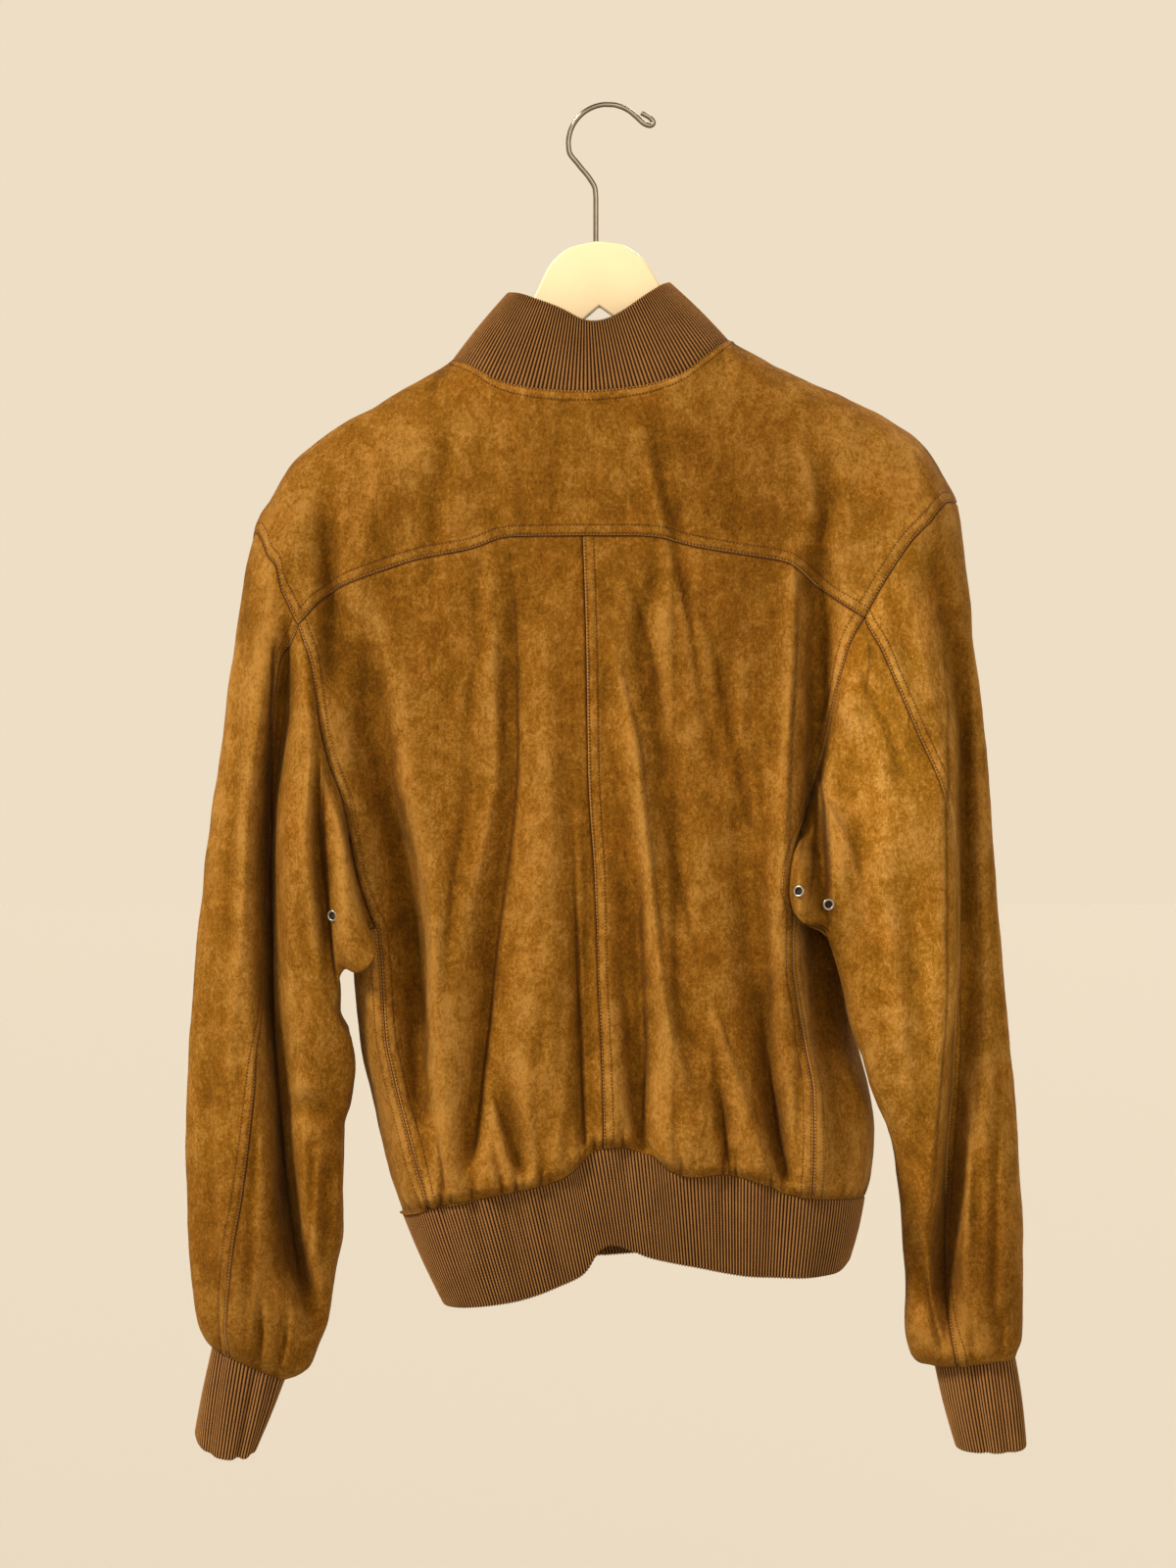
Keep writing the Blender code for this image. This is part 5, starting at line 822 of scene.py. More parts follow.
# The backs, and the fronts, which are laid out round the body's side. Panels share their points at a seam.
back_rows = np.concatenate([ARMHOLE_ROWS * ARMHOLE_LENGTH, ARMHOLE_LENGTH + SIDE_ROWS[1:] * SIDE_LENGTH])
back_rows /= ARMHOLE_LENGTH + SIDE_LENGTH
centre = resample(swap(CENTRE_SEAM), back_rows)
armholes = {}
for hand, sign in (("left", -1), ("right", 1)):
    edge = np.vstack([resample(swap(ARMHOLE_BACK[hand]), ARMHOLE_ROWS),
                      resample(swap(SIDE_SEAM[hand]), SIDE_ROWS)[1:]])
    underarm = len(ARMHOLE_ROWS) - 1
    upper = upper_edge[hand]
    edge[0] = upper[0 if hand == "left" else -1]
    share = along(upper) / along(upper)[-1]
    ends = (edge[-1, 0], centre[-1, 0]) if hand == "left" else (centre[-1, 0], edge[-1, 0])
    xs = ends[0] + share * (ends[1] - ends[0])
    lower = np.stack([xs, waist_drop(xs, BACK)], axis=1)
    sides = (edge, centre) if hand == "left" else (centre, edge)
    for line in sides:
        line[-1, 1] = waist_drop(line[-1, 0], BACK)
    grid = fill(*sides, upper, lower)
    panels[f"back_{hand}"] = body_point(grid[..., 0], grid[..., 1], BACK)

    x0 = shoulder[hand][0, 0]
    drop0 = float(over_shoulder(x0, SHOULDER_SEAM)[0])
    branch = [(float(unroll(x, drop, side, hand)), drop) for drop, x, side in ARMHOLE_FRONT[hand]]
    branch = resample([(float(unroll(x0, drop0, FRONT, hand)), drop0)] + branch, ARMHOLE_ROWS)
    seam_line = edge[underarm:]
    side_seam = np.stack([unroll(seam_line[:, 0], seam_line[:, 1], BACK, hand), seam_line[:, 1]], axis=1)
    outer = np.vstack([branch[:-1], side_seam])
    neck_end = neck[0 if hand == "left" else -1]
    neck_drop = float(over_shoulder(neck_end[0], SHOULDER_SEAM)[0])
    shoulder_x = shoulder[hand][:, 0]
    shoulder_drop = over_shoulder(shoulder_x, SHOULDER_SEAM)[0]
    shoulder_top = np.stack([unroll(shoulder_x, shoulder_drop, FRONT, hand), shoulder_drop], axis=1)
    half_neck = [(abs(x), drop) for drop, x in NECK_FRONT if x * sign > 8 and abs(x) < abs(neck_end[0]) - 1]
    half_neck = [(abs(neck_end[0]), neck_drop), *half_neck[::-sign],
                 (-5.0 * sign, NECK_FOOT), (-LAP_REACH, NECK_FOOT)]
    neck_line = resample(half_neck, shares_of(145, FRONT_STEP, start=False))
    top = np.vstack([shoulder_top[:-1], neck_line])
    down = (outer[:, 1] - outer[0, 1]) / (outer[-1, 1] - outer[0, 1])
    foot = float(waist_drop(-sign * LAP_REACH, FRONT))
    centre_front = np.stack([np.full(len(outer), -LAP_REACH), NECK_FOOT + (foot - NECK_FOOT) * down], axis=1)
    reach = outer[-1, 0] + along(top) / along(top)[-1] * (-LAP_REACH - outer[-1, 0])
    x, side = roll(reach, np.full(len(reach), WAIST_MEAN), hand)
    lower = np.stack([reach, waist_drop(x, side)], axis=1)
    outer[-1, 1] = lower[0, 1] = side_seam[-1, 1]
    grid = fill(outer, centre_front, top, lower, fade=3.0)
    x, side = roll(grid[..., 0], grid[..., 1], hand)
    x = np.where(grid[..., 0] < 0, -sign * np.abs(grid[..., 0]), x)
    front = body_point(x, grid[..., 1], side, lap_of(x, hand) * (side == FRONT))
    back_edge = panels[f"back_{hand}"][:, 0 if hand == "left" else -1]
    front[underarm:, 0] = back_edge[underarm:]
    shoulder_edge = panels["back_yoke"][0] if hand == "left" else panels["back_yoke"][0, ::-1]
    front[0, :len(SHOULDER_SHARES)] = shoulder_edge[:len(SHOULDER_SHARES)]
    armholes[hand] = (back_edge[:underarm + 1][::-1], panels["back_yoke"][::-1, 0 if hand == "left" else -1],
                      front[:underarm + 1, 0])
    panels[f"front_{hand}"] = front if hand == "left" else front[:, ::-1]


# ================================================================ the sleeves' suede
# Each sleeve is two panels, an outer one that goes round from the back seam to the underarm, and a narrow
# under one at the back. They hang in deep lengthwise folds, and blouse over the knitted cuffs.
# Stations: share of the length, drop, x and y of the outer and the inner edge, depth back and front.
SLEEVE_COLUMNS = ("share", "outer_drop", "outer_x", "outer_y", "inner_drop", "inner_x", "inner_y",
                  "back", "front")
SLEEVES = {
    "left": (
        (0.00, 294, -239, 0, 558, -153, -24, 34, 50),
        (0.05, 316, -245, 0, 572, -153, -48, 32, 58),
        (0.10, 340, -249, 0, 582, -157, -52, 32, 62),
        (0.15, 363, -252, 0, 586, -165, -50, 33, 62),
        (0.20, 386, -255, 0, 584, -173, -44, 35, 58),
        (0.26, 413, -258, 0, 593, -178, -36, 37, 54),
        (0.34, 453, -263, 0, 613, -179, -25, 38, 48),
        (0.42, 493, -269, 0, 632, -171, -20, 36, 44),
        (0.50, 534, -274, 0, 648, -169, -16, 34, 42),
        (0.58, 576, -278, 0, 676, -173, -10, 33, 40),
        (0.66, 621, -281, 0, 693, -177, -6, 32, 38),
        (0.74, 666, -284, 0, 726, -177, -3, 31, 36),
        (0.82, 713, -285, 0, 763, -177, 0, 31, 34),
        (0.88, 753, -284, 0, 793, -183, 0, 31, 33),
        (0.93, 796, -281, 0, 823, -188, 0, 31, 33),
        (0.965, 826, -276, 0, 840, -195, 0, 29, 31),
        (0.985, 838, -271, 0, 855, -201, 0, 26, 28),
        (1.00, 843, -267, 4, 865, -218, 0, 19, 20),
    ),
    "right": (
        (0.00, 269, 239, 0, 546, 126, -24, 34, 50),
        (0.05, 289, 243, 0, 552, 130, -46, 32, 56),
        (0.10, 313, 246, 0, 554, 136, -51, 32, 60),
        (0.15, 336, 249, 0, 556, 144, -53, 32, 60),
        (0.20, 360, 251, 0, 564, 150, -51, 33, 60),
        (0.26, 386, 254, 0, 575, 154, -50, 35, 58),
        (0.34, 423, 257, 0, 596, 159, -47, 37, 54),
        (0.42, 463, 261, 0, 623, 165, -46, 36, 50),
        (0.50, 510, 265, 0, 648, 174, -43, 35, 46),
        (0.58, 560, 269, 0, 676, 184, -33, 34, 44),
        (0.66, 613, 273, 0, 706, 195, -18, 33, 40),
        (0.74, 666, 278, 0, 738, 199, -8, 32, 36),
        (0.82, 720, 282, 0, 773, 203, -2, 31, 34),
        (0.88, 763, 284, 0, 801, 205, 0, 31, 33),
        (0.93, 803, 284, 0, 825, 204, 0, 31, 33),
        (0.965, 834, 284, 0, 845, 208, 4, 29, 31),
        (0.985, 845, 281, 0, 853, 214, 8, 26, 28),
        (1.00, 850, 279, -2, 857, 226, 12, 19, 20),
    ),
}
SLEEVE_SEAM = {  # the back sleeve seam, as rows of (drop, x)
    "left": ((353, -206), (363, -214), (380, -219), (433, -224), (513, -227), (566, -229), (593, -231),
             (648, -234),
             (688, -238), (737, -244), (786, -252), (833, -256), (850, -254)),
    "right": ((348, 174), (364, 183), (395, 196), (429, 211), (461, 225), (479, 231), (500, 235), (540, 238),
              (593, 239), (660, 236), (726, 232), (781, 231), (814, 232), (840, 236), (860, 240)),
}
SLEEVE_FOLDS = {
    "left": {
        "deep fold": (BACK, (
            (296, -222, 0, 9, 9), (340, -224, -12, 10, 9), (371, -222, -20, 11, 8), (420, -223, -27, 9, 9),
            (514, -227, -30, 8, 10), (593, -227, -30, 8, 11), (660, -221, -30, 8, 11),
            (726, -216, -30, 8, 10), (781, -210, -26, 9, 9), (815, -198, -12, 8, 7), (835, -192, 0, 8, 8))),
        "underarm fold": (BACK, (
            (430, -186, 0, 11, 11), (470, -185, -8, 11, 11), (520, -184, -14, 11, 11),
            (560, -183, -15, 11, 11), (585, -181, -7, 11, 11), (605, -180, 0, 11, 11))),
        "edge crease": (BACK, (
            (700, -180, 0, 5, 6), (730, -188, -6, 5, 7), (765, -189, -5, 5, 6), (790, -190, 0, 5, 5))),
        "elbow crease": (BACK, (
            (664, -195, 0, 20, 20), (678, -196, -5, 20, 18), (692, -196, 0, 20, 20))),
        "outer crease": (BACK, (
            (715, -279, 0, 5, 7), (770, -274, -4, 5, 7), (830, -268, 0, 5, 7))),
        "low swell": (BACK, (
            (650, -255, 0, 14, 14), (740, -256, 4, 14, 16), (820, -246, 5, 16, 16), (850, -244, 0, 12, 12))),
        "front fold": (FRONT, (
            (380, -224, 0, 12, 12), (500, -222, -10, 10, 12), (640, -224, -16, 10, 12),
            (760, -230, -12, 12, 12), (830, -236, 0, 10, 10))),
    },
    "right": {
        "deep fold": (BACK, (
            (272, 234, 0, 7, 9), (327, 238, -16, 6, 9), (376, 241, -23, 5, 10), (440, 242, -28, 5, 11),
            (500, 242, -30, 5, 12), (593, 242, -30, 6, 13), (660, 237, -30, 7, 12), (726, 233, -32, 7, 10),
            (781, 230, -30, 7, 9), (814, 231, -22, 7, 9), (845, 236, 0, 8, 8))),
        "cap fold": (BACK, (
            (352, 176, 0, 5, 6), (378, 177, -6, 6, 6), (410, 176, -7, 6, 6), (440, 172, 0, 6, 6))),
        "cap fold outer": (BACK, (
            (300, 212, 0, 7, 7), (330, 198, -5, 7, 6), (352, 188, 0, 6, 6))),
        "underarm fold": (BACK, (
            (352, 152, 0, 8, 5), (400, 146, -10, 13, 8), (470, 144, -20, 15, 8), (530, 144, -22, 16, 8),
            (552, 145, -10, 13, 8), (566, 147, 0, 10, 8))),
        "outer crease": (BACK, (
            (690, 252, 0, 6, 7), (735, 251, -4, 6, 7), (785, 249, 0, 6, 7))),
        "edge crease": (BACK, (
            (745, 203, 0, 5, 6), (775, 208, -5, 5, 6), (800, 213, -4, 5, 5), (826, 222, 0, 5, 5))),
        "front fold": (FRONT, (
            (360, 226, 0, 12, 12), (480, 224, -9, 12, 10), (620, 228, -15, 12, 10), (750, 236, -13, 12, 12),
            (825, 240, 0, 10, 10))),
    },
}
# Smaller folds, in the same columns.
SOFT_SLEEVE_FOLDS = {
    "left": {
        "upper streak": (BACK, (
            (330, -244, 0, 4, 3), (400, -248, -2.6, 4, 3), (520, -252, -3, 5, 3), (600, -256, 0, 5, 4))),
        "outer ridge": (BACK, (
            (420, -240, 0, 6, 4), (520, -243, 2.6, 6, 4), (620, -250, 2.4, 6, 4), (700, -254, 0, 6, 5))),
        "middle streak": (BACK, (
            (560, -266, 0, 4, 3), (640, -268, -3, 5, 3), (740, -265, -3, 5, 3), (800, -260, 0, 5, 4))),
        "fold lip": (BACK, (
            (360, -216, 0, 3, 7), (420, -217, 2.4, 2.6, 7), (520, -217, 3, 2.6, 7), (600, -216, 3, 2.6, 7),
            (680, -211, 2.6, 2.6, 7), (740, -206, 2, 2.6, 6), (790, -200, 0, 3, 6))),
        "sleeve gap": (BACK, (
            (352, -221, 0, 3, 2.4), (380, -223, -6, 4, 2.1), (430, -225, -9, 6, 2), (520, -226, -10, 6, 2),
            (600, -226, -10, 6.5, 2), (660, -223, -10, 6.5, 2), (720, -218, -9, 6, 2),
            (780, -210, -6, 5, 2.1), (818, -201, 0, 4, 3))),
        "pouch line": (BACK, (
            (438, -190, 0, 3, 2.4), (468, -188, -4, 4, 2.1), (520, -187, -6.5, 5, 2), (560, -184, -6.5, 5, 2),
            (588, -181, -4, 4, 2.2), (604, -180, 0, 4, 3))),
        "pouch ridge": (BACK, (
            (430, -198, 0, 5, 3), (500, -196, 3, 5, 3), (570, -192, 3.2, 5, 3), (610, -188, 0, 5, 4))),
        "elbow ridge": (BACK, (
            (652, -210, 0, 16, 12), (666, -200, 2.6, 16, 12), (680, -190, 0, 16, 12))),
        "inner streak": (BACK, (
            (690, -196, 0, 4, 3), (720, -197, -3.2, 4, 3), (760, -200, -3, 4, 3), (800, -205, 0, 4, 4))),
        "seam streak": (BACK, (
            (640, -228, 0, 4, 3), (720, -236, -2.4, 4, 3), (800, -240, -2.4, 4, 3), (850, -242, 0, 4, 4))),
        "cuff tuck one": (BACK, (
            (796, -232, 0, 4, 3), (828, -232, -4, 4, 2.6), (858, -236, -3, 4, 3))),
        "cuff tuck two": (BACK, (
            (802, -262, 0, 4, 3), (830, -260, -3.4, 4, 2.6), (855, -258, -2.4, 4, 3))),
        "cuff tuck three": (BACK, (
            (806, -214, 0, 3, 3), (834, -216, -3.4, 3, 2.6), (862, -224, -2.4, 3, 3))),
    },
    "right": {
        "pouch edge": (BACK, (
            (425, 141, 0, 5, 3), (445, 144, -5, 7, 2.4), (480, 146, -8, 9, 2.2), (520, 147.5, -9, 9, 2.2),
            (545, 148, -8, 9, 2.4), (560, 149, -4, 7, 3), (572, 150, 0, 6, 4))),
        "pouch lip": (BACK, (
            (432, 151, 0, 2.4, 8), (480, 151.5, 2.2, 2.2, 8), (540, 153, 2.6, 2.2, 8), (575, 155, 0, 3, 8))),
        "pouch pleat": (BACK, (
            (446, 141, 0, 2.2, 2.2), (470, 137, -3, 2.2, 2.2), (500, 132, -3.6, 2.2, 2.2),
            (526, 128, 0, 2.2, 2.2))),
        "pouch second pleat": (BACK, (
            (468, 143, 0, 2.2, 2.2), (492, 141, -3, 2.2, 2.2), (522, 138, -3.6, 2.2, 2.2),
            (546, 136, 0, 2.2, 2.2))),
        "cap crease": (BACK, (
            (362, 190, 0, 3, 3), (395, 196, -2.4, 3, 3), (440, 203, -2.4, 3, 3), (460, 206, 0, 3, 3))),
        "cap lens": (BACK, (
            (340, 170, 0, 5, 3), (370, 177, -4, 6, 2.4), (400, 174, -3.4, 6, 2.6), (416, 170, 0, 5, 3))),
        "cap ridge": (BACK, (
            (290, 214, 0, 6, 5), (330, 212, 3, 6, 5), (400, 216, 2.4, 6, 5), (440, 219, 0, 6, 5))),
        "fold lip": (BACK, (
            (330, 226, 0, 8, 2.4), (400, 227, 2.6, 8, 2.2), (500, 226, 3, 8, 2.2), (600, 226, 3, 8, 2.2),
            (680, 222, 3, 8, 2.2), (740, 217, 2.4, 7, 2.4), (790, 213, 0, 6, 3))),
        "inner shade": (BACK, (
            (420, 152, 0, 3, 5), (480, 152, -3, 3, 5), (560, 156, -3, 3, 6), (620, 166, 0, 3, 6))),
        "middle ridge": (BACK, (
            (470, 178, 0, 8, 8), (560, 190, 3, 8, 8), (640, 200, 3.4, 8, 8), (720, 210, 2.8, 7, 7),
            (770, 214, 0, 6, 6))),
        "middle shade": (BACK, (
            (500, 204, 0, 6, 6), (580, 208, -2, 6, 6), (640, 212, 0, 6, 6))),
        "outer streak": (BACK, (
            (420, 258, 0, 4, 3), (500, 261, -2.6, 4, 3), (620, 266, -3, 4, 3), (700, 269, 0, 4, 3))),
        "inner strip": (BACK, (
            (640, 244, 0, 3, 4), (680, 245, 4, 3, 4), (740, 244, 5, 3, 4), (790, 242, 3, 3, 4),
            (820, 242, 0, 3, 4))),
        "lower streak": (BACK, (
            (640, 264, 0, 4, 3), (720, 264, -3.2, 4, 3), (800, 263, -3, 4, 3), (840, 262, 0, 4, 3))),
        "lower inner line": (BACK, (
            (770, 210, 0, 3, 3), (800, 217, -3.4, 3, 2.4), (836, 226, -3.4, 3, 2.4), (852, 230, 0, 3, 3))),
        "cuff tuck one": (BACK, (
            (806, 246, 0, 4, 3), (832, 248, -3.6, 4, 2.6), (856, 250, -2.4, 4, 3))),
        "cuff tuck two": (BACK, (
            (810, 268, 0, 4, 3), (834, 268, -3.6, 4, 2.6), (852, 266, -2.4, 4, 3))),
    },
}
UNDERARM_CLEARANCE = 8.0  # the sleeve stands off the body's side by this
UNDERARM_DROPS = (480, 520)  # from none to all of that clearance
# Shares of a sleeve's length over which the armhole's line turns into the plain ring, its points spread
# evenly along the ring, and the back seam leaves the armhole.
CAP_SHARE, SPREAD_SHARE, SEAM_SHARE = 0.3, 0.2, 0.08
SLEEVE_STEP = 3.8
SLEEVE_COLUMN_STEPS = {"under": 2.2, "outer": 3.2}
SLEEVE_RINGS = shares_of(590, SLEEVE_STEP)


def ring_form(hand, share, theta):
    """Plain ring of a sleeve: theta runs from the inner edge over the back, the outer edge and the front."""
    table = np.array(SLEEVES[hand], float)
    value = {name: glide(share, table[:, 0], table[:, k]) for k, name in enumerate(SLEEVE_COLUMNS) if k}
    across = (1 - np.cos(theta)) / 2
    x, drop, y = (value["inner_" + way] + (value["outer_" + way] - value["inner_" + way]) * across
                  for way in ("x", "drop", "y"))
    bulge = np.sign(np.sin(theta)) * np.abs(np.sin(theta)) ** 0.8
    y = y - np.where(bulge > 0, value["back"], value["front"]) * bulge
    side = np.where(np.sin(theta) >= 0, BACK, FRONT)
    lift = sum(fold_height(table[hand], x, drop, side) for table in (SLEEVE_FOLDS, SOFT_SLEEVE_FOLDS))
    return np.stack([x, y + side * lift * np.abs(np.sin(theta)) ** 0.5, -drop], axis=-1)


def clear_of_body(points, share, theta, hand):
    """A ring's points, those that would pass through the body's side moved out of it."""
    sign = -1 if hand == "left" else 1
    x, y, drop = points[:, 0] * sign, points[:, 1], -points[:, 2]
    flat, radius, _ = ends_of(drop, hand)
    depth = np.where(y < 0, section(drop, "back"), section(drop, "front"))
    edge = flat + radius * np.sqrt(1 - np.clip(np.abs(y) / depth, 0, 1) ** 2)
    edge += UNDERARM_CLEARANCE * min(share / 0.02, 1)
    first, last = UNDERARM_DROPS
    weight = ease((drop - first) / (last - first)) * np.where(theta > math.pi, 1.0, 1 - ease(theta / 0.9))
    moved = points.copy()
    moved[:, 0] += sign * weight * np.maximum(edge - x, 0)
    return moved


def cut_even(line, shares):
    """A line of points cut again, at the given shares of its length."""
    reach = along(line)
    return between(np.multiply(shares, reach[-1]), reach, line)


def smooth(values, rounds):
    """A list of values, each drawn toward its neighbours."""
    values = values.copy()
    for _ in range(rounds):
        values[1:-1] = (values[:-2] + 2 * values[1:-1] + values[2:]) / 4
    return values


for hand in ("left", "right"):
    back_line, yoke_line, front_line = armholes[hand]
    under_line = cut_even(back_line, shares_of(along(back_line)[-1], SLEEVE_COLUMN_STEPS["under"]))
    outer_line = np.vstack([yoke_line, front_line[1:]])
    outer_line = cut_even(outer_line, shares_of(along(outer_line)[-1], SLEEVE_COLUMN_STEPS["outer"]))
    loop = np.vstack([under_line, outer_line[1:]])
    tip = int(np.argmax(loop[:, 2]))
    reach = along(loop)
    theta0 = np.where(np.arange(len(loop)) <= tip, reach / reach[tip],
                      1 + (reach - reach[tip]) / (reach[-1] - reach[tip])) * math.pi
    count = len(under_line)
    shift = loop - ring_form(hand, 0.0, theta0)
    dense = np.linspace(0, 2 * math.pi, 721)

    def ring(share, theta):
        plain = ring_form(hand, share, theta) + (1 - ease(share / CAP_SHARE)) * between(theta, theta0, shift)
        return clear_of_body(plain, share, theta, hand)

    half = (dense > 0.1) & (dense < math.pi * 0.97)
    drops, xs = np.array(SLEEVE_SEAM[hand], float).T
    meeting = []
    for share in SLEEVE_RINGS:
        points = ring(share, dense)[half]
        off = (points[:, 0] - glide(-points[:, 2], drops, xs)) * (-1 if hand == "left" else 1)
        meeting.append(np.interp(0, off, dense[half]))
    weight = ease(SLEEVE_RINGS / SEAM_SHARE)
    seam_angle = theta0[count - 1] * (1 - weight) + smooth(np.array(meeting), 12) * weight
    angles = {"under": [], "outer": []}
    for share, middle in zip(SLEEVE_RINGS, seam_angle):
        hold = 1 - ease(share / SPREAD_SHARE)
        for part, start, end, fixed in (("under", 0, middle, theta0[:count]),
                                        ("outer", middle, 2 * math.pi, theta0[count - 1:])):
            stretch = np.linspace(start, end, 361)
            reach = along(ring(share, stretch))
            stops = along(under_line if part == "under" else outer_line)
            free = np.interp(stops / stops[-1], reach / reach[-1], (stretch - start) / (end - start))
            even = (fixed - fixed[0]) / (fixed[-1] - fixed[0])
            angles[part].append(start + (end - start) * (hold * even + (1 - hold) * free))
    rings = {}
    for part, rows in angles.items():
        rings[part] = np.array([ring(*pair) for pair in zip(SLEEVE_RINGS, smooth(np.array(rows), 6))])
    rings["under"][0], rings["outer"][0] = under_line, outer_line
    rings["under"][:, 0] = rings["outer"][:, -1]
    rings["under"][:, -1] = rings["outer"][:, 0]
    for part, grid in rings.items():
        panels[f"sleeve_{hand}_{part}"] = grid


# ================================================================ the panels' walls
# Each panel becomes a 1.5 mm wall of suede. Where it lies over its neighbour at a seam, its allowance is
# turned under and stitched down, so it stands proud in a flat welt with a rolled edge. The other side dips.
WELT_WIDTH = 8.6
WELT_HEIGHT = 0.55
ROLLED_EDGE, ROLL_REACH = 1.15, 0.75
UNDER_EDGE, UNDER_REACH = 0.65, 1.1
ROW_INSETS = (1.9, 7.7)  # of the two rows of stitches from the seam
ROW_DIP, ROW_REACH = 0.5, 0.8
FAR_SEAM, FAR_EDGE = 9.0, 99.0  # a distance past which no seam or edge shows
NEAR = 1.6  # edge points this near one another share their normal
HOLLOW_ROUNDS = 60  # of evening out, to tell what lies in a hollow, for its painted shade
HEM_REACH = 16.0  # above a lower edge, over which the painted shade and light of the hollows comes in
EDGES = ("top", "bottom", "left", "right")
# Which edges of each panel lie over the next one. The left edge is the one with the smaller X.
OVER = {
    "back_yoke": ("bottom", "left", "right", "top"),
    "back_left": ("left",),
    "back_right": ("left", "right"),
    "front_left": ("armhole", "front"),
    "front_right": ("armhole", "front"),
    "sleeve_left_outer": ("seam",),
    "sleeve_right_outer": ("seam",),
    "sleeve_left_under": (),
    "sleeve_right_under": (),
}
WAVES = (  # of the suede's own uneven surface: shortest and longest wave, height, stretch along Z, seed
    (26, 60, 0.42, 2.6, 3),
    (9, 20, 0.10, 1.6, 5),
)
WAVE_COUNT = 36


def grid_normals(grid):
    normal = np.cross(np.gradient(grid, axis=1), np.gradient(grid, axis=0))
    return normal / np.maximum(np.linalg.norm(normal, axis=-1, keepdims=True), 1e-9)


def unit(vectors):
    return vectors / np.maximum(np.linalg.norm(vectors, axis=-1, keepdims=True), 1e-9)


def border(grid):
    """The four border lines of a grid as index arrays: top, bottom, left and right."""
    rows, columns = grid.shape[:2]
    i, j = np.arange(rows), np.arange(columns)
    return {"top": (0 * j, j), "bottom": (0 * j + rows - 1, j),
            "left": (i, 0 * i), "right": (i, 0 * i + columns - 1)}


def from_edge(grid, edge):
    """Each point's distance from one edge, measured along the line of points that crosses it."""
    lines = grid if edge in ("left", "right") else grid.swapaxes(0, 1)
    lines = lines[:, ::-1] if edge in ("right", "bottom") else lines
    steps = np.linalg.norm(np.diff(lines, axis=1), axis=2)
    reach = np.concatenate([np.zeros((len(lines), 1)), np.cumsum(steps, axis=1)], axis=1)
    reach = reach[:, ::-1] if edge in ("right", "bottom") else reach
    return reach if edge in ("left", "right") else reach.swapaxes(0, 1)


def unevenness(points):
    """The suede's own soft waves, the same on both sides of a seam because they follow the place alone."""
    total = np.zeros(points.shape[:-1])
    for shortest, longest, height, stretch, seed in WAVES:
        chance = np.random.default_rng(seed)
        for _ in range(WAVE_COUNT):
            way = chance.normal(size=3) * (1, 1, 1 / stretch)
            way = way / np.linalg.norm(way) * 2 * math.pi / chance.uniform(shortest, longest)
            start = chance.uniform(0, 2 * math.pi)
            total += height * math.sqrt(2 / WAVE_COUNT) * np.sin(points @ way + start)
    return total


def shared_normals(panels):
    """Outward normals, drawn toward one another where panels meet."""
    normals = {name: grid_normals(grid) for name, grid in panels.items()}
    places, found = [], []
    for name, grid in panels.items():
        for lines in border(grid).values():
            places.append(grid[lines])
            found.append(normals[name][lines])
    places, found = np.vstack(places), np.vstack(found)
    tree = KDTree(len(places))
    for number, place in enumerate(places):
        tree.insert(place, number)
    tree.balance()
    for name, grid in panels.items():
        for lines in border(grid).values():
            for i, j in zip(*lines):
                near = [number for _, number, _ in tree.find_range(grid[i, j], NEAR)]
                normals[name][i, j] = unit(found[near].sum(axis=0))
    return normals


for name, grid in panels.items():
    middle = grid.mean(axis=(0, 1)) if "sleeve" in name else np.array((0, 0, -500.0))
    if np.sum(grid_normals(grid) * (grid - middle) * (1, 1, 0)) < 0:
        panels[name] = grid[:, ::-1]
normals = shared_normals(panels)


def edge_of(name, word):
    """The side of a panel's grid that a word from OVER names."""
    if word in EDGES:
        left_first = panels[name][0, 0, 0] < panels[name][0, -1, 0]
        return word if left_first or word in ("top", "bottom") else {"left": "right", "right": "left"}[word]
    grid = panels[name]
    off_middle = {edge: abs(grid[border(grid)[edge]].mean(axis=0)[0]) for edge in ("left", "right")}
    if word == "front":
        return min(off_middle, key=off_middle.get)
    return max(off_middle, key=off_middle.get)  # an armhole or a sleeve's back seam


def seam_relief(distance, over, rows):
    """How far the suede stands off beside a seam."""
    if not over:
        return -UNDER_EDGE * bell(distance, 0, UNDER_REACH)
    relief = WELT_HEIGHT * ease((distance - 0.2) / 1.0) * (1 - ease((distance - WELT_WIDTH) / 2.8))
    relief -= ROLLED_EDGE * bell(distance, 0, ROLL_REACH)
    for inset in rows:
        relief -= ROW_DIP * bell(distance, inset, ROW_REACH)
    return relief


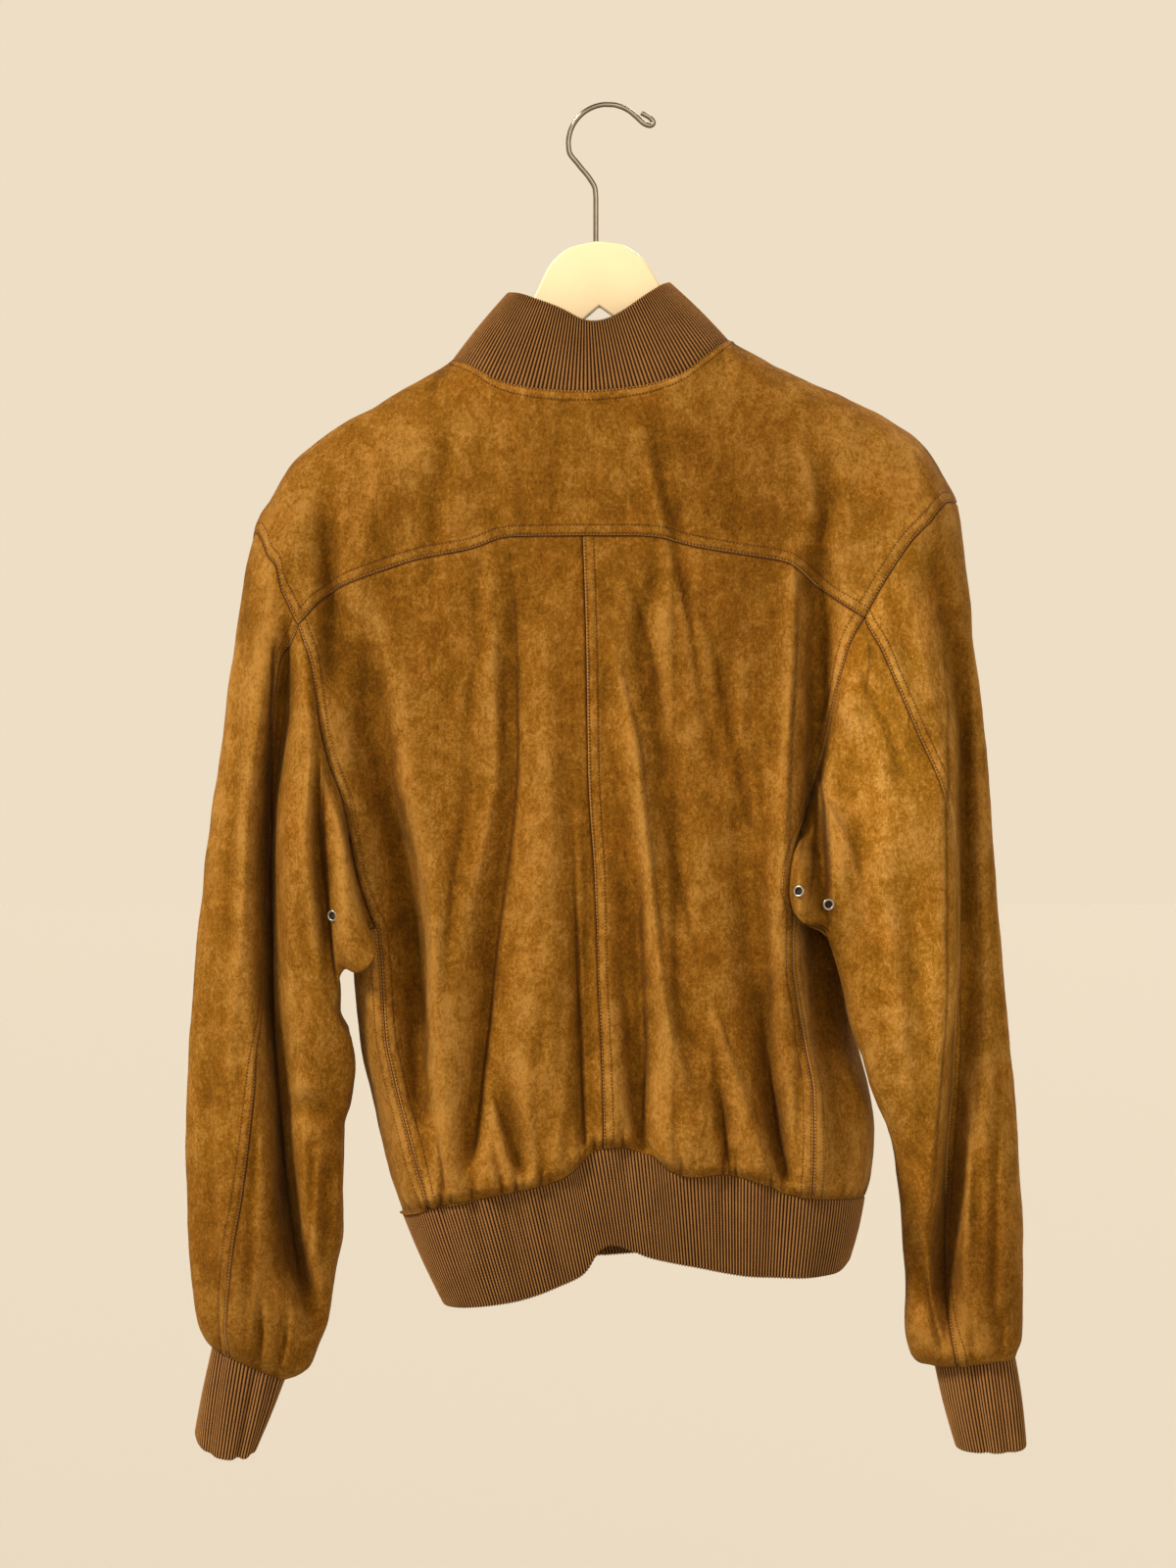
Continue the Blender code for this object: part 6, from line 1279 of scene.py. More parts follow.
outer_faces, seam_distance, edge_distance, hollow_shades = {}, {}, {}, {}
for name, grid in panels.items():
    over = {edge_of(name, word) for word in OVER[name]}
    relief = unevenness(grid)
    nearest, nearest_over = np.full(grid.shape[:2], FAR_EDGE), np.full(grid.shape[:2], FAR_EDGE)
    moved = grid.copy()
    for edge, lines in border(grid).items():
        distance = from_edge(grid, edge)
        if edge in over:
            nearest_over = np.minimum(nearest_over, distance)
        else:
            nearest = np.minimum(nearest, distance)
        if edge == "bottom" or (edge == "top" and name.startswith("back_yoke")):
            relief *= 0.25 + 0.75 * ease(distance / 9)
        relief += seam_relief(distance, edge in over, ROW_INSETS)
        into = {"top": moved[1, :] - moved[0, :], "bottom": moved[-2, :] - moved[-1, :],
                "left": moved[:, 1] - moved[:, 0], "right": moved[:, -2] - moved[:, -1]}[edge]
        moved[lines] += unit(into) * DRAWN_BACK
    outer_faces[name] = moved + normals[name] * relief[..., None]
    seam_distance[name], edge_distance[name] = nearest, nearest_over
    # Painted shade in the hollows and painted light on the swells: how far each point lies in or out from its
    # evened-out surroundings, faded in above the hem.
    broad = grid @ (0, 1, 0)
    around = broad.copy()
    for _ in range(HOLLOW_ROUNDS):
        around[1:-1, 1:-1] = (around[:-2, 1:-1] + around[2:, 1:-1] + around[1:-1, :-2] + around[1:-1, 2:]) / 4
    above_hem = ease(from_edge(grid, "bottom") / HEM_REACH) if name != "back_yoke" else 1.0
    hollow_shades[name] = np.clip((broad - around) * np.sign(normals[name][..., 1]), -3, 3) * above_hem


# Painted shade: a dark line along the sharp foot of a fold and in each gather.
SHARP, BLUNT = 2.2, 3.0  # a fold's smaller reach, where its foot gets the full painted shade and none
BODY_LINE, SLEEVE_LINE = 2.1, 2.6  # half width of the painted shade line at a fold's foot
GATHER_LINE = 2.2  # half width of the painted shade line in a gather
RIDGE_FOOT = 1.3  # where a ridge's steep flank ends, in its reaches
SHADED_HEIGHT = 4.5  # of a fold whose foot gets the full painted shade
PAINTED_LIGHT_TABLE = (  # painted light and shade on the suede, for its lit and shaded stretches and thin painted shade lines along the sleeve gaps and the left pouch: x, drop, reach across and down, and by how much
    (92, 340, 38, 70, -0.20), (108, 630, 26, 80, -0.14), (105, 235, 60, 42, -0.14), (190, 420, 36, 100, 0.62),
    (216, 600, 36, 100, 0.58), (138, 500, 9, 42, -0.35), (245, 790, 60, 62, -0.34),
    (-240, 795, 60, 66, -0.32),
    (152, 640, 20, 80, -0.25), (-150, 640, 22, 70, -0.18), (-40, 240, 60, 34, 0.06), (-95, 420, 30, 60, 0.04),
    (30, 560, 20, 120, 0.06), (-255, 480, 22, 120, 0.05), (262, 420, 20, 120, -0.05),
    (243, 420, 8, 130, -0.35),
    (-240, 890, 70, 40, -0.20), (-227, 520, 3.2, 110, -0.55), (-220, 715, 3.6, 55, -0.5),
    (-189, 515, 2.6, 45, -0.45), (-164, 430, 6, 60, -0.15),
)


def painted_light_of(points, facing):
    """How much painted light and shade the suede gets here, by the table on the back and by its mirror image
    on the front.
    """
    x = np.where(facing[..., 1] < 0, points[..., 0], -points[..., 0])
    painted_light = np.ones(x.shape)
    for middle, drop, across, down, amount in PAINTED_LIGHT_TABLE:
        painted_light += amount * np.exp(-(((x - middle) / across) ** 2) - (((-points[..., 2] - drop) / down) ** 2))
    return painted_light


def crease_shade(folds, x, drop, side, reach):
    """How much painted shade the sharp foot of a fold puts on these points, from 0 to 1."""
    shade = np.zeros(x.shape)
    for which, rows in folds.values():
        drops, middle, height, left, right = np.array(rows, float).T
        height, left, right = (glide(drop, drops, values) for values in (height, left, right))
        sharp = np.clip((BLUNT - np.minimum(left, right)) / (BLUNT - SHARP), 0, 1)
        sharp *= np.clip(np.abs(height) / SHADED_HEIGHT, 0, 1)
        flank = np.where(right < left, RIDGE_FOOT * right, -RIDGE_FOOT * left)
        foot = glide(drop, drops, middle) + np.where(height < 0, 0, flank)
        sharp = sharp * np.clip(1 - np.abs(x - foot) / reach, 0, 1)
        shade = np.maximum(shade, np.where(side == which, sharp, 0))
    return shade


def gather_shade(x, drop, side):
    """How much painted shade the small gathers above the waist seam put on these points, from 0 to 1."""
    shade = np.zeros(x.shape)
    above = waist_drop(x, side) - drop
    for which in (BACK, FRONT):
        pleats = [(middle, GATHER_DEPTH, GATHER_REACH, GATHER_HEIGHT) for middle in GATHERS[which]]
        for middle, deep, _, height in pleats + list(FINE_GATHERS[which]):
            dark = np.clip(deep / GATHER_DEPTH, 0, 1) * ease(1 - above / height) * ease(above / 2)
            dark = dark * np.clip(1 - np.abs(x - middle) / GATHER_LINE, 0, 1)
            shade = np.maximum(shade, np.where(side == which, dark, 0))
    return shade


def suede_look(name, dark, middle, light):
    """Brushed suede: crisp-edged patches where the nap lies differently and fine flecks, with painted light
    and shade: a painted highlight on the rolled seam edges, painted shade in the seam gaps, along the stitch
    rows, in the hollows and at the folds' feet, painted light on the swells, and the table of painted light
    and shade.
    """
    look = Look(name, Roughness=0.95, Sheen_Weight=0.14, Sheen_Roughness=0.45, Specular_IOR_Level=0.08)
    look.shader.inputs["Sheen Tint"].default_value = (0.80, 0.48, 0.16, 1)
    place = look.place()
    seam, edge, painted_hollow_shade = (look.mark(word) for word in ("seam", "edge", "painted_hollow_shade"))
    painted_light, crease = look.mark("painted_light"), look.mark("crease")
    clouds = look.noise(place, 13.0, 3.0, 0.5, 0.4)
    streaks = ((look.noise(look.place((1, 1, 0.10)), 150.0, 5.0, 0.62, 0.6) - 0.5) * 5.0 + 0.5).held()
    brushed = ((look.noise(place, 24.0, 12.0, 0.70, 0.5) - 0.5) * 8.0 + 0.5).held()
    patches = ((look.noise(look.place((1, 1, 0.75)), 66.0, 12.0, 0.74, 0.7) - 0.5) * 7.5 + 0.5).held()
    nap = look.noise(place, 1300.0, 2.0, 0.6)
    grain = look.noise(look.place((1, 1, 0.8)), 480.0, 4.0, 0.75)
    fleck = ((look.noise(look.place((1.2, 1, 0.9)), 620.0, 2.0, 0.6, 0.8) - 0.60) * 7).held()
    shade = 0.48 + (clouds - 0.5) * 0.15 + (brushed - 0.5) * 0.14 + (patches - 0.5) * 0.19
    shade = shade + (streaks - 0.5) * 0.07 + (nap - 0.5) * 0.70 + (grain - 0.5) * 1.15
    # Painted shade in the hollows and painted light on the swells.
    shade = shade + fleck * 0.13 + painted_hollow_shade * 0.075
    # Painted highlight along the rolled edge of each lapped seam.
    rolled = (1 - ((edge - 0.95).size() / 0.95)).held()
    # Painted shade along the two rows of stitches, where the thread sinks into the suede.
    rows = (1 - (edge - ROW_INSETS[0]).size() / 0.7).held() + (1 - (edge - ROW_INSETS[1]).size() / 0.7).held()
    # A little lighter over the welt beside a lapped seam.
    lighter_welt = (1 - (edge - 4.0).size() / 6.0).held()
    shade = (shade + lighter_welt * 0.10 - rows * 0.26).held()
    colour = look.node("ValToRGB", (shade,), stops=((0.12, dark), (0.5, middle), (0.90, light)))
    hue = ((look.noise(place, 21.0, 6.0, 0.6) - 0.45) * 4).held()
    colour = look.blend(hue * 0.35, colour, look.tinted(colour, (1.06, 0.86, 0.62)))
    # Painted light and shade from the table of tones, with the darker places also more saturated.
    colour = look.tinted(colour, look.node("CombineXYZ", (painted_light, painted_light ** 1.2, painted_light ** 1.8)))
    # Painted shade along the sharp feet of folds and in the gathers.
    colour = look.blend((crease * 1.4 - 0.25).held() * 0.85, colour, (0.040, 0.012, 0.002))
    # Painted highlight on the rolled seam edges.
    colour = look.blend(rolled * 0.62, colour, (0.43, 0.22, 0.06))
    # Painted shade in the gap of each seam and at the very edge of a lapped one.
    seam_gap_shade = (1 - seam / 1.7).held() + (1 - edge / 0.25).held()
    look.set("Base Color", look.blend(seam_gap_shade.held() * 0.88, colour, (0.045, 0.010, 0.002)))
    look.set("Roughness", 0.88 + 0.12 * nap)
    look.bump(nap * 0.4 + grain * 1.0 + patches * 0.5 + streaks * 0.5, 0.40 * MM, 0.8)
    return look


BODY_SHADES = ((0.094, 0.036, 0.0015), (0.205, 0.085, 0.0060), (0.365, 0.188, 0.040))
SLEEVE_SHADES = ((0.097, 0.038, 0.0015), (0.210, 0.088, 0.0060), (0.370, 0.190, 0.040))
SUEDE = {kind: suede_look(f"suede_{kind}", *shades)
         for kind, shades in (("back", BODY_SHADES), ("front", BODY_SHADES), ("sleeve", SLEEVE_SHADES))}


def wall(outer, normal, thickness):
    """Points and faces of a closed wall whose outer face is the grid, with its rim."""
    rows, columns = outer.shape[:2]
    count = rows * columns
    points = np.vstack([outer.reshape(-1, 3), (outer - normal * thickness).reshape(-1, 3)])
    a = (np.arange(rows - 1)[:, None] * columns + np.arange(columns - 1)).ravel()
    faces = [np.stack([a, a + 1, a + columns + 1, a + columns], axis=1),
             np.stack([a, a + columns, a + columns + 1, a + 1], axis=1) + count]
    rim = np.concatenate([np.arange(columns), np.arange(1, rows) * columns + columns - 1,
                          (rows - 1) * columns + np.arange(columns - 2, -1, -1),
                          np.arange(rows - 2, 0, -1) * columns])
    ahead = np.roll(rim, -1)
    faces.append(np.stack([ahead, rim, rim + count, ahead + count], axis=1))
    return points, np.vstack(faces)


def new_piece(points, faces, attributes=None):
    """A smooth mesh object made from points in millimetres."""
    mesh = bpy.data.meshes.new("piece")
    mesh.from_pydata((points * MM).tolist(), [], faces.tolist() if isinstance(faces, np.ndarray) else faces)
    for word, values in (attributes or {}).items():
        mesh.attributes.new(word, "FLOAT", "POINT").data.foreach_set("value", np.asarray(values, np.float32))
    mesh.shade_smooth()
    piece = bpy.data.objects.new("piece", mesh)
    bpy.context.scene.collection.objects.link(piece)
    return piece


for name, outer in outer_faces.items():
    points, faces = wall(outer, normals[name], SUEDE_WALL)
    hand = name.split("_")[1]
    x, drop, side = panels[name][..., 0], -panels[name][..., 2], np.sign(normals[name][..., 1])
    # The crease mark is painted shade along the folds' sharp feet and in the gathers.
    if "sleeve" in name:
        crease = crease_shade(SOFT_SLEEVE_FOLDS[hand], x, drop, side, SLEEVE_LINE)
    else:
        crease = np.maximum(crease_shade(SOFT_FOLDS, x, drop, side, BODY_LINE), gather_shade(x, drop, side))
    marks = {  # each with its value on the wall's inner face
        "seam": (seam_distance[name], FAR_SEAM),
        "edge": (edge_distance[name], FAR_EDGE),
        "painted_hollow_shade": (hollow_shades[name], 0.0),
        "painted_light": (painted_light_of(outer, normals[name]), 1.0),
        "crease": (crease, 0.0),
    }
    piece = new_piece(points, faces, {word: np.concatenate([values.ravel(), np.full(values.size, inner)])
                                      for word, (values, inner) in marks.items()})
    kind = name.split("_")[0]
    finish_piece(piece, f"suede_{name}", SUEDE[kind], [name])


# ================================================================ the topstitching
# Rows of reddish brown thread through both layers, 2.3 mm a stitch: two rows along every lapped seam, round
# the neck and down the front edges. Each stitch is a small lozenge, half sunk in the suede.
STITCH, STITCH_PITCH = 1.45, 2.3
THREAD_WIDTH, THREAD_HEIGHT = 0.55, 0.28
STITCH_SIDES = 4
STITCH_LIFT, STITCH_SINK = 0.06, 0.2  # of its middle line, and of its two ends below that
STITCHED = (  # panel and edge
    ("back_yoke", "bottom"), ("back_yoke", "left"), ("back_yoke", "right"), ("back_yoke", "top"),
    ("back_right", "left"), ("back_left", "left"), ("back_right", "right"), ("sleeve_left_outer", "seam"),
    ("sleeve_right_outer", "seam"), ("front_left", "armhole"), ("front_right", "armhole"),
    ("front_left", "front"), ("front_right", "front"),
)


def row_line(name, edge, inset):
    """The line that a row of stitches follows on a panel, with its outward normals."""
    grid, normal = outer_faces[name], normals[name]
    distance = from_edge(grid, edge)
    if edge in ("top", "bottom"):
        grid, normal, distance = grid.swapaxes(0, 1), normal.swapaxes(0, 1), distance.swapaxes(0, 1)
    if edge in ("right", "bottom"):
        grid, normal, distance = grid[:, ::-1], normal[:, ::-1], distance[:, ::-1]
    line, facing = (np.vstack([between([inset], reach, row) for reach, row in zip(distance, rows)])
                    for rows in (grid, normal))
    return line, unit(facing)


def stitches(line, facing):
    """Points and faces of a row of stitches, each a small half-sunk lozenge of thread."""
    reach = along(line)
    count = int((reach[-1] - 2 * STITCH_PITCH) / STITCH_PITCH)
    middles = STITCH_PITCH * (1.0 + np.arange(count))
    chance = np.random.default_rng(count)
    middles = middles + chance.uniform(-0.15, 0.15, count)
    start, end = (between(middles + half, reach, line) for half in (-STITCH / 2, STITCH / 2))
    up = unit(between(middles, reach, facing))
    ahead = end - start
    across = unit(np.cross(up, ahead))
    turns = np.arange(STITCH_SIDES) * 2 * math.pi / STITCH_SIDES
    rings = []
    for share, size in ((0.0, 0.4), (0.5, 1.0), (1.0, 0.4)):
        for turn in turns:
            rings.append(start + ahead * share + across * THREAD_WIDTH * size * math.cos(turn)
                         + up * (THREAD_HEIGHT * size * math.sin(turn) + STITCH_LIFT
                                 - STITCH_SINK * (share in (0.0, 1.0))))
    points = np.stack(rings, axis=1)
    n = STITCH_SIDES
    faces = [[r * n + s, r * n + (s + 1) % n, (r + 1) * n + (s + 1) % n, (r + 1) * n + s]
             for r in range(2) for s in range(n)]
    caps = [list(range(n))[::-1], [2 * n + s for s in range(n)]]
    faces = [[3 * n * k + v for v in face] for k in range(count) for face in faces + caps]
    return points.reshape(-1, 3), faces


def thread_look():
    look = Look("stitching_thread", Roughness=0.6)
    fibre = look.noise(look.place(), 1100.0, 2.0)
    look.set("Base Color", look.blend(fibre, (0.022, 0.005, 0.0015), (0.065, 0.016, 0.004)))
    look.bump(fibre, 0.08 * MM, 0.5)
    return look


THREAD = thread_look()
sewn = {}
for name, word in STITCHED:
    for inset in ROW_INSETS:
        points, faces = stitches(*row_line(name, edge_of(name, word), inset))
        all_points, all_faces = sewn.setdefault(name, ([], []))
        first = sum(len(p) for p in all_points)
        all_points.append(points)
        all_faces += [[first + v for v in face] for face in faces]
for name, (all_points, all_faces) in sewn.items():
    piece = new_piece(np.vstack(all_points), all_faces)
    finish_piece(piece, f"stitching_{name}", THREAD, [])


# ================================================================ the knitted bands: collar, waistband, cuffs
# 1x1 rib in brown wool, knitted double and sewn to the suede along its raw edges, with the fold as the free
# edge. The ribs run up and down each band and stand open where it is stretched.
RIB_WALL = 2.4
TUCKED_IN = 3.0  # how far the band reaches up behind the suede
RIB_STEP, RIB_RISE = 2.25, 0.95
RIB_SAMPLES = (0.0, 0.14, 0.36, 0.64, 0.86)  # places across one rib, from groove to groove
COURSE = 1.5  # height of one knitted row
BAND_ROW = 4.2  # height of one row of the mesh
BAND_WAVE, BAND_BELLY = 0.28, 0.9  # height of a band's slow waves and of its outward swell
BAND_HEM = {
    BACK: ((811, -112), (812, -103), (807, -61), (796, -29), (786, -11), (771, -4), (768, 5), (770, 13),
           (776, 26), (784, 63), (790, 99), (791, 136), (789, 157), (781, 167)),
    FRONT: ((808, -112), (798, -60), (785, 0), (782, 60), (783, 90), (780, 167)),
}
COLLAR_RIM = {
    BACK: ((125, -66), (130, -51), (139, -28), (147, -11), (147, -5), (138, 15), (128, 29), (118, 44)),
    FRONT: ((125, -66), (163, -45), (188, -25), (192, -5), (184, 12), (158, 28), (118, 44)),
}
COLLAR_MIDDLE, COLLAR_HALF_RIM = -11.0, 55.0  # the rim's middle and half width
COLLAR_DRAW_IN = 0.70  # rim depth over base depth
BAND_DRAW_IN = 0.97  # hem depth over waist depth
# Cuff hems: middle drop and x, half width, half depth, then how far the near side falls and leans, and
# the rise to +X.
CUFF_HEM = {
    "left": dict(drop=906, x=-258, width=20, depth=19, fall=11, lean=5, rise=0),
    "right": dict(drop=909, x=263, width=24, depth=19, fall=4, lean=-2, rise=2),
}
WAIST_GAP = 0.8


def in_x_order(row, rising):
    """A border row of points, run so that X rises or falls."""
    return row if (row[-1, 0] > row[0, 0]) == rising else row[::-1]


def joined(*rows):
    """Rows that meet end to end, as one line."""
    return np.vstack([rows[0]] + [row[1:] for row in rows[1:]])


def by_side(tables, x, y):
    """Drop at X on the back's or the front's line, eased from one to the other where the band turns."""
    to_back = ease(0.5 - y / 30)
    return to_back * table_line(tables[BACK], x) + (1 - to_back) * table_line(tables[FRONT], x)


def inward_of(line, closed):
    """Level directions across a line, to its inner side."""
    ahead = np.gradient(line, axis=0)
    if closed:
        ahead[0] = ahead[-1] = (line[1] - line[-2]) / 2
    across = unit(np.cross(ahead, (0, 0, 1.0)))
    return across * np.sign(np.sum(across * (line.mean(axis=0) - line)))


def waistband_lines():
    """The waistband's upper line and hem, from the left front's edge round the back to the right front's."""
    left = in_x_order(panels["front_left"][-1], False)
    line = joined(left, in_x_order(panels["back_left"][-1], True), in_x_order(panels["back_right"][-1], True),
                  in_x_order(panels["front_right"][-1], False))
    lap = np.where(np.arange(len(line)) < len(left), lap_of(line[:, 0], "left"), 0)
    first, last = line[:, 0].min(), line[:, 0].max()
    hem_first, hem_last = BAND_HEM[BACK][0][1], BAND_HEM[BACK][-1][1]
    x = hem_first + (line[:, 0] - first) * (hem_last - hem_first) / (last - first)
    y = (line[:, 1] - lap) * BAND_DRAW_IN + lap
    return line - (0, 0, WAIST_GAP), np.stack([x, y, -by_side(BAND_HEM, x, y)], axis=1)


def collar_lines():
    """The collar's base and rim, from the left front's edge round the back to the right front's."""
    count = len(SHOULDER_SHARES) - 1
    left = in_x_order(panels["front_left"][0], True)[count:][::-1]
    back = in_x_order(panels["back_yoke"][0], True)[count:-count]
    right = in_x_order(panels["front_right"][0], False)[count:]
    line = joined(left, back, right)
    lap = np.where(np.arange(len(line)) < len(left), lap_of(line[:, 0], "left"), 0)
    middle = (line[:, 0].min() + line[:, 0].max()) / 2
    half = (line[:, 0].max() - line[:, 0].min()) / 2
    x = COLLAR_MIDDLE + (line[:, 0] - middle) / half * COLLAR_HALF_RIM
    y = (line[:, 1] - lap) * COLLAR_DRAW_IN + lap
    base = line + inward_of(line, False) * 0.4 + (0, 0, SEAM_GAP)
    return base, np.stack([x, y, -by_side(COLLAR_RIM, x, y)], axis=1)


def cuff_lines(hand):
    """A cuff's upper line and hem, once round."""
    line = joined(panels[f"sleeve_{hand}_under"][-1], panels[f"sleeve_{hand}_outer"][-1])
    if np.linalg.norm(line[0] - line[-1]) > 1:
        under, outer = panels[f"sleeve_{hand}_under"][-1], panels[f"sleeve_{hand}_outer"][-1]
        line = joined(under[::-1], outer[::-1])
    hem = CUFF_HEM[hand]
    low, high = line.min(axis=0), line.max(axis=0)
    across, through = ((2 * line - low - high) / (high - low)).T[:2]
    x = hem["x"] + hem["width"] * across - hem["lean"] * through
    drop = hem["drop"] - hem["fall"] * through - hem["rise"] * across
    return line - (0, 0, SEAM_GAP / 2), np.stack([x, hem["depth"] * through, -drop], axis=1)


def knit_look():
    """1x1 rib: rounded light ribs of slanting loops, painted shade in the grooves between them, and a little
    fluff.
    """
    look = Look("brown_rib_knit", Roughness=0.95, Sheen_Weight=0.12, Sheen_Roughness=0.5,
                Specular_IOR_Level=0.08)
    look.shader.inputs["Sheen Tint"].default_value = (0.80, 0.50, 0.26, 1)
    painted_groove_shade, rib, course = (look.mark(word) for word in ("painted_groove_shade", "rib", "course"))
    side = ((rib.fraction() - 0.5) * 2).size()
    loop = ((course + side * 0.55).fraction() - 0.5).size() * 2
    fluff = look.noise(look.place(), 1300.0, 3.0, 0.7)
    patches = look.noise(look.place(), 45.0, 4.0, 0.6)
    # Painted shade in the grooves between the ribs.
    light = (0.92 - painted_groove_shade * 1.15 + loop * 0.12 + (fluff - 0.5) * 0.6 + (patches - 0.5) * 0.25).held()
    look.set("Base Color", look.node("ValToRGB", (light,), stops=(
        (0.0, (0.008, 0.002, 0.001)), (0.45, (0.066, 0.025, 0.005)), (1.0, (0.355, 0.178, 0.060)))))
    look.bump((1 - side) * 0.25 + loop * 0.4 + fluff * 0.35, 0.4 * MM, 0.8)
    return look


def knit_band(upper, lower, closed):
    """Points, faces and the knit's own measures of a band between its sewn line and its folded edge."""
    reach = along((upper + lower) / 2)
    ribs = int(round(reach[-1] / RIB_STEP))
    places = np.concatenate([(np.arange(ribs)[:, None] + RIB_SAMPLES).ravel(), [ribs]])
    share, height = reach / reach[-1], np.linalg.norm(upper - lower, axis=1).mean()
    rows = int(height / BAND_ROW)
    sewn_line, fold = (between(places / ribs, share, line) for line in (upper, lower))
    wide = len(RIB_SAMPLES) * 6
    kernel = np.hanning(2 * wide + 1) / np.hanning(2 * wide + 1).sum()
    if not closed:
        fold = averaged(*mirrored(fold, wide), kernel)
    toward = unit(sewn_line - fold)
    outward = grid_normals(np.array([sewn_line, (sewn_line + fold) / 2, fold]))[1]
    for line in (outward, toward):
        before, after = line[:1].repeat(wide, 0), line[-1:].repeat(wide, 0)
        if closed:
            before, after = line[-wide - 1:-1], line[1:wide + 1]
        line[:] = unit(averaged(before, line, after, kernel))
    if np.sum(outward * (inward_of(sewn_line, closed))) > 0:
        outward = -outward
    radius = RIB_WALL / 2
    fold = fold + toward * radius
    across = places % 1.0
    crest = 1 - np.abs(2 * across - 1) ** 1.7
    rise = (crest - 0.45) * RIB_RISE
    levels = [(0.0, 0.0, TUCKED_IN, 0.0), *((v, 0.0, 0.0, 1.0) for v in np.linspace(0, 1, rows + 1))]
    levels += [(1.0, turn, 0.0, 1.0) for turn in np.radians((30, 60, 90, 120, 150))]
    levels += [(v, math.pi, 0.0, 0.55) for v in np.linspace(1, 0, 5)]
    levels += [(0.0, math.pi, TUCKED_IN, 0.0)]
    chance = np.random.default_rng(ribs)
    phase = chance.uniform(0, 2 * math.pi, 6)
    lengths = chance.uniform(28, 75, 6)
    points = []
    for v, turn, tucked, share_of_rise in levels:
        base = sewn_line * (1 - v) + fold * v
        swell = sum(np.sin(2 * math.pi * places * RIB_STEP / length + start)
                    for length, start in zip(lengths, phase))
        swell = BAND_WAVE * swell * v * (0.5 if closed else 1)
        swell += BAND_BELLY * math.sin(math.pi * min(v, 1))
        out = radius * (math.cos(turn) - 1) + rise * share_of_rise * math.cos(turn) + swell
        down = (radius + rise * share_of_rise) * math.sin(turn)
        points.append(base + outward * (out - tucked * 0.6)[:, None] - toward * (down - tucked)[:, None])
    grid = np.array(points)
    courses = along(grid[:, ::40].mean(axis=1)) / COURSE
    if closed:
        grid, places, crest = grid[:, :-1], places[:-1], crest[:-1]
    levels_count, columns = grid.shape[:2]
    i, j = np.meshgrid(np.arange(levels_count), np.arange(columns if closed else columns - 1), indexing="ij")
    ahead, below = (j + 1) % columns, (i + 1) % levels_count
    corners = (i, j), (below, j), (below, ahead), (i, ahead)
    faces = np.stack([row * columns + column for row, column in corners], axis=-1).reshape(-1, 4).tolist()
    if not closed:
        faces += [[k * columns for k in range(levels_count)][::-1],
                  [k * columns + columns - 1 for k in range(levels_count)]]
    shape = np.ones((levels_count, 1))
    marks = {"painted_groove_shade": (shape * (1 - crest)).ravel(), "rib": (shape * places).ravel(),
             "course": (courses[:, None] * np.ones(columns)).ravel()}
    return grid.reshape(-1, 3), faces, marks


KNIT = knit_look()
BANDS = {  # lines, whether closed, and the width and depth of the knitted strip laid flat
    "collar": (collar_lines()[::-1], False, (0.40, 0.075)),
    "waistband": (waistband_lines(), False, (0.66, 0.070)),
    "cuff_left": (cuff_lines("left"), True, (0.145, 0.060)),
    "cuff_right": (cuff_lines("right"), True, (0.155, 0.056)),
}
for name, (lines, closed, cut) in BANDS.items():
    sewn_line, free_edge = lines[::-1] if name == "collar" else lines
    points, faces, marks = knit_band(sewn_line, free_edge, closed)
    piece = new_piece(points, faces, marks)
    face_outward(piece)
    finish_piece(piece, f"rib_knit_{name}", KNIT, [f"{name}_rib"])


# ================================================================ the buttons
# Seven four-hole buttons in dark horn, turned with a raised rim and sewn on with two bars of thread, down the
# left front, on the collar and on the waistband.
BUTTON_RADIUS, BUTTON_THICKNESS, BUTTON_DISH = 7.5, 3.0, 0.7
BUTTON_HOLE, HOLE_SPREAD = 0.95, 1.7
THREAD_LEVEL = BUTTON_THICKNESS / 2 - BUTTON_DISH + 0.3  # of the bars' middle
BUTTONS = [f"button_{number}" for number in range(1, 8)]


def place_of(node):
    """Middle and outward direction of a flat round CAD node, in metres."""
    points = np.array([vertex.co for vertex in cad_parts[node].data.vertices])
    middle = points.mean(axis=0)
    way = np.linalg.svd(points - middle)[2][2]
    return middle, way * np.sign(way @ (middle * (1, 1, 0)))


def cylinder(radius, depth, spot=(0, 0, 0), sides=40):
    bpy.ops.object.select_all(action="DESELECT")
    bpy.ops.mesh.primitive_cylinder_add(vertices=sides, radius=radius * MM, depth=depth * MM,
                                        location=Vector(spot) * MM)
    bpy.ops.object.transform_apply(location=True, rotation=True, scale=True)
    return bpy.context.object


def top_only(piece):
    """Selects only the faces of a piece that look up, and goes into edit mode."""
    bpy.context.scene.tool_settings.mesh_select_mode = (False, False, True)
    for face in piece.data.polygons:
        face.select = face.normal.z > 0.99
    for edge in piece.data.edges:
        edge.select = False
    bpy.ops.object.mode_set(mode="EDIT")


def joined_pieces(pieces):
    """Several objects made into one."""
    bpy.ops.object.select_all(action="DESELECT")
    for piece in pieces:
        piece.select_set(True)
    bpy.context.view_layer.objects.active = pieces[0]
    bpy.ops.object.join()
    return bpy.context.object


def copies_at(node, way, patterns):
    """A copy of each pattern object, turned to face this way in the place of a CAD node."""
    turn = Vector(way).to_track_quat("Z", "Y").to_matrix().to_4x4()
    turn.translation = place_of(node)[0]
    for pattern, name, look, replaced in patterns:
        copy = bpy.data.objects.new(name, pattern.data.copy())
        bpy.context.scene.collection.objects.link(copy)
        copy.data.transform(turn)
        finish_piece(copy, name, look, replaced)


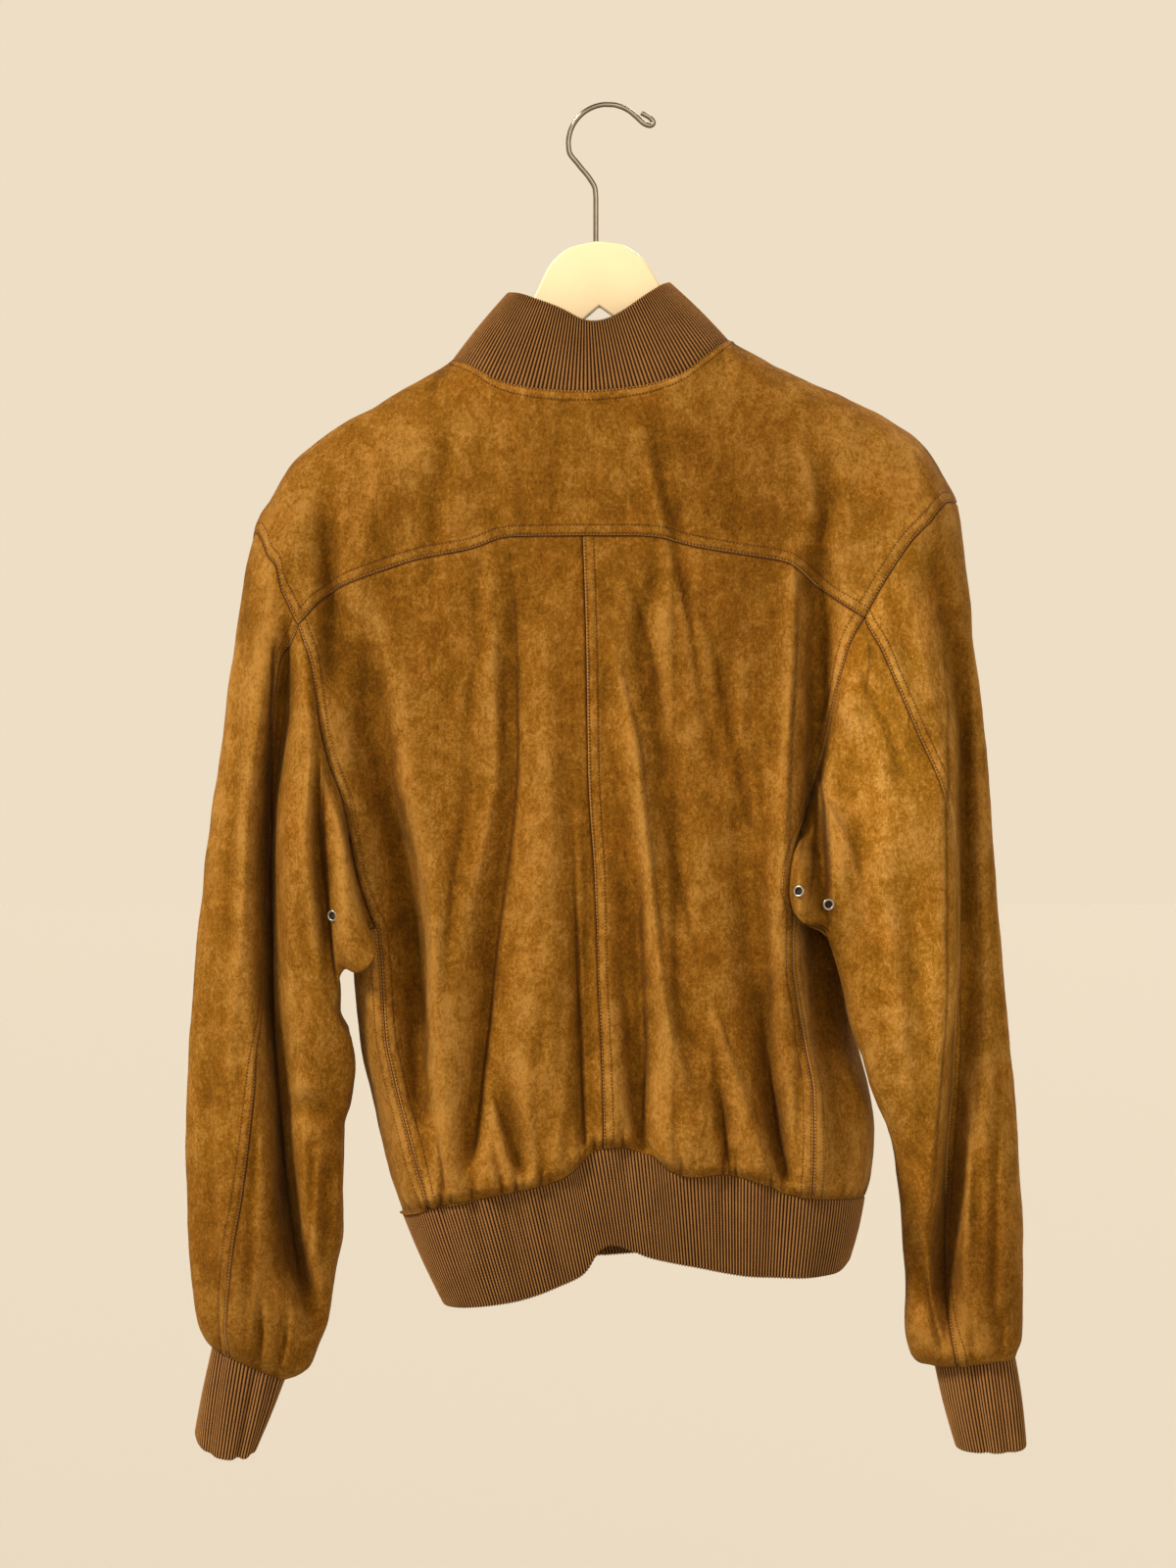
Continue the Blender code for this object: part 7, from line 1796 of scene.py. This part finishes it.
button = cylinder(BUTTON_RADIUS, BUTTON_THICKNESS)
top_only(button)
bpy.ops.mesh.inset(thickness=1.5 * MM)
bpy.ops.mesh.extrude_region_move(TRANSFORM_OT_translate={"value": (0, 0, -BUTTON_DISH * MM)})
bpy.ops.mesh.inset(thickness=0.7 * MM)
bpy.ops.object.mode_set(mode="OBJECT")
rim = button.modifiers.new("turned edges", "BEVEL")
rim.width, rim.segments, rim.angle_limit = 0.45 * MM, 3, math.radians(40)
bpy.ops.object.modifier_apply(modifier=rim.name)
holes = [cylinder(BUTTON_HOLE, 3 * BUTTON_THICKNESS, (x * HOLE_SPREAD, y * HOLE_SPREAD, 0), 16)
         for x in (-1, 1) for y in (-1, 1)]
drill = joined_pieces(holes)
bpy.ops.object.select_all(action="DESELECT")
button.select_set(True)
bpy.context.view_layer.objects.active = button
drilled = button.modifiers.new("thread holes", "BOOLEAN")
drilled.object, drilled.operation, drilled.solver = drill, "DIFFERENCE", "EXACT"
bpy.ops.object.modifier_apply(modifier=drilled.name)
bpy.data.objects.remove(drill)
bpy.ops.object.shade_smooth_by_angle(angle=math.radians(35))

horn = Look("dark_horn", Coat_Weight=0.3, Coat_Roughness=0.2)
streaks = horn.noise(horn.place((1, 0.25, 1)), 260.0, 4.0, 0.6, 1.2)
horn.set("Base Color", horn.blend(streaks, (0.020, 0.009, 0.004), (0.150, 0.075, 0.030)))
horn.set("Roughness", 0.28 + 0.2 * streaks)
horn.bump(horn.noise(horn.place(), 900.0), 0.03 * MM, 0.3)

thread_bars = []
for y in (-1, 1):
    bar = cylinder(0.42, 2 * HOLE_SPREAD + 1.0, sides=10)
    for vertex in bar.data.vertices:
        x, up = vertex.co.z, vertex.co.x
        vertex.co = (x, vertex.co.y + y * HOLE_SPREAD * MM, up + THREAD_LEVEL * MM)
    thread_bars.append(bar)
button_thread = joined_pieces(thread_bars)
face_outward(button_thread)
bpy.ops.object.shade_smooth_by_angle(angle=math.radians(40))

for node in BUTTONS:
    copies_at(node, place_of(node)[1], ((button, f"horn_{node}", horn, [node]),
                                                       (button_thread, f"{node}_thread", THREAD, [])))
bpy.data.objects.remove(button)
bpy.data.objects.remove(button_thread)


# ================================================================ the eyelets
# Two pressed metal eyelets under each arm, to let air through: a rolled ring with a short barrel, the barrel
# painted near black as the shade of the hole behind it.
EYELET_RING, EYELET_WIRE = 3.2, 0.75
bpy.ops.object.select_all(action="DESELECT")
bpy.ops.mesh.primitive_torus_add(major_radius=EYELET_RING * MM, minor_radius=EYELET_WIRE * MM,
                                 major_segments=48, minor_segments=16)
ring_piece = bpy.context.object
for vertex in ring_piece.data.vertices:
    vertex.co.z *= 0.8
bpy.ops.object.shade_smooth()
barrel = cylinder(EYELET_RING - 0.55, 1.2, (0, 0, -0.35), 48)
top_only(barrel)
bpy.ops.mesh.inset(thickness=0.35 * MM)
bpy.ops.mesh.extrude_region_move(TRANSFORM_OT_translate={"value": (0, 0, -0.9 * MM)})
bpy.ops.object.mode_set(mode="OBJECT")
bpy.ops.object.shade_smooth_by_angle(angle=math.radians(40))

nickel = Look("aged_nickel", Metallic=1.0)
age = nickel.noise(nickel.place(), 420.0, 4.0)
nickel.set("Base Color", nickel.blend(age, (0.22, 0.19, 0.15), (0.50, 0.46, 0.40)))
nickel.set("Roughness", 0.20 + 0.25 * age)
# Painted shade: the barrel is painted near black as the shade inside the hole.
hole_shade = Look("eyelet_hole_shade", Roughness=0.9)
hole_shade.set("Base Color", hole_shade.blend(hole_shade.noise(hole_shade.place(), 500.0), (0.006, 0.003, 0.002),
                                            (0.020, 0.010, 0.005)))
for node in sorted(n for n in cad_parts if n.startswith("eyelet")):
    way = place_of(node)[1]
    if way[1] * (1 if "left_2" in node else -1) < 0 and abs(way[1]) > 0.2:
        way = -way  # left_2 is the only one on the front
    copies_at(node, way, ((ring_piece, f"ring_{node}", nickel, [node]),
                                          (barrel, f"hole_{node}", hole_shade, [])))
bpy.data.objects.remove(ring_piece)
bpy.data.objects.remove(barrel)
